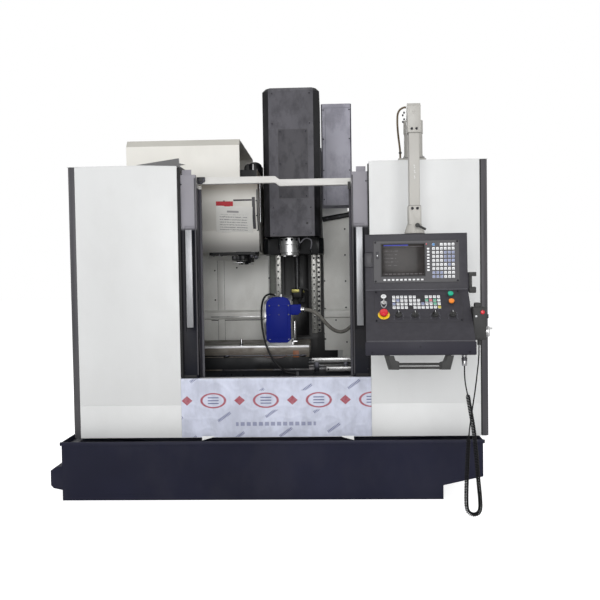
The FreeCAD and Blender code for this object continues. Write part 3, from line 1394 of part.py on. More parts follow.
# ---------------------------------------------------------------- build all
parts["base_casting"] = make_base_casting()
parts["levelling_feet"] = make_levelling_feet()
parts["column"] = make_column()
parts["guide_rails"] = make_guide_rails()
parts["chip_pan"] = make_chip_pan()
parts["front_panel_left"] = front_panel(opening_left, -(cabin_half - strip_width), -1)
parts["front_panel_right"] = front_panel(opening_right, cabin_half - strip_width, 1)
parts["corner_strips"] = make_corner_strips()
parts["side_panels"] = make_side_panels()
parts["front_apron"] = make_front_apron()
parts["door_frame"] = make_door_frame()
for name, edge, side, header in (("left", door_edge_left, -1, header_top_left),
                                 ("right", door_edge_right, 1, header_top_right)):
    parts[f"door_{name}"] = door(edge, side, header)
    parts[f"door_{name}_window"] = door_window(edge, side)
    parts[f"door_{name}_pull"] = door_pull(edge, side)
parts["inner_guards"] = group(inner_guard(-1), inner_guard(1))
parts["roof_panels"] = make_roof_panels()
parts["magazine_roof"] = make_magazine_roof()
parts["saddle"] = make_saddle()
parts["table_rails"] = make_table_rails()
parts["table"] = make_table()
parts["rotary_body"] = make_rotary_body()
parts["rotary_faceplate"] = make_rotary_faceplate()
parts["rotary_cover"] = make_rotary_cover()
parts["headstock"] = make_headstock()
parts["spindle"] = make_spindle()
parts["head_cover"] = make_head_cover()
parts["z_screw"] = make_z_screw()
parts["magazine_cover"] = make_magazine_cover()
parts["magazine_hatch"] = make_magazine_hatch()
parts["changer_drive"] = make_changer_drive()
parts["tool_disc"] = make_tool_disc()
parts["changer_arm"] = make_changer_arm()
parts["duct_housing"] = make_duct_housing()
parts["electrical_cabinet"] = make_electrical_cabinet()
parts["cabinet_door"] = make_cabinet_door()
parts["arm_post"] = make_arm_post()
parts["arm_boom"] = make_arm_boom()
parts["clamp_lever"] = make_clamp_lever()
parts["pendant_case"] = make_pendant_case()
parts["pendant_keys"] = make_pendant_keys()
parts["pendant_handle"] = make_pendant_handle()
parts["port_flap"] = make_port_flap()
parts["emergency_stop"] = control(estop_place, 24, 12, "mushroom")
parts["start_button"] = control(start_place, 15, 10)
parts["hold_button"] = control(hold_place, 15, 10)
parts["key_switch"] = control(lock_place, 14, 6, "key")
for number, s in enumerate(knob_places):
    parts[f"selector_knob_{number + 1}"] = control((s, knob_t), 17, 12, "pointer")
parts["handwheel_box"] = make_handwheel_box()
parts["handwheel_dial"] = make_handwheel_dial()
parts["rotary_conduit"] = tube(conduit_route, conduit_diameter, "rotary_conduit")
parts["wall_conduit"] = tube(wall_conduit_route, conduit_diameter, "wall_conduit")
parts["table_cable"] = tube(cable_route, cable_diameter, "table_cable")
parts["arm_bundle"] = tube(bundle_route, bundle_diameter, "arm_bundle")
parts["curly_cord"] = make_curly_cord()

cords = ("rotary_conduit", "wall_conduit", "table_cable", "arm_bundle", "curly_cord")
whole = Part.makeCompound([shape for name, shape in parts.items() if name not in cords]).BoundBox
shift = Vec(-(whole.XMin + whole.XMax) / 2, -(whole.YMin + whole.YMax) / 2, -whole.ZMin)
os.makedirs("parts", exist_ok=True)
for name, shape in parts.items():
    placed = shape.copy()
    placed.translate(shift)
    placed.exportStep(f"parts/{name}.step")
print(f"{len(parts)} pieces, moved by {shift.x:.3f}, {shift.y:.3f}, {shift.z:.3f}")
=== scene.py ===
"""Looks of a vertical machining centre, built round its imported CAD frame.

Everything is laid out in the machine's own millimetres: X runs to the right along the cabin's front, Y runs away from
the operator from the cabin's front face, Z runs up from the floor. ROW takes that layout into the frame's metres.
"""

from __future__ import annotations

import json
import logging
import math
from dataclasses import dataclass
from enum import Enum
from typing import Callable, Iterable, Sequence

import bmesh
import bpy
from mathutils import Matrix, Vector, noise

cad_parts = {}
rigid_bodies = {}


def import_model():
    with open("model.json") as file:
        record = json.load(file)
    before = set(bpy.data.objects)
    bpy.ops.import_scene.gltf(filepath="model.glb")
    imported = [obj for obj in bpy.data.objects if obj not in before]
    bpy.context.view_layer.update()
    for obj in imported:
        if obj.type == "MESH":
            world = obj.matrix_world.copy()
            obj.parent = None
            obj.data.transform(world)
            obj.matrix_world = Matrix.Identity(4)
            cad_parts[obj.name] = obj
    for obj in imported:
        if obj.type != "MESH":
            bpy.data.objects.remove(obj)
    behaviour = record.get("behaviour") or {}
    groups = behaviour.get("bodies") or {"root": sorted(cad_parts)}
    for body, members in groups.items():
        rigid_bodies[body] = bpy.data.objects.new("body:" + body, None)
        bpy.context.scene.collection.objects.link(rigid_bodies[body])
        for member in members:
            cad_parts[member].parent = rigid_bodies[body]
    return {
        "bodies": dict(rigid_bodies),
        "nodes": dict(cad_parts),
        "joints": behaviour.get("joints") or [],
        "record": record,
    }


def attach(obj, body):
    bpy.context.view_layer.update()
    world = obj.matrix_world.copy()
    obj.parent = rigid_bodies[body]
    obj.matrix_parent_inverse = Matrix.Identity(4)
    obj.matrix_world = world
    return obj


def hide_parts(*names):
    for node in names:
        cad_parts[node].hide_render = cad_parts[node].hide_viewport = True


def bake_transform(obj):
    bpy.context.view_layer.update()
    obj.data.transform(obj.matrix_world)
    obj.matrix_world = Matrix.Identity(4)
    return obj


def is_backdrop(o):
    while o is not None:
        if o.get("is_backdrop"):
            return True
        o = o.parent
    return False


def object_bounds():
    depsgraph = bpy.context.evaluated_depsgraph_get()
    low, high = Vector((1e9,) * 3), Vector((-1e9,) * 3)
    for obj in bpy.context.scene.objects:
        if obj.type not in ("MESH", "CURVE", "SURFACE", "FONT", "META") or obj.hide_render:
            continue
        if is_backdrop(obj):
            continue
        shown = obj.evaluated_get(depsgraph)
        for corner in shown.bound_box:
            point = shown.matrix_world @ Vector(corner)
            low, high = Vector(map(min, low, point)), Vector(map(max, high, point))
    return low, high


LOG = logging.getLogger("machining_centre")
Colour = tuple[float, float, float]
Point = Sequence[float]
SHIFT = Vector((64, -799.089, 0))
ROW = Matrix.Scale(0.001, 4) @ Matrix.Translation(SHIFT)
CABIN_HALF = 1300
MERGED_WITHIN = 0.001


# ---------------------------------------------------------------- shader maths
class Value:
    """A socket of a node tree; arithmetic on it adds Math nodes."""

    def __init__(self, tree: Shader, node: bpy.types.Node, output: int | str = 0) -> None:
        """Wraps one output of a node, where it has any."""
        self.tree, self.node = tree, node
        self.socket = node.outputs[output] if len(node.outputs) else None

    def out(self, name: str) -> Value:
        """Another output of the same node."""
        return Value(self.tree, self.node, name)

    def __add__(self, other: Value | float) -> Value:
        """Adds."""
        return self.tree.math("ADD", self, other)

    __radd__ = __add__

    def __sub__(self, other: Value | float) -> Value:
        """Subtracts."""
        return self.tree.math("SUBTRACT", self, other)

    def __rsub__(self, other: float) -> Value:
        """Subtracts this from a number."""
        return self.tree.math("SUBTRACT", other, self)

    def __mul__(self, other: Value | float) -> Value:
        """Multiplies."""
        return self.tree.math("MULTIPLY", self, other)

    __rmul__ = __mul__

    def __truediv__(self, other: Value | float) -> Value:
        """Divides."""
        return self.tree.math("DIVIDE", self, other)

    def __pow__(self, other: float) -> Value:
        """Raises to a power."""
        return self.tree.math("POWER", self, other)

    def __abs__(self) -> Value:
        """Drops the sign."""
        return self.tree.math("ABSOLUTE", self)

    def above(self, edge: float, soft: float) -> Value:
        """1 where the value is over an edge, 0 where it is under, with a soft step between.

        Args:
            edge: The middle of the step.
            soft: Half the step's width.

        Returns:
            The step.
        """
        return self.tree.add(
            "ShaderNodeMapRange", {"interpolation_type": "SMOOTHSTEP"}, {0: self, 1: edge - soft, 2: edge + soft})

    def below(self, edge: float, soft: float) -> Value:
        """1 under an edge and 0 over it."""
        return 1 - self.above(edge, soft)

    def within(self, low: float, high: float, soft: float) -> Value:
        """1 between two edges."""
        return self.above(low, soft) * self.below(high, soft)

    def wrapped(self, pitch: float) -> Value:
        """The value folded into -pitch/2 .. pitch/2, so that what is drawn with it repeats."""
        return self.tree.math("WRAP", self, pitch / 2, -pitch / 2)

    def largest(self, other: Value | float) -> Value:
        """The larger of two values."""
        return self.tree.math("MAXIMUM", self, other)


class Shader:
    """One material's node tree."""

    def __init__(self, name: str) -> None:
        """Starts an empty material."""
        self.material = bpy.data.materials.new(name)
        self.material.use_nodes = True
        self.tree = self.material.node_tree
        self.tree.nodes.clear()

    def add(self, kind: str, settings: dict | None = None, sockets: dict | None = None,
            output: int | str = 0) -> Value:
        """Adds a node.

        Args:
            kind: The node's type.
            settings: Its own settings, and a ramp's stops, which are set first.
            sockets: Values or links for its inputs, by index or name.
            output: The output that is wanted.

        Returns:
            The wanted output.
        """
        node = self.tree.nodes.new(kind)
        for name, value in (settings or {}).items():
            if name == "stops":
                ramp = node.color_ramp
                while len(ramp.elements) < len(value):
                    ramp.elements.new(1)
                for element, (place, colour) in zip(ramp.elements, value):
                    element.position, element.color = place, linear(colour)
            else:
                setattr(node, name, value)
        for key, value in (sockets or {}).items():
            if isinstance(value, Value):
                self.tree.links.new(value.socket, node.inputs[key])
            else:
                node.inputs[key].default_value = value
        return Value(self, node, output)

    def math(self, operation: str, *values: Value | float) -> Value:
        """A Math node on values or numbers."""
        return self.add("ShaderNodeMath", {"operation": operation}, dict(enumerate(values)))

    def place(self) -> tuple[Value, Value, Value]:
        """The surface's place in the machine's layout, in millimetres, as three values."""
        split = self.add("ShaderNodeSeparateXYZ", sockets={0: self.add("ShaderNodeTexCoord", output="Object")})
        return (split * 1000 - SHIFT.x, split.out("Y") * 1000 - SHIFT.y, split.out("Z") * 1000)

    def sheet(self) -> tuple[Value, Value]:
        """The piece's own grid, 0 to 1 across and up, as two values."""
        split = self.add("ShaderNodeSeparateXYZ", sockets={0: self.add("ShaderNodeUVMap", {"uv_map": "sheet"})})
        return split, split.out("Y")

    def noise(self, size: float, stretch: Point = (1, 1, 1), detail: float = 2, rough: float = 0.5,
              vector: Value | None = None) -> Value:
        """Cloudy variation.

        Args:
            size: How large its features are, in millimetres.
            stretch: A factor for each axis; a small one draws the features out along it.
            detail: How many finer layers it has.
            rough: How strong the finer layers are.
            vector: What it is laid over, or the surface's own place.

        Returns:
            The variation, about 0.5.
        """
        base = vector or self.add("ShaderNodeTexCoord", output="Object")
        moved = self.add("ShaderNodeMapping", {"vector_type": "POINT"}, {0: base, 3: tuple(stretch)})
        return self.add("ShaderNodeTexNoise", sockets={
            "Vector": moved, "Scale": 1000 / size, "Detail": detail, "Roughness": rough})

    def cells(self, size: float, stretch: Point = (1, 1, 1)) -> Value:
        """The distance to the nearest of scattered points, in cells of a size in millimetres."""
        moved = self.add("ShaderNodeMapping", sockets={
            0: self.add("ShaderNodeTexCoord", output="Object"), 3: tuple(stretch)})
        return self.add("ShaderNodeTexVoronoi", sockets={"Vector": moved, "Scale": 1000 / size})

    def mix(self, share: Value | float, first: Value | Colour, second: Value | Colour) -> Value:
        """Mixes two colours."""
        first, second = (c if isinstance(c, Value) else linear(c) for c in (first, second))
        return self.add("ShaderNodeMix", {"data_type": "RGBA"}, {0: share, 6: first, 7: second}, 2)

    def bump(self, height: Value, depth: float, strength: float = 1) -> Value:
        """A normal from a height of 0 to 1 that stands for a depth in millimetres."""
        return self.add("ShaderNodeBump", sockets={
            "Height": height, "Distance": depth / 1000, "Strength": strength})

    def surface(self, sockets: dict) -> bpy.types.Material:
        """Ends the tree in one principled surface.

        Args:
            sockets: The surface's inputs.

        Returns:
            The finished material.
        """
        shader = self.add("ShaderNodeBsdfPrincipled", sockets=sockets)
        self.add("ShaderNodeOutputMaterial", sockets={"Surface": shader})
        return self.material


def linear(colour: Colour) -> tuple[float, float, float, float]:
    """Screen values of 0 to 255 as linear light with full alpha."""
    shares = [c / 255 for c in colour]
    light = [c / 12.92 if c <= 0.04045 else ((c + 0.055) / 1.055) ** 2.4 for c in shares]
    return light[0], light[1], light[2], 1


def toned(colour: Colour, factor: float) -> Colour:
    """A lighter or darker tone of a colour."""
    return tuple(max(0, min(255, c * factor)) for c in colour)


# ---------------------------------------------------------------- finishes
@dataclass(frozen=True)
class Finish:
    """What a surface is made of."""

    name: str
    colour: Colour

    def material(self) -> bpy.types.Material:
        """The material, drawn once and shared by all that have this finish."""
        return bpy.data.materials.get(self.name) or self.draw(Shader(self.name))

    def draw(self, s: Shader) -> bpy.types.Material:
        """Draws the finish's nodes."""
        raise NotImplementedError


class Split(Enum):
    """How a second tone is set off on a painted piece: a second paint colour, or on some finishes painted shade or a
    painted reflection.
    """

    NONE = "none"
    ABOVE = "above"
    SIDES = "sides"
    LEFT = "left"
    BAND = "band"


@dataclass(frozen=True)
class Coat(Finish):
    """Sprayed paint: fine dimples, faint clouds and, on working surfaces, dust, runs and oil."""

    rough: float = 0.42
    mottle: float = 0.05
    peel: float = 2.2
    depth: float = 0.02
    soil: Colour = (120, 112, 100)
    soiled: float = 0
    gloss: float = 0
    split: Split = Split.NONE
    second: Colour = (0, 0, 0)
    edge: float = 0
    spread: float = 1
    middle: float = 0
    sheen: float = 0.3
    run: float = 260
    runny: float = 0.6
    drawn: float = 1

    def tone(self, s: Shader, tone: Value) -> Value:
        """Lays the second tone over the first, where the finish has one."""
        x, _, z = s.place()
        share = {
            Split.ABOVE: lambda: z.above(self.edge, self.spread),
            Split.SIDES: lambda: abs(x - self.middle).above(self.edge, self.spread),
            Split.LEFT: lambda: x.below(self.edge, self.spread),
            Split.BAND: lambda: z.within(self.edge, self.middle, self.spread),
        }[self.split]()
        return s.mix(share, tone, self.second)

    def draw(self, s: Shader) -> bpy.types.Material:
        """Draws the paint."""
        cloud = s.noise(700, (1, 1, self.drawn), 3)
        run = s.noise(self.run, (1, 1, self.runny), 5, 0.62)
        speck = s.noise(11, detail=4, rough=0.7)
        tone = s.mix(cloud.above(0.5, 0.22), toned(self.colour, 1 - self.mottle), toned(self.colour, 1 + self.mottle))
        if self.split is not Split.NONE:
            tone = self.tone(s, tone)
        dirt = run.above(0.54, 0.12) * (speck * 0.7 + 0.3)
        colour = s.mix(dirt * (self.soiled + 0.02), tone, self.soil)
        rough = cloud * 0.10 + run * 0.10 + (self.rough - 0.10) + dirt * 0.15
        normal = s.bump(s.noise(self.peel, detail=1) + speck * 0.15, self.depth)
        return s.surface({"Base Color": colour, "Roughness": rough, "Normal": normal, "Specular IOR Level": self.sheen,
                          "Coat Weight": self.gloss, "Coat Roughness": 0.12})


@dataclass(frozen=True)
class Steel(Finish):
    """Bare steel with the marks of drawing, grinding or turning, and old oil or rust where it works."""

    rough: float = 0.28
    stretch: Point = (1, 1, 1)
    mark: float = 1.6
    depth: float = 0.012
    stain: Colour = (86, 66, 50)
    stained: float = 0
    shine: float = 1

    def draw(self, s: Shader) -> bpy.types.Material:
        """Draws the steel."""
        marks = s.noise(self.mark, self.stretch, 3, 0.6)
        cloud = s.noise(90, detail=4, rough=0.6)
        spots = s.noise(22, detail=5, rough=0.65)
        tone = s.mix(marks.above(0.5, 0.25), toned(self.colour, 0.86), toned(self.colour, 1.06))
        film = (cloud.above(0.55, 0.14) * (spots * 0.8 + 0.2)) * self.stained
        colour = s.mix(film, tone, self.stain)
        rough = marks * 0.14 + cloud * 0.12 + (self.rough - 0.13) + film * 0.35
        return s.surface({"Base Color": colour, "Roughness": rough, "Metallic": self.shine - film * (self.shine * 0.75),
                          "Normal": s.bump(marks, self.depth)})


@dataclass(frozen=True)
class Casting(Finish):
    """A painted casting: coarse skin under thick paint, with dust in the hollows and worn high spots."""

    rough: float = 0.5
    grain: float = 14
    depth: float = 0.35
    oil: float = 0.25
    sheen: float = 0.25

    def draw(self, s: Shader) -> bpy.types.Material:
        """Draws the casting."""
        skin = s.noise(self.grain, detail=4, rough=0.55)
        pits = s.cells(9)
        film = s.noise(170, (1, 1, 0.4), 4, 0.6).above(0.54, 0.12)
        tone = s.mix(skin, toned(self.colour, 0.8), toned(self.colour, 1.22))
        colour = s.mix(film * self.oil, tone, toned(self.colour, 0.5))
        rough = skin * 0.2 + (self.rough - 0.1) - film * 0.22
        normal = s.bump(skin + pits * 0.2, self.depth, 0.6)
        return s.surface({"Base Color": colour, "Roughness": rough, "Normal": normal,
                          "Specular IOR Level": self.sheen})


@dataclass(frozen=True)
class Moulded(Finish):
    """Moulded plastic or a fine texture coat."""

    rough: float = 0.45
    grain: float = 0.9
    depth: float = 0.03
    worn: float = 0.05
    gloss: float = 0
    sheen: float = 0.3

    def draw(self, s: Shader) -> bpy.types.Material:
        """Draws the plastic."""
        grain = s.noise(self.grain, detail=2)
        touch = s.noise(38, detail=4, rough=0.6)
        colour = s.mix(touch.above(0.5, 0.25), toned(self.colour, 1 - self.worn), toned(self.colour, 1 + self.worn))
        rough = touch * 0.16 + grain * 0.08 + (self.rough - 0.12)
        return s.surface({"Base Color": colour, "Roughness": rough, "Normal": s.bump(grain, self.depth),
                          "Specular IOR Level": self.sheen, "Coat Weight": self.gloss, "Coat Roughness": 0.08})


@dataclass(frozen=True)
class Clear(Finish):
    """A clear pane, lightly hazed by wiping."""

    rough: float = 0.06

    def draw(self, s: Shader) -> bpy.types.Material:
        """Draws the pane."""
        haze = s.noise(60, (1, 1, 0.25), 5, 0.7)
        return s.surface({"Base Color": linear(self.colour), "Roughness": haze.above(0.5, 0.3) * 0.12 + self.rough,
                          "Transmission Weight": 1, "IOR": 1.2, "Normal": s.bump(haze, 0.01)})


@dataclass(frozen=True)
class Wrapping(Finish):
    """Protective film over the apron: milky, creased, with plain printed fields."""

    mark: Colour = (150, 14, 34)
    line: Colour = (92, 96, 132)

    def draw(self, s: Shader) -> bpy.types.Material:
        """Draws the film and its print."""
        x, _, z = s.place()
        crease = s.noise(85, (1, 1, 0.55), 5, 0.62)
        fine = s.noise(16, detail=3)
        tone = s.mix(crease.above(0.5, 0.2), toned(self.colour, 0.94), toned(self.colour, 1.06))
        along = (x + 410).wrapped(330)
        ring = ((along / 74) ** 2 + ((z - 596) / 44) ** 2) ** 0.5
        oval = abs(ring - 1).below(0.10, 0.04)
        beside = (x + 245).wrapped(330)
        wedge = (abs(beside) / 34 + abs(z - 596) / 30).below(1, 0.05)
        bars = abs((z - 596).wrapped(18)).below(3.2, 1.2) * abs(along).below(34, 2) * abs(z - 596).below(22, 2)
        slant = x * 0.82 + z * 0.57
        cross = z * 0.82 - x * 0.57
        dash = (abs(cross.wrapped(150)).below(9, 1.5) * abs(slant.wrapped(260)).below(46, 2)
                * abs(slant.wrapped(9)).below(2.8, 0.8) * abs(z - 596).above(60, 4))
        strip = z.within(436, 460, 1.5) * abs(x + 20).below(250, 2) * abs(x.wrapped(38)).below(13, 1.5)
        red = oval.largest(wedge) * (1 - fine * 0.35)
        blue = bars.largest(dash * 0.9).largest(strip * 0.6)
        colour = s.mix(blue, s.mix(red, tone, self.mark), self.line)
        normal = s.bump(crease + fine * 0.12, 1.1, 0.8)
        return s.surface({"Base Color": colour, "Roughness": crease * 0.2 + 0.22, "Normal": normal,
                          "Specular IOR Level": 0.22})


@dataclass(frozen=True)
class Notice(Finish):
    """A paper sheet with plain grey lines; its own grid runs 0 to 1 across and up."""

    line: Colour = (120, 118, 122)

    def draw(self, s: Shader) -> bpy.types.Material:
        """Draws the paper and its lines."""
        u, v = s.sheet()
        word = s.noise(5, detail=0).above(0.43, 0.03)
        rows = abs((v + 0.02).wrapped(0.085)).below(0.014, 0.006) * u.within(0.10, 0.86, 0.01) * v.within(0.22, 0.74,
                                                                                                          0.01)
        title = v.within(0.80, 0.86, 0.008) * u.within(0.30, 0.62, 0.01)
        box = v.within(0.07, 0.15, 0.008) * u.within(0.14, 0.40, 0.01)
        shade = s.noise(40, detail=3)
        paper = s.mix(shade, toned(self.colour, 0.93), self.colour)
        ink = (rows * word).largest(title * 0.9).largest(box * 0.4)
        return s.surface({"Base Color": s.mix(ink * 0.85, paper, self.line), "Roughness": 0.7,
                          "Normal": s.bump(shade, 0.3)})


@dataclass(frozen=True)
class Display(Finish):
    """The switched-on screen: near-black behind glass, with a plain title bar and blank fields."""

    def draw(self, s: Shader) -> bpy.types.Material:
        """Draws the screen's picture and glass."""
        u, v = s.sheet()
        haze = s.noise(70, detail=3)
        title = v.within(0.955, 0.985, 0.004) * u.within(0.05, 0.62, 0.01)
        rule = v.within(0.925, 0.932, 0.002) * u.within(0.03, 0.97, 0.01)
        rows = (abs((v - 0.10).wrapped(0.115)).below(0.012, 0.005) * u.within(0.07, 0.38, 0.01)
                * v.within(0.30, 0.86, 0.01) * s.noise(6, detail=0).above(0.5, 0.03))
        foot = v.within(0.04, 0.075, 0.004) * abs(u.wrapped(0.1)).below(0.038, 0.004) * u.within(0.03, 0.97, 0.01)
        ground = s.mix(haze.above(0.52, 0.2), self.colour, toned(self.colour, 1.35))
        colour = s.mix((rule * 0.5).largest(foot * 0.25).largest(rows * 0.18), ground, (150, 146, 150))
        colour = s.mix(title * 0.9, colour, (70, 76, 170))
        return s.surface({"Base Color": colour, "Roughness": haze * 0.1 + 0.25, "Coat Weight": 0.12,
                          "Coat Roughness": 0.1, "Specular IOR Level": 0.1, "Emission Color": colour,
                          "Emission Strength": 0.25})


@dataclass(frozen=True)
class Sheath(Finish):
    """The jacket of a cord, which follows the cord's own line where it has one."""

    rough: float = 0.45
    band: float = 0
    far: Colour = (0, 0, 0)

    def draw(self, s: Shader) -> bpy.types.Material:
        """Draws the jacket."""
        scuff = s.noise(24, detail=4, rough=0.65)
        grain = s.noise(1.1, detail=2)
        tone = s.mix(scuff.above(0.5, 0.2), toned(self.colour, 0.85), toned(self.colour, 1.15))
        if self.band:
            tone = s.mix(s.sheet()[1].above(self.band, 0.10), tone, self.far)
        return s.surface({"Base Color": tone, "Roughness": scuff * 0.2 + (self.rough - 0.1),
                          "Specular IOR Level": 0.2, "Normal": s.bump(grain, 0.03)})


# ---------------------------------------------------------------- modelling
Test = Callable[[Vector, Vector], bool]
Step = Callable[[], object]


def every(_middle: Vector, _way: Vector) -> bool:
    """Takes every face or edge."""
    return True


def select_all() -> None:
    """Selects the whole mesh in edit mode."""
    bpy.ops.mesh.select_all(action="SELECT")


def merge() -> None:
    """Merges the selected points that coincide."""
    bpy.ops.mesh.remove_doubles(threshold=MERGED_WITHIN)


def face_out() -> None:
    """Turns the selected faces outwards."""
    bpy.ops.mesh.normals_make_consistent(inside=False)


def shift(x: float, y: float, z: float) -> Matrix:
    """A move."""
    return Matrix.Translation((x, y, z))


def turned_by(degrees: float, axis: str = "Z") -> Matrix:
    """A turn about an axis through the origin."""
    return Matrix.Rotation(math.radians(degrees), 4, axis)


@dataclass(frozen=True)
class Plane:
    """A flat side of the machine: across it, down along it, and out of it."""

    corner: Point
    across: Point = (1, 0, 0)
    along: Point = (0, 0, -1)
    turned: float = 0

    def at(self, across: float, along: float, rise: float = 0, turn: float = 0) -> Matrix:
        """The place of something drawn flat that stands on this side.

        Args:
            across: How far across the side, from its corner.
            along: How far along the side, from its corner.
            rise: How far proud of it.
            turn: The turn on the side, in degrees.

        Returns:
            The matrix that takes it there.
        """
        side, run = Vector(self.across).normalized(), Vector(self.along).normalized()
        frame = Matrix((side, -run, run.cross(side))).transposed().to_4x4()
        frame.translation = Vector(self.corner)
        if self.turned:
            frame = HANG @ frame
        return frame @ shift(across, -along, rise) @ turned_by(turn)


HANG = shift(810, -350, 0) @ turned_by(-3)
FRONT = Plane((0, 0, 0))
RIGHT = Plane((CABIN_HALF, 0, 0), across=(0, 1, 0))
LEFT = Plane((-CABIN_HALF, 0, 0), across=(0, -1, 0))
SCREEN_SIDE = Plane((0, -95, 1592), along=(0, -21, -311), turned=1)
KEY_SIDE = Plane((0, -116, 1281), along=(0, -272, -261), turned=1)


def front(x: float, z: float, y: float = 0, turn: float = 0) -> Matrix:
    """A place on a plane that faces the operator: at x and z, y back from the cabin's front face."""
    return FRONT.at(x, -z, -y, turn)


def alone(obj: bpy.types.Object) -> None:
    """Selects one object and makes it the active one."""
    bpy.ops.object.select_all(action="DESELECT")
    obj.select_set(True)
    bpy.context.view_layer.objects.active = obj


def placed(name: str, data: bpy.types.ID) -> bpy.types.Object:
    """A new object in the scene."""
    obj = bpy.data.objects.new(name, data)
    bpy.context.collection.objects.link(obj)
    return obj


def smooth_line(name: str, places: Sequence[Point]) -> bpy.types.Object:
    """An open NURBS curve with the places as its control points."""
    curve = bpy.data.curves.new(name, "CURVE")
    curve.dimensions = "3D"
    spline = curve.splines.new("NURBS")
    spline.points.add(len(places) - 1)
    for knot, place in zip(spline.points, places):
        knot.co = (*place, 1)
    spline.order_u, spline.use_endpoint_u = 3, True
    return placed(name, curve)


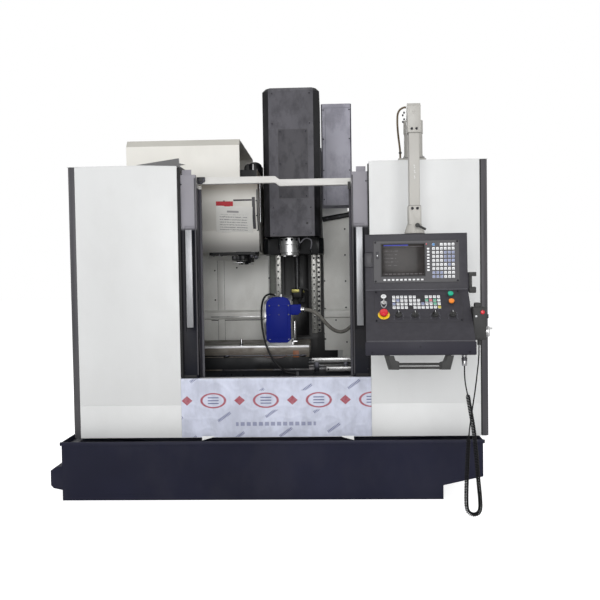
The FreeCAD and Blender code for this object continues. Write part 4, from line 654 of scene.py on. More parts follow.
class Piece:
    """A mesh being modelled, in the machine's millimetres or lying flat with Z out."""

    def __init__(self, obj: bpy.types.Object) -> None:
        """Takes an object over."""
        self.obj = obj

    @classmethod
    def taken(cls, name: str) -> Piece:
        """Takes over the primitive just added, with its size in its mesh."""
        obj = bpy.context.active_object
        obj.name = name
        alone(obj)
        bpy.ops.object.transform_apply(location=True, rotation=True, scale=True)
        return cls(obj)

    @classmethod
    def block(cls, name: str, low: Point, high: Point) -> Piece:
        """A box between two corners."""
        middle = [(a + b) / 2 for a, b in zip(low, high)]
        size = [b - a for a, b in zip(low, high)]
        bpy.ops.mesh.primitive_cube_add(size=1, location=middle, scale=size)
        return cls.taken(name)

    @classmethod
    def slab(cls, name: str, wide: float, tall: float, high: float, corner: float = 0, rim: float = 0) -> Piece:
        """A flat plate that lies on Z = 0, with rounded corners and a bevelled upper rim."""
        piece = cls.block(name, (-wide / 2, -tall / 2, 0), (wide / 2, tall / 2, high))
        if corner:
            piece.edges(lambda m, w: abs(w.z) > 0.9, lambda: bpy.ops.mesh.bevel(offset=corner, segments=4))
        return piece.rimmed(high, rim)

    @classmethod
    def disc(cls, name: str, radius: float, high: float, sides: int = 24, rim: float = 0, top: float = 0) -> Piece:
        """A round or many-sided stub that stands on Z = 0, narrowed at the top where a top radius is given."""
        bpy.ops.mesh.primitive_cone_add(vertices=sides, radius1=radius, radius2=top or radius, depth=high,
                                        location=(0, 0, high / 2))
        piece = cls.taken(name)
        return piece.rimmed(high, rim)

    @classmethod
    def bar(cls, name: str, start: Point, end: Point, radius: float, sides: int = 16) -> Piece:
        """A round bar between two points."""
        run = Vector(end) - Vector(start)
        bpy.ops.mesh.primitive_cylinder_add(vertices=sides, radius=radius, depth=run.length,
                                            location=(0, 0, run.length / 2))
        piece = cls.taken(name)
        turn = Vector((0, 0, 1)).rotation_difference(run.normalized()).to_matrix().to_4x4()
        return piece.put(Matrix.Translation(Vector(start)) @ turn)

    @classmethod
    def turned(cls, name: str, profile: Sequence[tuple[float, float]], steps: int = 24) -> Piece:
        """A body of revolution about Z.

        Args:
            name: Its name.
            profile: Radius and height of each point; the first and last lie on the axis.
            steps: The number of steps round.

        Returns:
            The closed body.
        """
        mesh = bpy.data.meshes.new(name)
        points = [(r, 0, z) for r, z in profile]
        mesh.from_pydata(points, [(i, i + 1) for i in range(len(points) - 1)], [])
        return cls(placed(name, mesh)).edges(
            every, lambda: bpy.ops.mesh.spin(steps=steps, angle=math.tau, center=(0, 0, 0),
                                             axis=(0, 0, 1)), select_all, merge, face_out)

    @classmethod
    def cut_out(cls, name: str, points: Sequence[tuple[float, float]], high: float) -> Piece:
        """A flat outline on Z = 0, pushed up into a plate."""
        mesh = bpy.data.meshes.new(name)
        mesh.from_pydata([(x, y, 0) for x, y in points], [], [tuple(range(len(points)))])
        return cls(placed(name, mesh)).faces(
            every, lambda: bpy.ops.mesh.extrude_region_move(TRANSFORM_OT_translate={"value": (0, 0, high)}),
            select_all, face_out)

    @classmethod
    def sheet(cls, name: str, wide: float, tall: float, across: int, up: int) -> Piece:
        """A flat grid on Z = 0 for a thin sheet that is bent later."""
        bpy.ops.mesh.primitive_grid_add(x_subdivisions=across, y_subdivisions=up, size=1)
        bpy.context.active_object.scale = (wide, tall, 1)
        return cls.taken(name)

    @classmethod
    def ring(cls, name: str, wide: float, tall: float, band: float, high: float, corner: float = 0) -> Piece:
        """A flat frame that lies on Z = 0, its band inside the given outline."""
        bpy.ops.mesh.primitive_plane_add(size=1)
        bpy.context.active_object.scale = (wide, tall, 1)
        piece = cls.taken(name)
        if corner:
            piece.edges(every, select_all,
                        lambda: bpy.ops.mesh.bevel(offset=corner, segments=4, affect="VERTICES"))
        piece.faces(every, lambda: bpy.ops.mesh.inset(thickness=band, use_even_offset=True),
                    lambda: bpy.ops.mesh.delete(type="FACE"))
        return piece.modified("SOLIDIFY", thickness=high, offset=1)

    @classmethod
    def pipe(cls, name: str, points: Sequence[Point], radius: float, sides: int = 3) -> Piece:
        """A fixed bent pipe along a smooth line of points."""
        obj = smooth_line(name, points)
        obj.data.bevel_depth, obj.data.bevel_resolution, obj.data.use_fill_caps = radius, sides, True
        alone(obj)
        bpy.ops.object.convert(target="MESH")
        return cls(bpy.context.active_object).edges(every, select_all, merge, face_out)

    def pick(self, kind: str, test: Test, steps: Sequence[Step]) -> Piece:
        """Runs edit-mode operators on the faces or edges that pass a test.

        Args:
            kind: FACE or EDGE.
            test: Says from the middle and the normal or direction whether one is taken.
            steps: The operators to run, in order.

        Returns:
            This piece.
        """
        alone(self.obj)
        bpy.ops.object.mode_set(mode="EDIT")
        bpy.ops.mesh.select_mode(type=kind)
        bpy.ops.mesh.select_all(action="DESELECT")
        mesh = bmesh.from_edit_mesh(self.obj.data)
        if kind == "FACE":
            for face in mesh.faces:
                face.select_set(test(face.calc_center_median(), face.normal))
        else:
            for edge in mesh.edges:
                ends = [v.co for v in edge.verts]
                edge.select_set(test((ends[0] + ends[1]) / 2, (ends[1] - ends[0]).normalized()))
        bmesh.update_edit_mesh(self.obj.data)
        for step in steps:
            step()
        bpy.ops.object.mode_set(mode="OBJECT")
        return self

    def faces(self, test: Test, *steps: Step) -> Piece:
        """Runs operators on chosen faces."""
        return self.pick("FACE", test, steps)

    def edges(self, test: Test, *steps: Step) -> Piece:
        """Runs operators on chosen edges."""
        return self.pick("EDGE", test, steps)

    def sunk(self, test: Test, inset: float, depth: float) -> Piece:
        """Insets the chosen faces and pushes them in, or out where the depth is below 0."""
        def push() -> None:
            """Moves the inset faces along their own normal."""
            bpy.ops.mesh.inset(thickness=inset, depth=0, use_even_offset=True)
            bpy.ops.mesh.extrude_region_shrink_fatten(TRANSFORM_OT_shrink_fatten={"value": -depth})
        return self.faces(test, push)

    def rimmed(self, high: float, rim: float) -> Piece:
        """Bevels the upper rim of a piece of a height, where it has one."""
        if rim:
            self.edges(lambda m, w: m.z > high - 0.01 and abs(w.z) < 0.1,
                       lambda: bpy.ops.mesh.bevel(offset=rim, segments=2))
        return self

    def modified(self, kind: str, **settings: object) -> Piece:
        """Adds a modifier and applies it."""
        alone(self.obj)
        modifier = self.obj.modifiers.new(kind.lower(), kind)
        for name, value in settings.items():
            setattr(modifier, name, value)
        bpy.ops.object.modifier_apply(modifier=modifier.name)
        return self

    def softened(self, width: float, segments: int = 2, angle: float = 30) -> Piece:
        """Breaks the sharp edges."""
        return self.modified("BEVEL", width=width, segments=segments, limit_method="ANGLE",
                             angle_limit=math.radians(angle), use_clamp_overlap=False)

    def smoothed(self, angle: float = 40) -> Piece:
        """Shades it smooth over the soft edges only."""
        alone(self.obj)
        bpy.ops.object.shade_smooth_by_angle(angle=math.radians(angle))
        return self

    def put(self, place: Matrix) -> Piece:
        """Moves its mesh to a place."""
        self.obj.data.transform(place)
        return self

    def moved(self, bend: Callable[[Vector], Point]) -> Piece:
        """Moves each of its points to where a function says."""
        for vertex in self.obj.data.vertices:
            vertex.co = Vector(bend(vertex.co))
        self.obj.data.update()
        return self

    def mapped(self) -> Piece:
        """Gives a flat piece its own grid, 0 to 1 across and up."""
        mesh = self.obj.data
        low = [min(v.co[i] for v in mesh.vertices) for i in (0, 1)]
        size = [max(v.co[i] for v in mesh.vertices) - low[i] for i in (0, 1)]
        grid = mesh.uv_layers.new(name="sheet")
        for loop in mesh.loops:
            place = mesh.vertices[loop.vertex_index].co
            grid.data[loop.index].uv = [(place[i] - low[i]) / size[i] for i in (0, 1)]
        return self

    def spread(self, places: Iterable[Matrix]) -> Piece:
        """Copies the mesh to each place; the copies stay one mesh."""
        whole = bmesh.new()
        for place in places:
            copy = self.obj.data.copy()
            copy.transform(place)
            whole.from_mesh(copy)
            bpy.data.meshes.remove(copy)
        whole.to_mesh(self.obj.data)
        whole.free()
        return self


class Bench:
    """The loaded frame, with what each node rides on and is finished in."""

    def __init__(self) -> None:
        """Loads the frame and keeps the size of its box."""
        self.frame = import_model()
        bpy.ops.object.select_all(action="DESELECT")
        self.cad_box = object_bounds()
        record = self.frame["record"]
        self.slot_of = {part["node"]: part["material_slot"] for part in record["subparts"]}
        self.body_of = {node: body for body, nodes in record["behaviour"]["bodies"].items() for node in nodes}

    def refined(self, node: str, finish: Finish, width: float = 1.2, segments: int = 2) -> bpy.types.Object:
        """A merged copy of a CAD node with broken edges, which stands for it.

        Args:
            node: The CAD node.
            finish: What it is finished in.
            width: How wide its edges are broken, in millimetres.
            segments: How many steps round each edge.

        Returns:
            The copy.
        """
        obj = placed(f"{node}_dressed", self.frame["nodes"][node].data.copy())
        piece = Piece(obj).put(ROW.inverted())
        piece.faces(every,
                    lambda: bpy.ops.mesh.remove_doubles(threshold=0.01),
                    lambda: bpy.ops.mesh.dissolve_limited(angle_limit=math.radians(0.3)))
        if width:
            piece.softened(width, segments)
        piece.smoothed(38)
        self.hang(piece, finish, node, (node,))
        return obj

    def hang(self, piece: Piece, finish: Finish | None, node: str, replaced: Sequence[str] = ()) -> None:
        """Finishes a piece, takes it to its place in the frame and lets it ride with a node.

        Args:
            piece: The piece, in the machine's millimetres.
            finish: Its finish, or None where it has its own already.
            node: The node whose body it rides with.
            replaced: The nodes that it stands for.
        """
        obj = piece.put(ROW).obj
        if finish:
            obj.data.materials.clear()
            obj.data.materials.append(finish.material())
        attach(obj, self.body_of[node])
        if replaced:
            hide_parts(*replaced)
        LOG.info("%s: %d faces on %s", obj.name, len(obj.data.polygons), self.body_of[node])


class Kit:
    """Small parts that are joined into one piece and ride with one node."""

    def __init__(self, bench: Bench, name: str, node: str) -> None:
        """Starts an empty kit."""
        self.bench, self.name, self.node = bench, name, node
        self.objects: list[bpy.types.Object] = []

    def add(self, piece: Piece, finish: Finish, smooth: float = 40) -> None:
        """Puts a finished part in."""
        piece.smoothed(smooth)
        piece.obj.data.materials.clear()
        piece.obj.data.materials.append(finish.material())
        self.objects.append(piece.obj)

    def close(self) -> bpy.types.Object:
        """Joins the parts and hangs them on their node's body."""
        bpy.ops.object.select_all(action="DESELECT")
        for obj in self.objects:
            obj.select_set(True)
        bpy.context.view_layer.objects.active = self.objects[0]
        if len(self.objects) > 1:
            bpy.ops.object.join()
        obj = bpy.context.view_layer.objects.active
        obj.name = self.name
        self.bench.hang(Piece(obj), None, self.node)
        return obj


# ---------------------------------------------------------------- fixings
class Head(Enum):
    """The kinds of screw head."""

    PAN = "pan"
    SOCKET = "socket"
    HEX = "hex"
    RIVET = "rivet"


def screw(name: str, radius: float, kind: Head = Head.PAN) -> Piece:
    """One screw head that stands on Z = 0.

    Args:
        name: Its name.
        radius: The head's radius.
        kind: The kind of head.

    Returns:
        The head.
    """
    if kind is Head.HEX:
        washer = Piece.disc(name, radius * 1.25, radius * 0.18, 16)
        nut = Piece.disc(f"{name}_flats", radius, radius * 0.8, 6, rim=radius * 0.12)
        return joined(washer, nut)
    high = {Head.PAN: 0.55, Head.SOCKET: 0.9, Head.RIVET: 0.4}[kind] * radius
    head = Piece.disc(name, radius, high, 12, rim=radius * {Head.PAN: 0.3, Head.SOCKET: 0.1, Head.RIVET: 0.35}[kind])
    if kind is Head.RIVET:
        return head
    return head.sunk(lambda m, w: w.z > 0.9, radius * {Head.PAN: 0.34, Head.SOCKET: 0.42}[kind], high * 0.6)


def joined(*pieces: Piece) -> Piece:
    """One piece out of several."""
    bpy.ops.object.select_all(action="DESELECT")
    for piece in pieces:
        piece.obj.select_set(True)
    bpy.context.view_layer.objects.active = pieces[0].obj
    bpy.ops.object.join()
    return pieces[0]


# ---------------------------------------------------------------- studio
@dataclass
class Studio:
    """The pale floor, soft light and the camera at the photograph's angle."""

    eye: Point = (0.3753, -5.3165, 1.3710)
    yaw: float = 0.0374
    pitch: float = -0.0338
    roll: float = 0.0152
    lens: float = 43.8
    fill: float = 0.46
    floor_half: float = 40
    floor_tone: Colour = (226, 226, 226)

    def build(self) -> None:
        """Sets all up."""
        self.set_camera()
        self.set_world()
        self.lay_floor()
        self.hang_lights()
        bpy.context.scene.view_settings.view_transform = "Standard"

    def set_camera(self) -> None:
        """Places the camera."""
        data = bpy.data.cameras.new("camera")
        data.lens, data.sensor_width, data.sensor_fit = self.lens, 36, "HORIZONTAL"
        data.clip_start, data.clip_end = 0.05, 200
        camera = placed("camera", data)
        turn = (Matrix.Rotation(self.yaw, 3, "Z") @ Matrix.Rotation(self.pitch, 3, "X")
                @ Matrix.Rotation(self.roll, 3, "Y"))
        right, ahead, up = turn.col[0], turn.col[1], turn.col[2]
        place = Matrix((right, up, -ahead)).transposed().to_4x4()
        place.translation = Vector(self.eye)
        camera.matrix_world = place
        bpy.context.scene.camera = camera

    def set_world(self) -> None:
        """White where it is seen, and an even pale light elsewhere."""
        world = bpy.data.worlds.new("studio")
        world.use_nodes = True
        tree = world.node_tree
        tree.nodes.clear()
        path = tree.nodes.new("ShaderNodeLightPath")
        both = tree.nodes.new("ShaderNodeMath")
        both.operation = "MAXIMUM"
        tree.links.new(path.outputs["Is Camera Ray"], both.inputs[0])
        tree.links.new(path.outputs["Is Transmission Ray"], both.inputs[1])
        light = tree.nodes.new("ShaderNodeBackground")
        light.inputs["Strength"].default_value = self.fill
        shown = tree.nodes.new("ShaderNodeBackground")
        mix = tree.nodes.new("ShaderNodeMixShader")
        tree.links.new(both.outputs[0], mix.inputs[0])
        tree.links.new(light.outputs[0], mix.inputs[1])
        tree.links.new(shown.outputs[0], mix.inputs[2])
        light.inputs["Color"].default_value = (1, 1, 1, 1)
        shown.inputs["Color"].default_value = (1, 1, 1, 1)
        output = tree.nodes.new("ShaderNodeOutputWorld")
        tree.links.new(mix.outputs[0], output.inputs["Surface"])
        bpy.context.scene.world = world

    def lay_floor(self) -> None:
        """A wide pale floor that shows nearly white and keeps the machine's shadow."""
        bpy.ops.mesh.primitive_plane_add(size=2 * self.floor_half, location=(0, 0, 0))
        floor = bpy.context.active_object
        floor.name = "floor"
        s = Shader("floor")
        matt = s.add("ShaderNodeBsdfDiffuse", sockets={"Color": linear(self.floor_tone)})
        glow = s.add("ShaderNodeEmission", sockets={"Color": (1, 1, 1, 1), "Strength": 0.78})
        seen = s.add("ShaderNodeLightPath", output="Is Camera Ray")
        both = s.add("ShaderNodeAddShader", sockets={0: matt, 1: glow})
        s.add("ShaderNodeOutputMaterial", sockets={
            "Surface": s.add("ShaderNodeMixShader", sockets={0: seen, 1: matt, 2: both})})
        floor.data.materials.append(s.material)
        floor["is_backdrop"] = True

    def hang_lights(self) -> None:
        """Soft boxes: one wide in front and above, one from each side and one behind."""
        for name, place, aim, size, power in (
                ("front_box", (0.4, -10.5, 3), (0.1, 0, 1.1), 5, 610),
                ("left_box", (-5, -1.6, 3.2), (0, 0, 1.2), 3, 40),
                ("right_box", (5.2, -1, 3.4), (0, 0, 1.2), 3, 40),
                ("top_box", (0, 0.3, 6), (0, 0.3, 0), 4, 42),
                ("rear_box", (-1, 7, 3), (0, 0, 1.2), 4, 150)):
            data = bpy.data.lights.new(name, "AREA")
            data.shape, data.size, data.energy = "SQUARE", size, power
            lamp = placed(name, data)
            way = Vector(aim) - Vector(place)
            lamp.rotation_euler = way.to_track_quat("-Z", "Y").to_euler()
            lamp.location = place


# ---------------------------------------------------------------- cords
@dataclass
class Cords:
    """The machine's free cords, each on the route of its solid."""

    coil_radius: float = 9
    coil_turns: int = 130
    coil_steps: int = 8
    lead: float = 7

    conduit_route: Sequence[Point] = (
        (127, 556, 1133), (195, 556, 1133), (256, 574, 1088), (306, 602, 1024), (360, 632, 975),
        (422, 662, 962), (482, 682, 1004), (540, 694, 1062), (608, 699, 1103), (686, 702, 1127),
        (770, 703, 1137), (852, 702, 1136), (930, 700, 1128), (1006, 700, 1118))
    wall_route: Sequence[Point] = (
        (1006, 700, 1118), (1051.6, 700, 1112), (1098, 702, 1108), (1145, 704, 1110), (1190, 705, 1118),
        (1236, 705, 1130), (1277, 705, 1130))
    cable_route: Sequence[Point] = (
        (-60, 654, 1232), (-60, 620, 1232), (-84, 588, 1244), (-117, 562, 1236), (-136, 542, 1206),
        (-143, 516, 1160), (-144, 500, 1110), (-142, 490, 1056), (-137, 486, 1002), (-128, 484, 950),
        (-115, 482, 900), (-98, 480, 852), (-76, 477, 808), (-47, 473, 770), (-8, 473, 729), (40, 480, 697),
        (88, 480, 697))
    bundle_route: Sequence[Point] = (
        (846, 14, 2326), (846, 14, 2374), (804, 27, 2399), (761, 40, 2373), (758, 47, 2310), (762, 52, 2244),
        (770, 56, 2178), (776, 58, 2131), (776, 58, 2087))
    curl_route: Sequence[Point] = (
        (1053, -690, 640), (1067, -690, 555), (1076, -690, 465), (1084, -691, 370), (1090, -690, 275),
        (1099, -689, 188), (1101, -686, 112), (1066, -680, 92), (1031, -674, 112), (1030, -670, 188),
        (1033, -668, 270), (1037, -666, 352))

    def build(self, bench: Bench) -> None:
        """Lays all cords."""
        self.skinned("rotary_conduit", self.conduit_route, 26, CONDUIT, 6)
        self.skinned("wall_conduit", self.wall_route, 26, SLEEVE, 6)
        self.skinned("table_cable", self.cable_route, 14, CABLE)
        self.skinned("arm_bundle", self.bundle_route, 12, TAN_SLEEVE)
        self.curly(bench)

    @staticmethod
    def line(points: Iterable[Point], name: str) -> bpy.types.Object:
        """An open NURBS curve with points, in millimetres, as its control points."""
        obj = smooth_line(name, [ROW @ Vector(point) for point in points])
        obj.data.resolution_u = 12
        return obj

    @staticmethod
    def read(curve: bpy.types.Object) -> list[Vector]:
        """Points along a curve, in metres."""
        depth, curve.data.bevel_depth = curve.data.bevel_depth, 0
        bpy.context.view_layer.update()
        mesh = bpy.data.meshes.new_from_object(curve)
        curve.data.bevel_depth = depth
        places = [v.co.copy() for v in mesh.vertices]
        bpy.data.meshes.remove(mesh)
        return places

    @staticmethod
    def length(places: Sequence[Vector]) -> float:
        """The length of a line of points."""
        return sum((b - a).length for a, b in zip(places, places[1:]))

    @staticmethod
    def even(places: Sequence[Vector], count: int) -> list[Vector]:
        """The same line with evenly spaced points."""
        marks = [0]
        for a, b in zip(places, places[1:]):
            marks.append(marks[-1] + (b - a).length)
        spaced, index = [], 0
        for number in range(count + 1):
            want = marks[-1] * number / count
            while index < len(marks) - 2 and marks[index + 1] < want:
                index += 1
            share = (want - marks[index]) / (marks[index + 1] - marks[index])
            spaced.append(places[index].lerp(places[index + 1], share))
        return spaced

    @staticmethod
    def frames(places: Sequence[Vector]) -> list[tuple[Vector, Vector]]:
        """Two directions square to the line at each of its points, which turn as little as they can."""
        side = Vector((0, 1, 0))
        pairs = []
        for number, _ in enumerate(places):
            ahead = (places[min(number + 1, len(places) - 1)] - places[max(number - 1, 0)]).normalized()
            side = (side - ahead * side.dot(ahead)).normalized()
            pairs.append((side.copy(), ahead.cross(side)))
        return pairs

    def skinned(self, node: str, route: Sequence[Point], diameter: float, finish: Finish,
                rib: float = 0) -> None:
        """A cord whose skin follows the route's spline.

        Args:
            node: The solid that it stands for.
            route: Its control points, in the machine's millimetres.
            diameter: Its diameter.
            finish: Its finish.
            rib: The pitch of its ribs, or nothing for a plain cord.
        """
        guide = self.line(route, f"{node}_line")
        places = self.read(guide)
        length = self.length(places)
        bpy.data.objects.remove(guide)
        steps = round(length * 1000 / rib) * 4 if rib else round(length * 1000 / 6)
        places = self.even(places, steps)
        sides, high = 16 if rib else 12, diameter / 2000
        low = high - 0.0015 if rib else high
        mesh = bmesh.new()
        rings = []
        for number, (place, (across, up)) in enumerate(zip(places, self.frames(places))):
            radius = high if number % 4 in (0, 1) else low
            rings.append([mesh.verts.new(place + (across * math.cos(a) + up * math.sin(a)) * radius)
                          for a in (math.tau * k / sides for k in range(sides))])
        grid = mesh.loops.layers.uv.new("sheet")
        for number, (first, second) in enumerate(zip(rings, rings[1:])):
            for k in range(sides):
                face = mesh.faces.new((first[k], first[(k + 1) % sides], second[(k + 1) % sides], second[k]))
                for loop, (u, v) in zip(face.loops,
                                        ((k, number), (k + 1, number), (k + 1, number + 1), (k, number + 1))):
                    loop[grid].uv = (u / sides, v / (len(rings) - 1))
        mesh.faces.new(list(reversed(rings[0])))
        mesh.faces.new(rings[-1])
        bmesh.ops.recalc_face_normals(mesh, faces=mesh.faces)
        data = bpy.data.meshes.new(f"{node}_cord")
        mesh.to_mesh(data)
        mesh.free()
        obj = placed(f"{node}_cord", data)
        Piece(obj).smoothed(50)
        data.materials.append(finish.material())
        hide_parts(node)
        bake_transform(obj)
        LOG.info("%s: %.0f mm", obj.name, length * 1000)

    def curly(self, bench: Bench) -> None:
        """The curly lead: a straight lead, the coil's curls wound round its own route, and a straight tail."""
        foot, relief = HANG @ Vector((228, -340, 888)), HANG @ Vector((318, -244, 986))
        lead = [foot, HANG @ Vector((228, -340, 844)), Vector((1024, -699, 792)), Vector((1036, -694, 738))]
        tail = [Vector(p) for p in ((1047, -658, 500), (1060, -648, 590), (1077, -637, 680), (1093, -627, 772),
                                    (1105, -619, 860))]
        tail += [HANG @ Vector((318, -244, 930)), relief]
        guide = self.line([lead[-1], *self.curl_route, tail[0]], "curl_line")
        back = ROW.inverted()
        count = self.coil_turns * self.coil_steps
        middles = [back @ place for place in self.even(self.read(guide), count)]
        bpy.data.objects.remove(guide)
        curls = []
        for number, (middle, (across, up)) in enumerate(zip(middles, self.frames(middles))):
            rise = min(1, min(number, count - number) / (1.5 * self.coil_steps))
            swing = self.coil_radius * rise * rise * (3 - 2 * rise)
            angle = math.tau * number / self.coil_steps
            curls.append(middle + (across * math.cos(angle) + up * math.sin(angle)) * swing * 1.04)
        cord = self.line(lead[:-1] + curls + tail[1:], "curly_cord_cord")
        cord.data.resolution_u = 2
        cord.data.bevel_depth, cord.data.bevel_resolution = self.lead / 2000, 2
        cord.data.use_fill_caps = True
        cord.data.materials.append(CURLED.material())
        length = self.length(self.read(cord))
        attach(cord, bench.body_of["curly_cord"])
        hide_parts("curly_cord")
        LOG.info("%s: %.0f mm of wire in %d curls", cord.name, length * 1000, self.coil_turns)


# ---------------------------------------------------------------- the machine's finishes
WHITE = Coat("cabin_white_coat", (214, 215, 215), rough=0.40, mottle=0.035, soiled=0.04, drawn=0.16)
STRIP = Coat("strip_dark_coat", (70, 69, 73), rough=0.42, mottle=0.05, soiled=0.08)
# DOOR: dark door paint; the lighter tone above Z 1672 is a painted reflection of the light on the doors' upper part
DOOR = Coat("door_dark_with_painted_reflection", (19, 20, 29), rough=0.44, mottle=0.06, split=Split.ABOVE, second=(146, 144, 151),
            edge=1672, spread=14, soiled=0.06, sheen=0.16)
PAN = Coat("pan_navy_coat", (31, 32, 48), rough=0.46, mottle=0.10, soiled=0.07, soil=(84, 82, 84), sheen=0.16)
GUARD = Coat("guard_grey_coat", (220, 220, 216), rough=0.36, mottle=0.05, soiled=0.22, gloss=0.08)
CREAM = Coat("cover_cream_coat", (220, 218, 212), rough=0.38, mottle=0.03, soiled=0.06)
# DRUM: cream paint; the darker tone above Z 1968 is the header's shadow painted on the drum's top
DRUM = Coat("drum_cream_with_painted_shadow", (216, 214, 208), rough=0.38, mottle=0.03, soiled=0.08, split=Split.ABOVE,
            second=(128, 121, 112), edge=1968, spread=60)
DUCT = Coat("duct_lavender_coat", (154, 153, 164), rough=0.40, mottle=0.08, soiled=0.8, soil=(104, 103, 112), run=150)
CASTING = Casting("casting_grey_paint", (32, 34, 38))
COLUMN = Casting("column_dark_paint", (24, 24, 25), grain=18)
HEAD_GREY = Coat("head_two_tone", (82, 81, 86), rough=0.44, mottle=0.13, split=Split.SIDES, second=(18, 18, 20),
                 edge=158, spread=0.8, middle=72, soiled=0.7, soil=(50, 49, 53), sheen=0.2, run=75, runny=0.6)
HEAD_PANEL = Coat("head_panel_coat", (70, 69, 73), rough=0.46, mottle=0.13, soiled=0.7, soil=(44, 43, 47), sheen=0.2,
                  run=65)
HEAD_BLACK = Casting("head_black_paint", (22, 23, 25), grain=10, depth=0.2, sheen=0.15)
DRIVE = Coat("drive_two_tone", (24, 25, 27), rough=0.45, split=Split.BAND, second=(176, 173, 164), edge=1549,
             middle=2060, sheen=0.2)
# SKIRT: pale above Z 1625 and darker below; painted shade for the drum curving under towards its bottom
SKIRT = Coat("drum_skirt_painted_shade_coat", (112, 111, 109), rough=0.42, mottle=0.03, split=Split.ABOVE,
             second=(202, 200, 195), edge=1625, spread=80, sheen=0.2)
FRAME_COAT = Coat("frame_two_tone", (56, 55, 64), rough=0.42, mottle=0.04, split=Split.ABOVE, second=(204, 203, 200),
                  edge=1934, spread=0.6, soiled=0.10)
GROUND = Steel("ground_rail_steel", (164, 164, 160), rough=0.26, stretch=(1, 1, 0.05), stained=0.15, shine=0.5)
GROUND_X = Steel("ground_slide_steel", (170, 170, 170), rough=0.26, stretch=(0.05, 1, 1), stained=0.25,
                 shine=0.5)
TURNED = Steel("turned_steel", (176, 176, 176), rough=0.26)
TABLE_TOP = Steel("table_ground_iron", (100, 95, 88), rough=0.38, stretch=(0.05, 1, 1), stained=0.8,
                  stain=(66, 52, 40), shine=0.3)
# a much paler copy of the table's iron: painted highlight on the table's lip and front land
TABLE_HIGHLIGHT = Steel("table_highlight_iron", (206, 206, 208), rough=0.34, stretch=(0.05, 1, 1), stained=0.25,
                  stain=(120, 106, 92), shine=0.3)
PULL = Steel("pull_brushed_steel", (146, 147, 150), rough=0.36, stretch=(1, 1, 0.03), mark=1.2, shine=0.55)
PLATED = Steel("plated_fastener", (176, 176, 178), rough=0.24, mark=0.8, stained=0.1)
BLACKED = Steel("blacked_fastener", (48, 48, 52), rough=0.36, mark=0.8)
BRASS = Steel("brass_fitting", (146, 140, 76), rough=0.4, mark=0.9, shine=0.6)
BLUE = Coat("cover_blue_coat", (15, 30, 122), rough=0.5, mottle=0.05, soiled=0.02, sheen=0.08)
GLASS = Clear("window_clear", (214, 222, 226))
ARM = Coat("arm_grey_coat", (174, 172, 167), rough=0.36, mottle=0.03, soiled=0.05)
PENDANT = Moulded("pendant_textured_coat", (60, 59, 64), rough=0.5, grain=1.6, depth=0.05, sheen=0.2)
PENDANT_TRIM = Moulded("pendant_trim", (52, 51, 56), rough=0.42, grain=1.2)
RUST = Casting("rust_patch", (122, 72, 40), grain=6, depth=0.1)
LABEL_RED = Moulded("label_red", (176, 42, 52), rough=0.5)
LAMP_RED = Moulded("lamp_red", (200, 40, 60), rough=0.3, gloss=0.4)
BUTTON_BLUE = Moulded("button_blue", (80, 132, 186), rough=0.35)
MARK_GREY = Moulded("mark_grey", (118, 120, 128), rough=0.5)
EDGE_LIGHT = Moulded("edge_light", (104, 103, 109), rough=0.45)
SHIELD = Moulded("lock_shield_grey", (164, 165, 166), rough=0.35)
ARM_DARK = Coat("arm_shadow_coat", (128, 126, 122), rough=0.4)
DUCT_LINE = Coat("duct_line_coat", (112, 111, 121), rough=0.42)
PINK_TUBE = Moulded("pale_tube", (112, 94, 92), rough=0.4)
KEY = Moulded("key_white", (178, 179, 184), rough=0.38, gloss=0.05)
KEY_BLUE = Moulded("key_blue", (146, 154, 186), rough=0.38)
KEY_GREEN = Moulded("key_green", (112, 184, 154), rough=0.38)
KEY_RED = Moulded("key_red", (214, 120, 130), rough=0.38)
KEY_YELLOW = Moulded("key_yellow", (204, 194, 84), rough=0.38)
BLACK = Moulded("black_plastic", (16, 16, 18), rough=0.45, sheen=0.2)
RUBBER = Moulded("black_rubber", (30, 30, 31), rough=0.62, grain=0.7, depth=0.06)
WHITE_MARK = Moulded("white_mark", (225, 226, 228), rough=0.5)
RED_GLOSS = Moulded("stop_red", (196, 28, 30), rough=0.28, grain=0.6, depth=0.01, gloss=0.5)
YELLOW_GLOSS = Moulded("ring_yellow", (236, 196, 40), rough=0.3, grain=0.6, depth=0.01, gloss=0.3)
GREEN_GLOSS = Moulded("start_green", (24, 88, 64), rough=0.34, grain=0.6, depth=0.01, gloss=0.2)
ORANGE_GLOSS = Moulded("hold_orange", (204, 98, 42), rough=0.34, grain=0.6, depth=0.01, gloss=0.2)
CONDUIT = Sheath("conduit_sheath", (106, 104, 99), band=0.62, far=(36, 36, 38))
SLEEVE = Sheath("sleeve_dark", (40, 40, 43))
CABLE = Sheath("cable_sheath", (26, 26, 28))
TAN_SLEEVE = Sheath("bundle_sleeve", (96, 84, 68), rough=0.6)
CURLED = Sheath("curly_sheath", (15, 15, 17), rough=0.5)
FILM = Wrapping("apron_film", (190, 194, 210))
PAPER = Notice("notice_paper", (226, 225, 221))
SCREEN = Display("screen_picture", (30, 27, 26))
ROOF_DARK = Coat("roof_shadow_coat", (100, 100, 101), rough=0.45, mottle=0.05)
COLUMN_STRIP = Casting("column_strip_paint", (98, 101, 95), grain=10, depth=0.2)
LIP_NAVY = Coat("lip_navy_coat", (44, 43, 52), rough=0.46, mottle=0.06, sheen=0.15)
BEZEL = Moulded("bezel_plate", (66, 65, 68), rough=0.42, grain=1, sheen=0.25)
DARK_RAIL = Steel("shaded_rail_steel", (78, 78, 81), rough=0.32, stretch=(0.05, 1, 1), stained=0.3, shine=0.4)
SCREW_STEEL = Steel("feed_screw_steel", (70, 70, 72), rough=0.36, shine=0.35)
# a darker tone of the hood's cream: painted shade on the hood's sloping face
HOOD_SLOPE_SHADE = Coat("hood_slope_shade_coat", (180, 178, 171), rough=0.4, mottle=0.03)


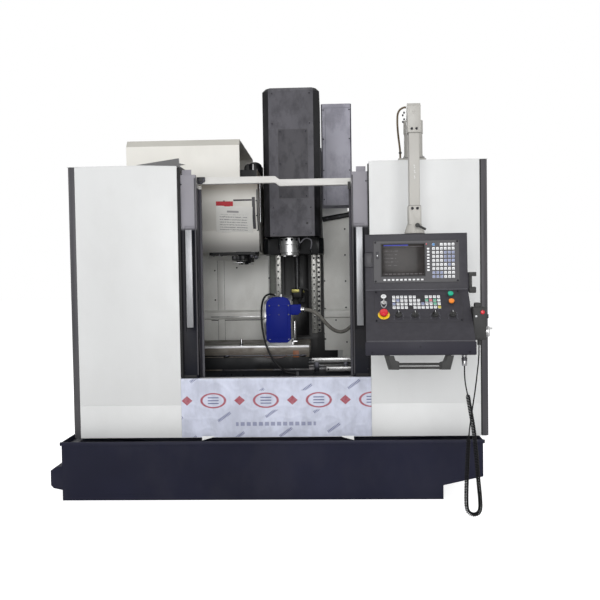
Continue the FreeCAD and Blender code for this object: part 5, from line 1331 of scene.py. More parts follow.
# what each solid is finished in, and how wide its edges are broken
SKINS: dict[str, tuple[Finish, float]] = {
    "base_casting": (CASTING, 4),
    "levelling_feet": (TURNED, 1),
    "column": (COLUMN, 3),
    "guide_rails": (GROUND, 0.8),
    "chip_pan": (PAN, 1.2),
    "front_panel_left": (WHITE, 1.2),
    "front_panel_right": (WHITE, 1.2),
    "corner_strips": (STRIP, 0.8),
    "side_panels": (WHITE, 1),
    "front_apron": (WHITE, 0.6),
    "door_frame": (FRAME_COAT, 0.8),
    "inner_guards": (GUARD, 0.8),
    "roof_panels": (WHITE, 0.8),
    "magazine_roof": (CREAM, 1.2),
    "magazine_cover": (DRUM, 1.2),
    "magazine_hatch": (CREAM, 0.8),
    "changer_drive": (DRIVE, 1.5),
    "duct_housing": (DUCT, 1.2),
    "electrical_cabinet": (WHITE, 1),
    "cabinet_door": (WHITE, 1.2),
    "arm_post": (ARM, 1.5),
    "door_left": (DOOR, 1),
    "door_right": (DOOR, 1),
    "door_left_window": (GLASS, 0.8),
    "door_right_window": (GLASS, 0.8),
    "door_left_pull": (PULL, 1),
    "door_right_pull": (PULL, 1),
    "saddle": (CASTING, 2.5),
    "table_rails": (DARK_RAIL, 0.8),
    "table": (TABLE_TOP, 1),
    "rotary_body": (TURNED, 1.5),
    "rotary_cover": (BLUE, 1.5),
    "rotary_faceplate": (TURNED, 1.2),
    "headstock": (HEAD_BLACK, 2),
    "head_cover": (HEAD_GREY, 1.5),
    "spindle": (TURNED, 1),
    "tool_disc": (TURNED, 1),
    "changer_arm": (HEAD_BLACK, 1.5),
    "arm_boom": (ARM, 1.5),
    "clamp_lever": (BLACK, 1),
    "pendant_case": (PENDANT, 1.2),
    "pendant_keys": (KEY, 0.9),
    "pendant_handle": (BLACK, 1),
    "handwheel_box": (BLACK, 1.5),
    "emergency_stop": (RED_GLOSS, 1.5),
    "start_button": (GREEN_GLOSS, 1.5),
    "hold_button": (ORANGE_GLOSS, 1.5),
    "key_switch": (TURNED, 0.8),
    "selector_knob_1": (BLACK, 1.2),
    "selector_knob_2": (BLACK, 1.2),
    "selector_knob_3": (BLACK, 1.2),
    "selector_knob_4": (BLACK, 1.2),
    "handwheel_dial": (TURNED, 1),
    "port_flap": (PENDANT_TRIM, 0.8),
}


# ---------------------------------------------------------------- cabin
def louvre(name: str, wide: float = 170, tall: float = 17, proud: float = 7) -> Piece:
    """A pressed louvre that opens downwards: a hood that leans out towards its lower edge."""
    hood = Piece.slab(name, wide, tall, proud, corner=tall * 0.42)
    hood.edges(lambda m, w: m.z > proud - 0.1 and m.y > 0,
               lambda: bpy.ops.transform.translate(value=(0, 0, 0.6 - proud)))
    return hood.softened(0.8, 2)


def grille(name: str, radius: float, rings: int = 5) -> Piece:
    """A fan guard of wire rings on four spokes, lying on Z = 0."""
    wires = []
    for number in range(rings):
        bpy.ops.mesh.primitive_torus_add(major_radius=radius * (number + 1) / rings, minor_radius=1.4,
                                         major_segments=28, minor_segments=6, location=(0, 0, 5))
        wires.append(Piece.taken(f"{name}_{number}"))
    for number in range(4):
        turn = math.tau * (number + 0.5) / 4
        tip = (radius * 1.08 * math.cos(turn), radius * 1.08 * math.sin(turn), 3)
        wires.append(Piece.bar(f"{name}_spoke_{number}", (0, 0, 3), tip, 1.5, 8))
    return joined(*wires)


LOCK_PROFILE = ((0, 0), (16, 0), (16, 3), (13, 5), (8, 5), (8, 3.4), (0, 3.4))
LOUVRE_PITCH = 34


@dataclass
class Cabin:
    """The sheet-metal cabin: the apron's film, inner wall fixings with a painted highlight and painted shade on the
    ledge, header, hatches, louvres, painted glints at the pan's rim ends, and dark strips of painted shade at the
    edges.
    """

    left: float = -611
    right: float = 576
    low: float = 366
    high: float = 734
    wall_y: float = 1400
    wall_screws: Sequence[tuple[float, float]] = (
        (459, 1739), (459, 1530), (291, 1322), (461, 1319), (292, 1099), (462, 1106), (380, 1004), (292, 851),
        (466, 825), (-159, 1353), (-600, 1420), (-600, 1180), (-420, 1440), (-990, 1420), (-990, 1180), (700, 1530),
        (700, 1319), (950, 1530), (950, 1319))
    hatch_y: tuple[float, float] = (1000, 1560)
    hatch_z: tuple[float, float] = (760, 1720)
    side_proud: float = 2
    pan_y: float = -103.4
    ledge_x: float = -400
    rail_fall: float = 40
    rail_run: float = 242

    def build(self, bench: Bench) -> None:
        """Builds all of it."""
        self.wrap_apron(bench)
        self.dress_walls(bench)
        self.dress_header(bench)
        self.dress_sides(bench)
        self.dress_pan(bench)
        self.paint_edge_shade(bench)

    def wrap_apron(self, bench: Bench) -> None:
        """The creased film that still covers the apron and turns over its top edge."""
        wide, tall = self.right - self.left, self.high - self.low
        film = Piece.sheet("apron_film", wide, tall + 16, 168, 54)

        def crease(place: Vector) -> Point:
            """Lifts the film in long soft creases and folds its top edge back over the sill."""
            spot = Vector((place.x * 0.008, place.y * 0.010, 0))
            ridge = 1 - abs(noise.noise(spot * 1.3 + Vector((7, 3, 1)))) * 2.6
            fine = noise.noise(spot * 6) * 0.5
            lift = 0.7 + max(0, ridge) ** 3 * 1.9 + fine * 0.5
            top = tall / 2 - 8
            if place.y > top:
                return place.x, top + min(1.2, (place.y - top) * 0.2), max(0.4, lift) - (place.y - top)
            edge = min(1, (place.y + tall / 2 + 8) / 24)
            return place.x, place.y, max(0.4, lift + (1 - edge) * 1.6 * noise.noise(spot * 3))

        film.moved(crease).put(front((self.left + self.right) / 2, (self.low + self.high) / 2 + 8))
        film.modified("SOLIDIFY", thickness=0.25, offset=1).smoothed(60)
        bench.hang(film, FILM, "front_apron")

    def dress_walls(self, bench: Bench) -> None:
        """Screws, joint strips, the upper sheet, a painted highlight on the ledge's nose and painted shade below it,
        and the slanted rail on the inner walls.
        """
        kit = Kit(bench, "wall_fixings", "inner_guards")
        kit.add(screw("wall_screw", 6.5).spread([front(x, z, self.wall_y) for x, z in self.wall_screws]), BLACKED)
        strip = Piece.slab("wall_joint_strip", 52, 736, 1.6, rim=0.7)
        kit.add(strip.put(front(-551, 1132, self.wall_y)), GUARD)
        seam = Piece.slab("wall_seam", 2.4, 736, 0.5, rim=0.2).spread(
            [front(-523.5, 1132, self.wall_y), front(-578.5, 1132, self.wall_y)])
        kit.add(seam, STRIP)
        fill = Piece.slab("wall_upper_sheet", 496, 141, 3, rim=1)
        kit.add(fill.put(front(-407, 1570.5, self.wall_y + 3)), GUARD)
        # bright strip on the ledge's nose: painted highlight
        nose = Piece.slab("ledge_painted_highlight", 470, 8, 1.2, corner=2, rim=0.5)
        kit.add(nose.put(front(self.ledge_x, 1043, self.wall_y - 30)), GROUND_X)
        # dark strip under the ledge: painted shade
        shade = Piece.slab("ledge_painted_shade", 470, 7, 1.2, corner=2, rim=0.5)
        kit.add(shade.put(front(self.ledge_x, 1014, self.wall_y)), STRIP)
        rail = Piece.block("slanted_rail", (0, -18, -40), (300, 0, 0)).softened(2)
        rail.faces(lambda m, w: w.y < -0.9, lambda: bpy.ops.mesh.inset(thickness=5),
                   lambda: bpy.ops.transform.translate(value=(0, 5, 0)))
        turn = Matrix.Rotation(-math.atan2(self.rail_fall, self.rail_run), 4, "Y")
        kit.add(rail.put(shift(278, self.wall_y, 1838) @ turn), HEAD_BLACK)
        bolts = screw("slanted_rail_screw", 5, Head.HEX)
        slope = self.rail_fall / self.rail_run
        kit.add(bolts.spread([front(x, 1820 + (x - 289) * slope, self.wall_y - 14) for x in (320, 420, 520)]), BLACKED)
        kit.close()

    def dress_header(self, bench: Bench) -> None:
        """The bracket, roller and screws at the header's left end, the stop at its right, and the sill's wear strip."""
        kit = Kit(bench, "header_fittings", "door_frame")
        plate = Piece.cut_out("header_bracket", ((0, 0), (52, 0), (52, -26), (30, -44), (0, -44)), 4).softened(1)
        kit.add(plate.put(front(-500, 1999, 85)), BLACKED)
        roller = Piece.turned("header_roller", ((0, 0), (9, 0), (13, 2), (13, 5), (10, 7), (10, 10), (13, 12), (13, 15),
                                                (6, 17), (6, 20), (0, 20)), 20)
        kit.add(roller.put(front(-474, 1981, 82)), BLACK)
        kit.add(screw("header_screw", 5, Head.HEX).spread(
            [front(x, z, 87.2) for x, z in ((-488, 1990), (-461, 1990), (-482, 1966))]), PLATED)
        stop = Piece.slab("header_stop", 18, 46, 14, corner=3, rim=1)
        kit.add(stop.put(front(458, 1930, 92)), BLACK)
        wear = Piece.slab("sill_wear_strip", 960, 3, 1.2, rim=0.5)
        kit.add(wear.put(shift(-16, 40, 734)), GROUND_X)
        kit.close()

    def dress_sides(self, bench: Bench) -> None:
        """Hatch frames, louvres, quarter-turn locks and lifting screws on both side walls."""
        low_y, high_y = self.hatch_y
        low_z, high_z = self.hatch_z
        kit = Kit(bench, "side_fittings", "side_panels")
        middle_y, middle_z = (low_y + high_y) / 2, (low_z + high_z) / 2
        for name, side, sign in (("right", RIGHT, 1), ("left", LEFT, -1)):
            def spot(y: float, z: float, rise: float = 0) -> Matrix:
                """A place on this side wall."""
                return side.at(y * sign, -z, rise)

            seam = Piece.ring(f"{name}_hatch_seam", high_y - low_y + 6, high_z - low_z + 6, 2.6, 0.9)
            kit.add(seam.put(spot(middle_y, middle_z)), STRIP)
            slats = louvre(f"{name}_louvre")
            slots = Piece.slab(f"{name}_louvre_slot", 160, 4, 1, rim=0.3)
            locks = Piece.turned(f"{name}_hatch_lock", LOCK_PROFILE, 20)
            slit = Piece.slab(f"{name}_lock_slit", 13, 2.4, 1, rim=0.3)
            for piece, lift, finish in ((slats, 90, WHITE), (slots, 81, BLACK)):
                kit.add(piece.spread([spot(middle_y + dy, low_z + lift + LOUVRE_PITCH * row, self.side_proud)
                                      for dy in (-120, 120) for row in range(8)]), finish)
            for piece, rise, finish in ((locks, 0, PLATED), (slit, 3, BLACK)):
                kit.add(piece.spread([spot(y, z, self.side_proud + rise) for y in (low_y + 30, high_y - 30)
                                      for z in (low_z + 40, middle_z, high_z - 40)]), finish)
            rivets = screw(f"{name}_wall_screw", 5).spread(
                [spot(y, z) for z in (420, 900, 1400, 2020) for y in (110, 620, 1850)])
            kit.add(rivets, PLATED)
        kit.close()

    def dress_pan(self, bench: Bench) -> None:
        """White wedges at the trough's ends that paint the glint on the pan rim's slanted ends."""
        kit = Kit(bench, "pan_rim_glints", "chip_pan")
        for name, sign, x, z in (("pan_rim_glint", 1, -466, 396), ("pan_rim_other_glint", -1, 462, 392)):
            # white on the navy pan: painted highlights
            wedge = Piece.cut_out(name, ((0, 0), (sign * 78, 0), (sign * 70, -7), (0, -26)), 1.4).softened(0.4)
            kit.add(wedge.put(front(x, z, self.pan_y)), WHITE)
        kit.close()

    def paint_edge_shade(self, bench: Bench) -> None:
        """Painted shade: dark strips for the shadow gaps at the front sheets' door edges and the right corner, a darker
        skin on the hood's slope, and a dark sheet on the lifted roof sheet's nose.
        """
        for name, x0, x1 in (("left", -612, -596), ("right", 569, 577)):
            kit = Kit(bench, f"front_{name}_fittings", f"front_panel_{name}")
            # dark strip standing for the shadow gap between the front sheet and the door: painted shade
            shade_strip = Piece.block(f"front_{name}_seal", (x0, 8, 738), (x1, 32, 2052)).softened(3, 2)
            kit.add(shade_strip, RUBBER)
            if name == "right":
                kit.add(Piece.block("corner_shadow_line", (1250, -1.2, 370), (1258, 4, 2062)), RUBBER)
            kit.close()
        # darker skin on the hood's sloping face: painted shade
        kit = Kit(bench, "hood_slope_shade_skin", "magazine_roof")
        slope = Plane((0, 620, 2293), along=(0, -30, -45))
        kit.add(Piece.slab("hood_slope_shade", 800, 53, 0.4).put(slope.at(-692, -27, 0.05)), HOOD_SLOPE_SHADE)
        kit.close()
        kit = Kit(bench, "roof_nose_shadow", "roof_panels")
        # dark sheet on the lifted roof sheet's nose: painted shadow
        nose = Piece.cut_out("roof_nose",
                             ((-866, 2069), (-596, 2059), (-554, 2066), (-595, 2076), (-595, 2106), (-602, 2106)), 1.5)
        kit.add(nose.put(front(0, 0, -0.5)), ROOF_DARK)
        kit.close()


# ---------------------------------------------------------------- doors
@dataclass
class Doors:
    """The sliding doors' window gaskets, pull pads, edge profiles and screws."""

    edges: Sequence[float] = (-504, 471)
    width: float = 640
    face_y: float = 45
    low: float = 733.7
    high: float = 2010
    window: tuple[float, float, float] = (380, 1090, 1790)
    inset: float = 150
    pull: tuple[float, float] = (1055, 1665)
    pull_inset: float = 43

    def build(self, bench: Bench) -> None:
        """Dresses both doors."""
        for name, edge, sign in (("left", self.edges[0], -1), ("right", self.edges[1], 1)):
            self.dress(bench, name, edge, sign)

    def dress(self, bench: Bench, name: str, edge: float, sign: float) -> None:
        """Dresses one door.

        Args:
            bench: The loaded frame.
            name: Which door.
            edge: X of its meeting edge.
            sign: Which way it runs from there.
        """
        kit = Kit(bench, f"door_{name}_fittings", f"door_{name}")
        wide, low, high = self.window
        middle = edge + sign * (self.inset + wide / 2)
        gasket = Piece.ring(f"door_{name}_gasket", wide + 34, high - low + 34, 24, 4, corner=22).softened(1.4, 2)
        kit.add(gasket.put(front(middle, (low + high) / 2, self.face_y)), RUBBER)
        inner = Piece.ring(f"door_{name}_inner_gasket", wide + 24, high - low + 24, 20, 3, corner=18)
        place = shift(middle, 88, (low + high) / 2) @ turned_by(-90, "X")
        kit.add(inner.softened(1, 2).put(place), RUBBER)
        bar = edge + sign * self.pull_inset
        shoe = Piece.slab(f"door_{name}_pull_shoe", 34, 46, 3, corner=6, rim=1)
        kit.add(shoe.spread([front(bar, z, self.face_y) for z in (self.pull[0] + 40, self.pull[1] - 40)]), BLACK)
        trim = Piece.slab(f"door_{name}_edge_trim", 7, self.high - self.low - 40, 3, corner=2, rim=1)
        kit.add(trim.put(front(edge + sign * 5, (self.high + self.low) / 2, self.face_y)), STRIP)
        screws = screw(f"door_{name}_screw", 4.5).spread(
            [front(edge + sign * across, z, self.face_y) for across in (90, self.width - 40)
             for z in (780, 1120, 1520, 1950)])
        kit.add(screws, BLACKED)
        wiper = Piece.slab(f"door_{name}_wiper", self.width - 30, 16, 3, corner=1.5, rim=0.8)
        kit.add(wiper.put(front(edge + sign * self.width / 2, self.low + 10, self.face_y)), RUBBER)
        kit.close()


# ---------------------------------------------------------------- column, ways and feed screw
@dataclass
class ColumnWays:
    """What shows of the column: rail bolts, strips beside the rails, the screw's thread and the lubrication block."""

    middle: float = 62
    rail_half: float = 145
    rail_face: float = 1392
    strip_face: float = 1430
    low: float = 900
    high: float = 2385
    hole_pitch: float = 52.5
    screw_x: float = 70
    screw_y: float = 1412
    thread: tuple[float, float] = (1264, 2343)
    thread_pitch: float = 14

    def build(self, bench: Bench) -> None:
        """Builds all of it."""
        self.drill_rails(bench)
        self.cut_thread(bench)
        self.plumb(bench)

    def drill_rails(self, bench: Bench) -> None:
        """The rail bolts' counterbores and the strips beside the rails with their own row of bolts."""
        kit = Kit(bench, "rail_bolts", "guide_rails")
        count = int((self.high - self.low) / self.hole_pitch)
        heights = [self.low + 30 + self.hole_pitch * number for number in range(count)]
        spots = [front(self.middle + side * self.rail_half, z, self.rail_face) for side in (-1, 1) for z in heights]
        ring = Piece.turned("rail_hole_rim", ((0, 0), (9.5, 0), (9.5, 0.5), (8.2, 0.7), (7.6, 0.2), (0, 0.2)), 16)
        kit.add(ring.spread(spots), GROUND)
        kit.add(Piece.disc("rail_hole", 7.4, 0.35, 16, rim=0.1).spread(spots), BLACK)
        strip_x = self.middle + self.rail_half + 38
        strip = Piece.slab("clamp_strip", 28, 1400, 5, rim=0.8)
        kit.add(strip.put(front(strip_x, 1610, self.strip_face)), GROUND)
        bolt = screw("clamp_strip_bolt", 6.6, Head.SOCKET)
        kit.add(bolt.spread([front(strip_x, 925 + 39 * n, self.strip_face - 5) for n in range(34)]), BLACKED)
        plain = Piece.slab("column_side_strip", 46, 1400, 5, rim=0.8)
        kit.add(plain.put(front(self.middle - self.rail_half - 45, 1610, self.strip_face)), COLUMN_STRIP)
        kit.close()

    def cut_thread(self, bench: Bench) -> None:
        """The feed screw: a core with journals and a round-cornered thread wound along it."""
        low, high = self.thread
        core = Piece.turned("screw_core", ((0, 1202), (11.5, 1202), (12.5, 1203), (12.5, 1262), (16.8, 1262),
                                           (16.8, 2345), (12.5, 2345), (12.5, 2387), (11.5, 2388), (0, 2388)), 20)
        mesh = bpy.data.meshes.new("screw_thread")
        profile = ((16.5, 0), (20, 2.4), (20, 6.6), (16.5, 9))
        mesh.from_pydata([(r, 0, z) for r, z in profile], [(0, 1), (1, 2), (2, 3), (3, 0)], [])
        thread = Piece(placed("screw_thread", mesh))
        turns = int((high - low) / self.thread_pitch) - 1
        thread.modified("SCREW", axis="Z", screw_offset=self.thread_pitch, iterations=turns, steps=14, render_steps=14,
                        use_normal_calculate=True)
        thread.edges(every, select_all, merge, lambda: bpy.ops.mesh.select_all(action="DESELECT"),
                     lambda: bpy.ops.mesh.select_mode(type="EDGE"), lambda: bpy.ops.mesh.select_non_manifold(),
                     lambda: bpy.ops.mesh.edge_face_add(), select_all, face_out)
        thread.put(shift(0, 0, low))
        whole = joined(core, thread).put(shift(self.screw_x, self.screw_y, 0)).smoothed(35)
        whole.obj.name = "feed_screw"
        bench.hang(whole, SCREW_STEEL, "z_screw", ("z_screw",))

    def plumb(self, bench: Bench) -> None:
        """The lubrication block on the column's front with its nuts and pipes, and the brass cap beside the screw."""
        kit = Kit(bench, "column_fittings", "column")
        block = Piece.slab("distributor", 56, 78, 26, corner=4, rim=2).sunk(
            lambda m, w: w.z > 0.9 and abs(m.x) < 1, 9, 3)
        kit.add(block.put(front(104, 1184, self.rail_face + 30)), HEAD_BLACK)
        nut = joined(Piece.disc("distributor_nut", 9, 8, 6, rim=1), Piece.disc("distributor_stem", 5, 14, 12, rim=1))
        kit.add(nut.spread([front(x, 1232, 1400, 0) @ turned_by(-90, "X")
                            for x in (88, 104, 120)]), BRASS)
        cap = Piece.slab("screw_bearing_cap", 62, 26, 5, corner=8, rim=1)
        kit.add(cap.put(front(56, 1246, 1362)), BRASS)
        for number, x in enumerate((88, 104, 120)):
            kit.add(Piece.pipe(f"lube_pipe_{number}",
                               ((x, 1400, 1240), (x, 1400, 1258 + 4 * number), (146, 1404, 1256 + 5 * number),
                                                       (168, 1416, 1240), (172, 1436, 1190)), 2.6), BLACK)
        kit.close()


# ---------------------------------------------------------------- head and spindle
@dataclass
class HeadTrim:
    """The head: panel seams, the small plate's lock, screws, the ground cartridge and the coolant pipe and tips."""

    spindle: tuple[float, float] = (40, 850)
    face_y: float = 650
    proud: float = 2
    panel: tuple[float, float, float, float] = (-19, 188, 1916, 2398)
    plate: tuple[float, float, float, float] = (140, 214, 1676, 1768)

    def build(self, bench: Bench) -> None:
        """Builds all of it."""
        self.seam_cover(bench)
        self.polish_cartridge(bench)

    def seam_cover(self, bench: Bench) -> None:
        """Dark joints round the access panel and the plate, screws, the lock and the cover's lower lip."""
        kit = Kit(bench, "head_cover_fittings", "head_cover")
        for name, (x0, x1, z0, z1), finish in (("access_seam", self.panel, STRIP), ("plate_seam", self.plate, STRIP)):
            seam = Piece.ring(name, x1 - x0 + 5, z1 - z0 + 5, 2.6, 1.2, corner=8)
            kit.add(seam.put(front((x0 + x1) / 2, (z0 + z1) / 2, self.face_y)), finish)
        x0, x1, z0, z1 = self.panel
        sheet = Piece.slab("access_panel_skin", x1 - x0, z1 - z0, 0.8, corner=6, rim=0.3)
        kit.add(sheet.put(front((x0 + x1) / 2, (z0 + z1) / 2, self.face_y - self.proud + 0.3)), HEAD_PANEL)
        kit.add(screw("access_screw", 5).spread(
            [front(x, z, self.face_y - self.proud) for x in (x0 + 13, x1 - 13)
             for z in (z0 + 14, (z0 + z1) / 2, z1 - 14)]), BLACKED)
        lock = Piece.turned("plate_lock", ((0, 0), (8, 0), (8, 2.2), (6.4, 3.4), (2, 3.4), (2, 2.4), (0, 2.4)), 18)
        kit.add(lock.put(front(177, 1740, self.face_y - self.proud)), BLACK)
        kit.add(screw("cowl_screw", 4.5).spread(
            [front(x, z, self.face_y) for x in (-60, 204) for z in (1668, 1850, 2440, 2650)]), BLACKED)
        kit.add(Piece.slab("head_lower_lip", 312, 5, 2, rim=0.8).put(front(72, 1651, self.face_y)), STRIP)
        kit.close()

    def polish_cartridge(self, bench: Bench) -> None:
        """The ground sleeve round the spindle, its bolts, the coolant pipe's two tips and the spindle's face ring."""
        x, y = self.spindle
        stand = shift(x, y, 0)
        kit = Kit(bench, "cartridge_trim", "headstock")
        sleeve = Piece.turned("cartridge_sleeve", ((69.4, 1537), (71, 1537.5), (71, 1592), (74, 1593), (77.5, 1597),
                                                   (77.5, 1606), (77.5, 1618), (72, 1619), (72, 1644), (69.4,
                                                                                                        1645)), 40)
        kit.add(sleeve.put(stand), TURNED)
        ring = screw("cartridge_bolt", 6, Head.SOCKET)
        kit.add(ring.spread([stand @ Matrix.Rotation(math.tau * (n + 0.5) / 12, 4, "Z")
                             @ shift(71.5, 0, 1631) @ turned_by(90, "Y")
                             for n in range(12)]), BLACKED)
        loop = Piece.pipe("coolant_loop", ((114, 722, 1640), (116, 716, 1590), (146, 712, 1630), (176, 712, 1638),
                                           (206, 716, 1622), (204, 724, 1580), (196, 740, 1560)), 4.6)
        kit.add(loop, EDGE_LIGHT)
        horn = Piece.turned("coolant_tip", ((0, 0), (8, 0), (9, 6), (9, 16), (5, 20), (3, 32), (0, 32)), 14)
        down = turned_by(190, "X")
        kit.add(horn.spread([Matrix.Translation(p) @ down for p in ((114, 722, 1596), (196, 742, 1566))]), BLACKED)
        plate = Piece.slab("nozzle_plate", 120, 60, 5, corner=6, rim=1)
        kit.add(plate.put(shift(186, 786, 1641)), HEAD_BLACK)
        kit.close()
        nose = Kit(bench, "spindle_trim", "spindle")
        face = Piece.turned("spindle_face_ring",
                            ((23.5, 1517.2), (30, 1516.8), (60, 1516.8), (63.4, 1518.2), (63.9, 1520),
                                                  (63.9, 1534), (62, 1535)), 40)
        nose.add(face.put(stand), TURNED)
        nose.close()


# ---------------------------------------------------------------- saddle, table and rotary table
@dataclass
class Slides:
    """What shows round the table: scale housing, way strip, painted highlights on the table's front edges, trip dogs,
    rust and the rotary's fittings.
    """

    front_y: float = 600
    table_top: float = 878
    table_x: float = -320
    cover_y: float = 523
    deck: float = 902

    def build(self, bench: Bench) -> None:
        """Builds all of it."""
        self.dress_saddle(bench)
        self.dress_table(bench)
        self.dress_rotary(bench)

    def dress_saddle(self, bench: Bench) -> None:
        """The scale housing and ground strip before the table's right half, their brackets, and the saddle's lip."""
        kit = Kit(bench, "saddle_trim", "saddle")
        upper = Piece.block("scale_housing", (196, 560, 762), (676, 594, 793)).softened(4, 3)
        kit.add(upper, GROUND_X)
        lower = Piece.block("way_strip", (296, 524, 703), (676, 560, 735)).softened(5, 3)
        kit.add(lower, GROUND_X)
        groove = Piece.slab("scale_groove", 470, 3, 0.6, rim=0.2)
        kit.add(groove.spread([front(436, 772, 560), front(486, 712, 524, 0)]), BLACK)
        foot = Piece.block("scale_bracket", (0, 556, 690), (34, 590, 764)).softened(1.5)
        kit.add(foot.spread([shift(x, 0, 0) for x in (214, 420, 630)]), BLACKED)
        ends = screw("scale_screw", 4.5, Head.SOCKET)
        kit.add(ends.spread([front(x, 777, 560) for x in (206, 666)]
                            + [front(x, 719, 524) for x in (312, 480, 660)]), BLACKED)
        wiper = Piece.slab("saddle_lip_strip", 1230, 8, 3, corner=2, rim=1)
        kit.add(wiper.put(front(40, 648, 445.5)), RUBBER)
        kit.close()

    def dress_table(self, bench: Bench) -> None:
        """The slot bolt, a rust patch, the rule's slot, trip dogs, painted highlights on the front edges, the skirt and
        a thin pipe.
        """
        kit = Kit(bench, "table_trim", "table")
        bolt = joined(Piece.disc("slot_bolt_nut", 14, 12, 6, rim=1.5), Piece.disc("slot_bolt", 6, 44, 14, rim=1.2),
                      Piece.disc("slot_bolt_washer", 17, 3, 20, rim=0.6))
        kit.add(bolt.put(shift(-306, 670, self.table_top)), PLATED)
        patch = Piece.slab("table_rust", 42, 49, 0.3, corner=4, rim=0.1)
        kit.add(patch.put(front(86, 819, self.front_y)), RUST)
        strip = Piece.slab("table_rule_slot", 960, 9, 0.8, corner=1, rim=0.3)
        kit.add(strip.put(front(self.table_x, 809, self.front_y)), BLACKED)
        dog = Piece.block("trip_dog", (0, 586, 802), (32, 600, 816)).softened(1.4)
        dog.edges(lambda m, w: m.z < 803 and m.y < 590, lambda: bpy.ops.mesh.bevel(offset=6, segments=1))
        kit.add(dog.spread([shift(x, 0, 0) for x in (-760, -420, 120)]), BLACKED)
        # pale strips on the table's lip and front land: painted highlight
        kit.add(Piece.slab("table_lip_highlight", 996, 13, 0.6, rim=0.2).put(front(self.table_x, 870.5, self.front_y)),
                TABLE_HIGHLIGHT)
        kit.add(Piece.block("table_front_land_highlight", (-818, 601.5, self.table_top - 0.2), (178, 652, self.table_top + 0.5)),
                TABLE_HIGHLIGHT)
        kit.add(Piece.slab("table_skirt", 990, 83, 3, rim=0.8).put(front(self.table_x, 755, self.front_y + 6)),
                HEAD_BLACK)
        pipe = Piece.pipe("table_lube_pipe", ((-140, 600, 812), (-130, 574, 802), (-80, 560, 797), (-20, 562, 797),
                                              (10, 576, 803), (20, 600, 812)), 2.6)
        kit.add(pipe, PINK_TUBE)
        kit.close()

    def dress_rotary(self, bench: Bench) -> None:
        """The cover's screws and rim, the connector's shell, the side bar on its foot, and the clamp bolts."""
        kit = Kit(bench, "rotary_trim", "rotary_body")
        kit.add(screw("rotary_screw", 5.4, Head.PAN).spread(
            [front(x, z, self.cover_y) for x in (-90, -25, 42.5) for z in (1164, 1101)]), EDGE_LIGHT)
        kit.add(screw("rotary_lower_screw", 3.4, Head.PAN).spread(
            [front(x, z, self.cover_y) for x in (-90, 42.5) for z in (930,)]), PLATED)
        rim = Piece.ring("rotary_cover_rim", 160, 306, 3, 1, corner=20)
        kit.add(rim.put(front(-29, 1063, self.cover_y)), BLUE)
        shell = Piece.turned("connector_shell", ((0, 0), (24, 0), (24, 9), (20, 12), (20, 22), (17, 25), (13.2, 26)),
                             26)
        kit.add(shell.put(shift(126, 556, 1133) @ turned_by(90, "Y")), PLATED)
        bar = Piece.bar("rotary_side_bar", (80, 604, 905), (80, 604, 1052), 10, 18).softened(1.5, 2, 60)
        kit.add(bar, PLATED)
        foot = Piece.block("rotary_bar_foot", (58, 592, 902), (100, 640, 912)).softened(1.2)
        kit.add(foot, PLATED)
        clamp = joined(Piece.disc("clamp_nut", 14, 13, 6, rim=1.5), Piece.disc("clamp_washer", 19, 3, 20, rim=0.6),
                       Piece.disc("clamp_stud", 7, 26, 14, rim=1))
        kit.add(clamp.spread([shift(x, 896, self.deck) for x in (-90, 40)]
                             + [shift(x, 640, self.deck) for x in (64,)]), PLATED)
        cap = screw("rotary_body_screw", 6, Head.SOCKET)
        kit.add(cap.spread([RIGHT.at(740 + 132 * math.cos(a), -1070 - 132 * math.sin(a), 56 - CABIN_HALF)
                            for a in (math.radians(30 + 40 * n) for n in range(4))]), BLACKED)
        kit.close()


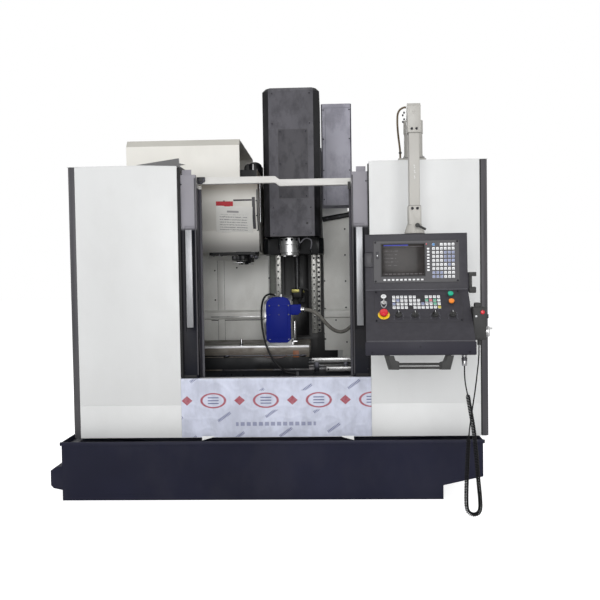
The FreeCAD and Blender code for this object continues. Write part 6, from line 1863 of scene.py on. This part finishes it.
# ---------------------------------------------------------------- tool magazine
@dataclass
class Magazine:
    """What the magazine carries: a paper sheet, a plain red label, edge strips, painted shade strips at the hatch,
    screws and the fittings below.
    """

    axis_y: float = 1115
    axis_z: float = 1945
    radius: float = 415
    left: float = -640
    right: float = -175
    hatch: tuple[float, float, float, float] = (-431, -195, 1688, 1921)
    flange_low: float = 1526
    arm: tuple[float, float, float] = (-300, 850, 1466)

    def build(self, bench: Bench) -> None:
        """Builds all of it."""
        self.label(bench)
        self.trim(bench)
        self.gear(bench)

    def bent(self, piece: Piece, x: float, z: float, rise: float, turn: float = 0) -> Piece:
        """Lays a flat piece round the drum.

        Args:
            piece: It, lying on Z = 0.
            x: Where its middle comes along the drum.
            z: The height of its middle.
            rise: How far proud of the sheet.
            turn: Its turn on the surface, in degrees.

        Returns:
            The bent piece.
        """
        piece.put(turned_by(turn))
        start = math.asin((z - self.axis_z) / (self.radius + rise))

        def wrap(place: Vector) -> Point:
            """Bends one point round the drum's axis."""
            angle = start + place.y / (self.radius + rise)
            reach = self.radius + rise + place.z
            return x + place.x, self.axis_y - reach * math.cos(angle), self.axis_z + reach * math.sin(angle)

        return piece.moved(wrap)

    def label(self, bench: Bench) -> None:
        """The paper that hangs slightly askew with a lifted corner, and the red label above it."""
        paper = Piece.sheet("notice_sheet", 262, 232, 28, 28).mapped()

        def curl(place: Vector) -> Point:
            """Lifts the lower corner and waves the sheet a little."""
            wave = noise.noise(Vector((place.x * 0.012, place.y * 0.012, 4))) * 2
            corner = max(0, (place.x - place.y) / 250 - 0.35)
            return place.x, place.y, 2.2 + wave + corner * corner * 26

        self.bent(paper.moved(curl), -350, 1762, 4, -3)
        paper.modified("SOLIDIFY", thickness=0.3, offset=1).smoothed(60)
        bench.hang(paper, PAPER, "magazine_cover")
        red = Piece.sheet("red_label", 122, 36, 10, 5)
        self.bent(red, -414, 1889, 5.4, -1).modified("SOLIDIFY", thickness=0.4, offset=1)
        bench.hang(red.smoothed(60), LABEL_RED, "magazine_cover")

    def trim(self, bench: Bench) -> None:
        """Edge strips, painted shade strips at the open hatch's side and top, the hatch's screws, the top band, second
        dome, skirt with painted shade towards its foot, side rod and dome clip.
        """
        kit = Kit(bench, "magazine_trim", "magazine_cover")
        x0, x1, z0, z1 = self.hatch
        # the two hatch strips are dark sheets for the shade in the open hatch: painted shade
        for name, size, grid, (x, z, rise), thick in (
                ("drum_edge_strip", (9, 640), (2, 30), (self.right - 5, 1830, 0.8), 1.6),
                ("drum_far_strip", (9, 640), (2, 30), (self.left + 5, 1830, 0.8), 1.6),
                ("hatch_side_shade_strip", (22, 236), (2, 14), (x1 - 11, (z0 + z1) / 2 + 14, 3.2), 0.7),
                ("hatch_top_shade_strip", (132, 12), (10, 2), (-284, 1914, 3.4), 0.7)):
            edge = self.bent(Piece.sheet(name, *size, *grid), x, z, rise)
            kit.add(edge.modified("SOLIDIFY", thickness=thick, offset=1), STRIP)
        kit.add(Piece.block("drum_top_band", (-408, 698.8, 2060), (-177, 700, 2127.5)), HEAD_BLACK)
        lobe = Piece.turned("second_dome", ((0, 0), (30, 0), (31, 6), (31, 44), (28, 58), (20, 70), (9, 77), (0, 78)),
                            28)
        kit.add(lobe.put(shift(-262, 930, 2127)), BLACK)
        skirt = Piece.sheet("drum_skirt", 460, 164, 2, 16)

        def hang(place: Vector) -> Point:
            """Lets the sheet fall nearly plumb from the drum in front of the gearbox."""
            drop = (82 - place.y) / 164
            return -408 + place.x, 777 + 9 * drop + 3 * math.sin(drop * 3), 1712 - 164 * drop

        # the skirt's finish darkens towards the bottom: painted shade
        kit.add(skirt.moved(hang).modified("SOLIDIFY", thickness=1.6, offset=0), SKIRT)
        cheek = Piece.cut_out("drum_skirt_end", ((779, 1712), (786, 1548), (1010, 1548), (900, 1590), (830, 1650)), 1.6)
        turn = Matrix(((0, 0, 1, -178), (1, 0, 0, 0), (0, 1, 0, 0), (0, 0, 0, 1)))
        kit.add(cheek.put(turn), SKIRT)
        dots = []
        for x in (x0 + 14, x1 + 9):
            for z in (z0 + 14, (z0 + z1) / 2, z1 - 12):
                angle = math.asin((z - self.axis_z) / (self.radius + 3))
                spot = (x, self.axis_y - (self.radius + 2.6) * math.cos(angle),
                        self.axis_z + (self.radius + 2.6) * math.sin(angle))
                dots.append(Matrix.Translation(spot) @ Matrix.Rotation(math.radians(90) - angle, 4, "X"))
        kit.add(screw("hatch_screw", 5).spread(dots), BLACKED)
        rod = Piece.bar("drum_side_rod", (self.right + 7, 812, 1760), (self.right + 7, 812, 2050), 4, 12)
        kit.add(rod, PLATED)
        clip = Piece.slab("dome_clip", 8, 62, 2.4, corner=2, rim=0.6)
        kit.add(clip.put(front(-222, 2164, 878)), WHITE_MARK)
        cleat = Piece.block("dome_clip_foot", (-229, 874, 2127), (-215, 884, 2134)).softened(1)
        kit.add(cleat, BLACK)
        kit.close()

    def gear(self, bench: Bench) -> None:
        """Nuts, a proximity switch and hoses on the changer's gearbox below the drum."""
        kit = Kit(bench, "changer_fittings", "changer_drive")
        bolt = screw("flange_bolt", 8, Head.HEX)
        down = turned_by(180, "X")
        kit.add(bolt.spread([shift(x, y, self.flange_low) @ down for x in (-530, -470, -212)
                             for y in (806, 894)]), PLATED)
        switch = joined(Piece.disc("switch_body", 9, 46, 18, rim=1), Piece.disc("switch_nut", 15, 7, 6, rim=1.2))
        kit.add(switch.spread([front(-236, 1516, 800), front(-206, 1508, 812)]), BLACKED)
        cap = Piece.turned("gearbox_plug", ((0, 0), (20, 0), (20, 14), (16, 18), (16, 30), (12, 33), (0, 33)), 22)
        kit.add(cap.put(shift(-250, 842, self.flange_low) @ down), HEAD_BLACK)
        hose = Piece.pipe("gearbox_hose", ((-222, 842, 1524), (-214, 838, 1496), (-196, 842, 1502), (-186, 860, 1560),
                                           (-184, 900, 1640)), 6)
        kit.add(hose, BLACK)
        kit.close()
        x, middle, top = self.arm
        arm = Kit(bench, "arm_trim", "changer_arm")
        jaw = Piece.ring("arm_jaw_plate", 84, 60, 14, 3, corner=12).softened(0.8)
        flat = turned_by(180, "X")
        arm.add(jaw.spread([shift(x, y, top) @ flat for y in (530, 1170)]), PLATED)
        arm.add(screw("arm_screw", 6, Head.SOCKET).spread(
            [shift(x + 30 * math.cos(a), middle + 30 * math.sin(a), top) @ flat
             for a in (math.tau * n / 6 for n in range(6))]), BLACKED)
        arm.close()


# ---------------------------------------------------------------- back of the machine
@dataclass
class Rear:
    """The back: the cabinet's fans, louvres, door line, lock and glands, and the duct's fold, seam and screws."""

    back_y: float = 2344
    left: float = -378
    right: float = 502
    low: float = 450
    high: float = 2150
    duct: tuple[float, float, float, float] = (279, 531, 1950, 2790)
    duct_y: float = 1600

    def build(self, bench: Bench) -> None:
        """Builds all of it."""
        self.dress_cabinet(bench)
        self.dress_duct(bench)

    def behind(self, x: float, z: float, rise: float = 0) -> Matrix:
        """A place on the cabinet door's outer face."""
        return Plane((0, self.back_y, 0), across=(-1, 0, 0)).at(-x, -z, rise)

    def dress_cabinet(self, bench: Bench) -> None:
        """Fans with wire guards, louvres, the door line, lock plate and screws, cable glands and the lid's edge."""
        kit = Kit(bench, "cabinet_door_fittings", "cabinet_door")
        fans = ((250, 1900), (-130, 1900))
        centres = [self.behind(x, z) for x, z in fans]
        frame = Piece.ring("fan_frame", 168, 168, 12, 5, corner=10).softened(1.2)
        kit.add(frame.spread(centres), BLACK)
        kit.add(grille("fan_guard", 68).spread(centres), PLATED)
        kit.add(Piece.disc("fan_dark", 71, 1.2, 32, rim=0.4).spread(centres), BLACK)
        kit.add(screw("fan_screw", 5).spread([self.behind(x + dx, z + dz, 5) for x, z in fans
                                                for dx in (-76, 76) for dz in (-76, 76)]), PLATED)
        kit.add(louvre("cabinet_louvre", 200).spread(
            [self.behind(x, 620 + LOUVRE_PITCH * row) for x in (-140, 260) for row in range(9)]), WHITE)
        kit.add(Piece.slab("cabinet_louvre_slot", 190, 4, 1, rim=0.3).spread(
            [self.behind(x, 611 + LOUVRE_PITCH * row) for x in (-140, 260) for row in range(9)]), BLACK)
        seam = Piece.ring("cabinet_door_line", 840, 1660, 3, 0.8, corner=12)
        kit.add(seam.put(self.behind(62, 1300)), STRIP)
        kit.add(Piece.slab("cabinet_lock_plate", 34, 128, 6, corner=15, rim=2).put(self.behind(457, 1380)), BLACK)
        kit.add(screw("cabinet_screw", 5).spread([self.behind(x, z) for x in (-360, 480)
                                                    for z in (500, 900, 1700, 2100)]), PLATED)
        kit.close()
        side = Kit(bench, "cabinet_fittings", "electrical_cabinet")
        gland = Piece.turned("cabinet_gland",
                             ((0, 0), (17, 0), (17, 7), (14, 8), (14, 16), (11, 22), (8, 24), (0, 24)), 20)
        under = turned_by(180, "X")
        side.add(gland.spread([shift(x, y, self.low) @ under for x in (-250, -170, -90, 160, 240, 320, 400)
                               for y in (2080, 2200)]), BLACK)
        lid = Piece.block("cabinet_rain_edge", (self.left - 6, 1962, self.high - 2),
                          (self.right - 4, 2340, self.high + 6))
        lid.edges(lambda m, w: m.z > self.high and abs(w.z) < 0.1, lambda: bpy.ops.mesh.bevel(offset=3, segments=2))
        side.add(lid, WHITE)
        side.close()

    def dress_duct(self, bench: Bench) -> None:
        """The duct's fold line, top seam and screws."""
        kit = Kit(bench, "duct_trim", "duct_housing")
        x0, x1, z0, z1 = self.duct
        fold = Piece.slab("duct_fold", 2.4, z1 - z0 - 20, 1, rim=0.4)
        kit.add(fold.put(front(x0 + 36, (z0 + z1) / 2, self.duct_y)), DUCT_LINE)
        kit.add(Piece.slab("duct_top_seam", x1 - x0 - 8, 3, 1, rim=0.4).put(
            front((x0 + x1) / 2, z1 - 34, self.duct_y)), DUCT_LINE)
        kit.add(screw("duct_screw", 5.5).spread([front(x, z, self.duct_y) for x in (x0 + 18, x1 - 18)
                                                 for z in (2000, 2240, 2500, 2740)]), BLACKED)
        kit.close()


# ---------------------------------------------------------------- pendant arm
@dataclass
class ArmTrim:
    """The pendant arm's screws, elbow plug, scuffs and seams, the post's flange ring and the bundle's clip."""

    swivel: tuple[float, float] = (810, -350)
    half: float = 37
    tube_half: float = 30
    post: tuple[float, float] = (860, 90)

    def build(self, bench: Bench) -> None:
        """Builds all of it."""
        x, y = self.swivel
        kit = Kit(bench, "boom_trim", "arm_boom")
        kit.add(screw("elbow_screw", 5, Head.SOCKET).spread(
            [front(x + dx, z, y - self.half) for dx in (-14, 13) for z in (2181,)]), BLACKED)
        eye = Piece.turned("elbow_plug", ((0, 0), (9, 0), (9, 1.6), (7, 2.6), (3, 2.6), (2, 1.4), (0, 1.4)), 20)
        kit.add(eye.put(front(x - 3, 2272, y - self.half)), ARM)
        kit.add(screw("coupling_screw", 5.5, Head.SOCKET).spread(
            [front(x + dx, 1737, y - self.half + 1) for dx in (-15, 14)]), BLACKED)
        scuff = Piece.slab("tube_scuff", 2.6, 8, 0.3, corner=1)
        kit.add(scuff.spread([front(dx + x, z, y - self.tube_half, turn) for dx, z, turn in
                              ((-2, 1978, 20), (1, 1966, -30), (0, 1948, 15), (2, 1939, 60), (-1, 1917, 10),
                               (1, 1908, -40))]),
                WHITE_MARK)
        groove = Piece.ring("tube_seam", 2 * self.tube_half + 6, 2 * self.tube_half + 6, 4, 5, corner=4)
        kit.add(groove.spread([shift(x, y, z) for z in (2158, 1750)]), ARM_DARK)
        kit.add(screw("boom_side_screw", 5.5, Head.SOCKET).spread(
            [LEFT.at(-yy, -z, self.half - x - CABIN_HALF) for yy in (-250, -180) for z in (2262, 2300)]),
            BLACKED)
        kit.close()
        base = Kit(bench, "post_trim", "arm_post")
        px, py = self.post
        flange = Piece.turned("post_flange_ring", ((56, 0), (74, 0), (74, 6), (70, 9), (64, 10), (58, 18), (56, 18)),
                              44)
        base.add(flange.put(shift(px, py, 2081)), ARM_DARK)
        bolts = screw("post_bolt", 7, Head.HEX)
        base.add(bolts.spread([shift(px + 67 * math.cos(a), py + 67 * math.sin(a), 2090)
                               for a in (math.tau * (n + 0.5) / 6 for n in range(6))]), PLATED)
        clip = Piece.turned("bundle_clip", ((6.4, -5), (9, -5), (9.6, -3), (9.6, 3), (9, 5), (6.4, 5)), 20)
        base.add(clip.put(shift(776, 58, 2120)), BLACK)
        base.close()


# ---------------------------------------------------------------- control pendant
@dataclass
class Panel:
    """The pendant's dressing: screen, key caps, marks round the knobs, rings, screws and the pulse box's parts."""

    screen: tuple[float, float, float, float] = (-71, 145.3, 236, 176)
    bezel: tuple[float, float, float, float] = (1, 154.4, 466, 232)
    plate: tuple[float, float, float, float] = (0, 126, 464, 230)
    key_rise: float = 6
    lower_key_rise: float = 5
    knobs: Sequence[float] = (-105, -18, 88, 180)
    knob_t: float = 198
    stop: tuple[float, float] = (-184, 190)
    lock: tuple[float, float] = (-182, 105)
    blanks: Sequence[tuple[int, int]] = ((0, 2), (0, 3), (1, 3), (3, 0))
    box: tuple[float, float, float, float, float, float] = (283, 350, -292, -196, 1016, 1190)
    plate_rise: float = 2
    bezel_rise: float = 3
    dial: tuple[float, float] = (-244, -1058)
    power: tuple[float, float] = (-182, 55)
    blocks: Sequence[float] = (-127, -37, 50)

    def build(self, bench: Bench) -> None:
        """Builds all of it."""
        self.fit_screen(bench)
        self.face_plates(bench)
        self.colour_keys(bench)
        self.mark_knobs(bench)
        self.fit_box(bench)

    @staticmethod
    def drop(z: float) -> float:
        """How far down the screen side a height lies."""
        return (1592 - z) / 0.99773

    def pad(self, row: int, column: int, rise: float) -> Matrix:
        """A place on the letter pad beside the screen."""
        return SCREEN_SIDE.at(96 + column * 21.3, self.drop(1529.5 - row * 22.2), rise)

    def block(self, first: float, row: int, column: int, rise: float) -> Matrix:
        """A place on one of the three key blocks below."""
        return KEY_SIDE.at(first + column * 21.7, 58 + row * 26.3, rise)

    def fit_screen(self, bench: Bench) -> None:
        """The lit screen in its recess, under a thin dark frame."""
        s, t, wide, tall = self.screen
        glass = Piece.slab("screen_glass", wide - 1, tall - 1, 1.6, rim=0.5).mapped()
        bench.hang(glass.put(SCREEN_SIDE.at(s, t, -2.9)).smoothed(30), SCREEN, "pendant_case")
        kit = Kit(bench, "screen_trim", "pendant_case")
        frame = Piece.ring("screen_frame", wide + 7, tall + 7, 5, 1.3, corner=4).softened(0.4)
        kit.add(frame.put(SCREEN_SIDE.at(s, t, self.bezel_rise)), BLACK)
        for number, (s0, s1, t0, t1) in enumerate(((-232, -193.5, 39.4, 269.4), (51.5, 234, 39.4, 269.4),
                                                   (-193.5, 51.5, 39.4, 52.6), (-193.5, 51.5, 238, 269.4))):
            skin = Piece.slab(f"bezel_skin_{number}", s1 - s0, t1 - t0, 0.4)
            kit.add(skin.put(SCREEN_SIDE.at((s0 + s1) / 2, (t0 + t1) / 2, self.bezel_rise)), BEZEL)
        mark = Piece.slab("slot_plate", 17, 40, 0.8, corner=2, rim=0.3)
        kit.add(mark.put(SCREEN_SIDE.at(-212.5, self.drop(1474.5), 3.4)), PENDANT_TRIM)
        kit.add(Piece.slab("slot_mark", 5, 8, 0.6, corner=1.5, rim=0.2).put(
            SCREEN_SIDE.at(-212.5, self.drop(1473), 4.2)), WHITE_MARK)
        lamp = Piece.turned("screen_lamp", ((0, 0), (3.4, 0), (3.4, 1), (2.4, 2.2), (0, 2.6)), 16)
        kit.add(lamp.put(SCREEN_SIDE.at(57, self.drop(1533), self.bezel_rise)), LAMP_RED)
        kit.close()

    def face_plates(self, bench: Bench) -> None:
        """Joints, screws and fold lines, the lead's gland, the back's slots, the hook and the handle's cheeks."""
        kit = Kit(bench, "pendant_fittings", "pendant_case")
        for name, plane, (s, t, wide, tall), rise in (("bezel", SCREEN_SIDE, self.bezel, self.bezel_rise),
                                                      ("key_plate", KEY_SIDE, self.plate, self.plate_rise)):
            face = Piece.ring(f"{name}_line", wide + 3, tall + 3, 2.2, 0.7, corner=4)
            kit.add(face.put(plane.at(s, t, 0)), BLACK)
            dots = [plane.at(s + dx * (wide / 2 - 9), t + dt * (tall / 2 - 8), rise + 0.4) for dx in (-1, 1)
                    for dt in (-1, 1)]
            kit.add(screw(f"{name}_screw", 3.6, Head.SOCKET).spread(dots), BLACKED)
        fold = Piece.slab("lip_fold_line", 552, 2, 0.6, rim=0.2)
        kit.add(fold.put(KEY_SIDE.at(0, 373, 0)), EDGE_LIGHT)
        ridge = Piece.slab("panel_fold_line", 556, 2, 0.5, rim=0.2)
        kit.add(ridge.put(SCREEN_SIDE.at(0, 310, 0)), EDGE_LIGHT)
        lip = Plane((0, -388, 948), turned=1)
        kit.add(screw("lip_screw", 4).spread([lip.at(s, -z, 0) for s, z in ((0, 44), (-250, 16), (250, 16))]),
                BLACKED)
        kit.add(screw("hook_screw", 3.5, Head.SOCKET).spread(
            [Plane((0, -100, 0), turned=1).at(297, -z, 0) for z in (1281, 1364)]), BLACKED)
        gland = joined(Piece.disc("lead_nut", 15.6, 12, 6, rim=1.6).put(shift(0, 0, 30)),
                       Piece.turned("lead_sleeve",
                                    ((8, 0), (12.4, 0), (13.2, 2), (13.2, 24), (12, 27), (12, 48), (14.5, 49),
                                                    (14.5, 56), (8, 56)), 22))
        kit.add(gland.put(HANG @ shift(228, -340, 888)), PLATED)
        vents = Piece.slab("case_slot", 60, 5, 0.8, corner=2.4, rim=0.3)
        rear = Plane((0, 85, 0), across=(-1, 0, 0), turned=1)
        kit.add(vents.spread([rear.at(s, -z, 0) for s in (-150, 150) for z in (1200 + 14 * n for n in range(10))]),
                BLACK)
        kit.add(screw("lid_screw", 4).spread([rear.at(s, -z, 0) for s in (-262, 0, 262)
                                                for z in (1150, 1360, 1566)]), PLATED)
        kit.add(Piece.slab("lip_skin", 568, 66, 0.7, rim=0.3).put(lip.at(0, -36, 0)), LIP_NAVY)
        grip = Piece.block("hook_bar", (288, -112, 1262), (303, -90, 1374)).softened(2)
        ends = joined(grip, Piece.block("hook_upper", (286, -116, 1352), (326, -88, 1375)).softened(3, 2),
                      Piece.block("hook_lower", (286, -118, 1260), (325, -86, 1294)).softened(6, 3))
        kit.add(ends.put(HANG), BLACK)
        kit.close()
        rail = Kit(bench, "handle_trim", "pendant_handle")
        for number, points in enumerate((((-170, 946), (-149, 873), (-110, 873), (-110, 914), (-130, 922), (-137, 946)),
                                         ((171, 946), (152, 873), (106, 873), (106, 914), (131, 922), (136, 946)))):
            cheek = Piece.cut_out(f"handle_cheek_{number}", points, 6).softened(1)
            rail.add(cheek.put(HANG @ front(0, 0, -378)), BLACK)
        rail.close()
        flap = Kit(bench, "flap_trim", "port_flap")
        pull = Piece.slab("flap_pull", 6, 26, 2, corner=2, rim=0.8)
        flap.add(pull.put(SCREEN_SIDE.at(-244, self.drop(1450), 1)), BLACK)
        flap.close()

    def colour_keys(self, bench: Bench) -> None:
        """Coloured skins on some key caps, dark blank keys, and a short plain mark on each cap."""
        kit = Kit(bench, "key_skins", "pendant_keys")
        square = [(r, c) for r in range(9) for c in range(6) if (r, c) not in ((0, 0), (0, 1))]
        tinted = [(r, c) for r, c in square if (2 <= r <= 4 and c >= 3) or (r >= 7 and c <= 2) or (r == 5 and c == 4)]
        skin = Piece.slab("letter_key_skin", 14, 14, 0.5, corner=1.6, rim=0.2)
        kit.add(skin.spread([self.pad(r, c, self.key_rise) for r, c in tinted]), KEY_BLUE)
        round_key = Piece.disc("round_key_skin", 7.4, 0.6, 20, rim=0.3)
        kit.add(round_key.put(self.pad(0, 0, self.key_rise)), BUTTON_BLUE)
        low = Piece.slab("block_key_skin", 15, 18, 0.5, corner=1.6, rim=0.2)
        for name, finish, cells in (("green", KEY_GREEN, ((50, 1, 0), (50, 1, 2), (50, 2, 2))),
                                    ("red", KEY_RED, ((50, 1, 1),)),
                                    ("yellow", KEY_YELLOW, ((50, 3, 3),)),
                                    ("pale", KEY_BLUE, ((-127, 1, 1), (-127, 2, 0), (-37, 2, 3)))):
            tint = Piece.slab(f"{name}_key_skin", 15, 18, 0.5, corner=1.6, rim=0.2)
            kit.add(tint.spread([self.block(f, r, c, self.lower_key_rise) for f, r, c in cells]), finish)
        low.spread([self.block(-37, r, c, 2) for r, c in self.blanks])
        kit.add(low, BLACK)
        mark = Piece.slab("key_mark", 6.4, 1.8, 0.25, corner=0.5)
        places = [self.pad(r, c, self.key_rise + 0.5) for r, c in square]
        for first in self.blocks:
            places += [self.block(first, r, c, self.lower_key_rise + 0.5) @ shift(0, 3.4, 0)
                       for r in range(4) for c in range(4) if first != -37 or (r, c) not in self.blanks]
        kit.add(mark.spread(places), MARK_GREY)
        second = Piece.slab("key_second_mark", 9, 1.4, 0.25, corner=0.4)
        kit.add(second.spread([place @ shift(0, -4.2, 0) for place in places]), MARK_GREY)
        kit.close()

    def mark_knobs(self, bench: Bench) -> None:
        """The knobs' scales, collars and pointers, the stop's ring, the lock's shield and the buttons' rims."""
        kit = Kit(bench, "control_marks", "pendant_case")
        tick = Piece.slab("scale_tick", 1.5, 5, 0.3, corner=0.4)
        ticks = [KEY_SIDE.at(s, self.knob_t, self.plate_rise) @ turned_by(-120 + 24 * n)
                 @ shift(0, 25, 0) for s in self.knobs for n in range(11)]
        kit.add(tick.spread(ticks), MARK_GREY)
        dash = Piece.slab("scale_dash", 5, 1.5, 0.3, corner=0.4)
        kit.add(dash.spread([KEY_SIDE.at(s + dx, self.knob_t + dt, self.plate_rise) for s in self.knobs
                             for dx, dt in ((-24, 22), (24, 22), (22, -20))]), MARK_GREY)
        collar = Piece.turned("knob_collar", ((0, 0), (21, 0), (21, 1.5), (19, 3), (9, 3), (9, 1), (0, 1)), 32)
        kit.add(collar.spread([KEY_SIDE.at(s, self.knob_t, self.plate_rise) for s in self.knobs]), PENDANT_TRIM)
        s, t = self.stop
        ring = Piece.turned("stop_ring", ((15.5, 0), (31.5, 0), (31.5, 2.6), (30, 3.6), (20, 4.4), (18, 3), (15.5, 3)),
                            48)
        kit.add(ring.put(KEY_SIDE.at(s, t, self.plate_rise)), YELLOW_GLOSS)
        for number, turn in enumerate((30, 150, 270)):
            sign = Piece.cut_out(f"stop_turn_mark_{number}", ((-3, -5), (3, -5), (0, 4)), 0.3)
            kit.add(sign.put(KEY_SIDE.at(s, t, 6) @ turned_by(turn)
                             @ shift(26.5, 0, 0)), BLACK)
        s, t = self.lock
        shield = Piece.cut_out("lock_shield", ((-17, 18), (17, 18), (17, 0), (14, -16), (8, -26), (0, -31), (-8, -26),
                                               (-14, -16), (-17, 0)), 1.2).softened(0.4)
        kit.add(shield.put(KEY_SIDE.at(s, t + 2, self.plate_rise)), SHIELD)
        inner = Piece.cut_out("lock_shield_field",
                              ((-13, 12), (13, 12), (13, 0), (10, -13), (5, -21), (0, -25), (-5, -21),
                                                    (-10, -13), (-13, 0)), 0.5)
        kit.add(inner.put(KEY_SIDE.at(s, t + 2, 3.2)), PENDANT_TRIM)
        bezel = Piece.turned("button_bezel", ((15.7, 0), (18.8, 0), (18.8, 3), (17.4, 4.6), (15.7, 4.6)), 36)
        kit.add(bezel.spread([KEY_SIDE.at(181, t, self.plate_rise) for t in (44, 100)]), BLACK)
        power = Piece.turned("power_mark", ((4.2, 0), (5.6, 0), (5.6, 0.4), (4.2, 0.4)), 24)
        kit.add(power.put(KEY_SIDE.at(*self.power, 9)), MARK_GREY)
        rim = Piece.turned("power_rim", ((15, 0), (18, 0), (18, 3), (16.4, 4.4), (15, 4.4)), 36)
        kit.add(rim.put(KEY_SIDE.at(*self.power, self.plate_rise)), BLACK)
        kit.close()
        for number, s in enumerate(self.knobs):
            pointer = Kit(bench, f"knob_pointer_{number + 1}", f"selector_knob_{number + 1}")
            line = Piece.slab(f"knob_line_{number + 1}", 1.8, 14, 0.5, corner=0.6)
            pointer.add(line.put(KEY_SIDE.at(s, self.knob_t - 6, 33.1 - 2)), WHITE_MARK)
            pointer.close()

    def fit_box(self, bench: Bench) -> None:
        """The pulse box's front plate, red button, lamp and axis knobs, and the dial's scale and rim."""
        x0, x1, y0, y1, z0, z1 = self.box
        kit = Kit(bench, "pulse_box_trim", "handwheel_box")
        face = Plane((0, y0, 0), turned=1)
        kit.add(Piece.slab("pulse_face", x1 - x0 - 12, z1 - z0 - 26, 1.6, corner=8, rim=0.6).put(
            face.at((x0 + x1) / 2, -(z0 + z1) / 2, 0)), BLACK)
        button = Piece.turned("pulse_stop", ((0, 0), (11, 0), (11, 4), (9.8, 7), (6, 8.4), (0, 8.8)), 26)
        kit.add(button.put(face.at(330, -1163, 1.6)), RED_GLOSS)
        kit.add(Piece.turned("pulse_stop_ring", ((8, 0), (13.6, 0), (13.6, 1.6), (8, 2)), 26).put(
            face.at(330, -1163, 1.2)), BLACK)
        lamp = Piece.turned("pulse_lamp", ((0, 0), (5, 0), (5, 1.6), (3, 3.2), (0, 3.6)), 18)
        kit.add(lamp.put(face.at(297, -1142, 1.6)), WHITE_MARK)
        side = Plane((x1, 0, 0), across=(0, 1, 0), turned=1)
        scale = Piece.turned("dial_scale", ((14, 0), (38, 0), (38, 1.2), (36, 1.8), (14, 1.8)), 44)
        kit.add(scale.put(side.at(*self.dial, 0)), BLACK)
        tick = Piece.slab("dial_tick", 1, 4.4, 0.3)
        kit.add(tick.spread([side.at(*self.dial, 1.9) @ Matrix.Rotation(math.tau * n / 50, 4, "Z")
                             @ shift(0, 33, 0) for n in range(50)]), WHITE_MARK)
        small = Piece.turned("axis_knob", ((0, 0), (12, 0), (12, 9), (10.4, 11), (0, 11)), 24)
        grip = Piece.slab("axis_knob_grip", 5, 22, 7, corner=2, rim=1).put(shift(0, 0, 9))
        knob = joined(small, grip)
        kit.add(knob.spread([side.at(-262, -1140, 0), side.at(-222, -1140, 0)]), BLACK)
        kit.close()
        wheel = Kit(bench, "pulse_dial_trim", "handwheel_dial")
        rim = Piece.turned("pulse_dial_rim", ((20, 0), (27.6, 0), (29, 2), (29, 8), (27.6, 10), (20, 10)), 44)
        wheel.add(rim.put(side.at(*self.dial, 8)), TURNED)
        wheel.close()


# ---------------------------------------------------------------- build all
def main() -> None:
    """Builds and dresses the machine in order."""
    logging.basicConfig(level=logging.INFO, format="%(name)s: %(message)s")
    bench = Bench()
    Studio().build()
    Cords().build(bench)
    for node, (finish, width) in SKINS.items():
        bench.refined(node, finish, width)
    for assembly in (Cabin(), Doors(), ColumnWays(), HeadTrim(), Slides(), Magazine(), Rear(), ArmTrim(), Panel()):
        assembly.build(bench)


if __name__ == "__main__":
    main()
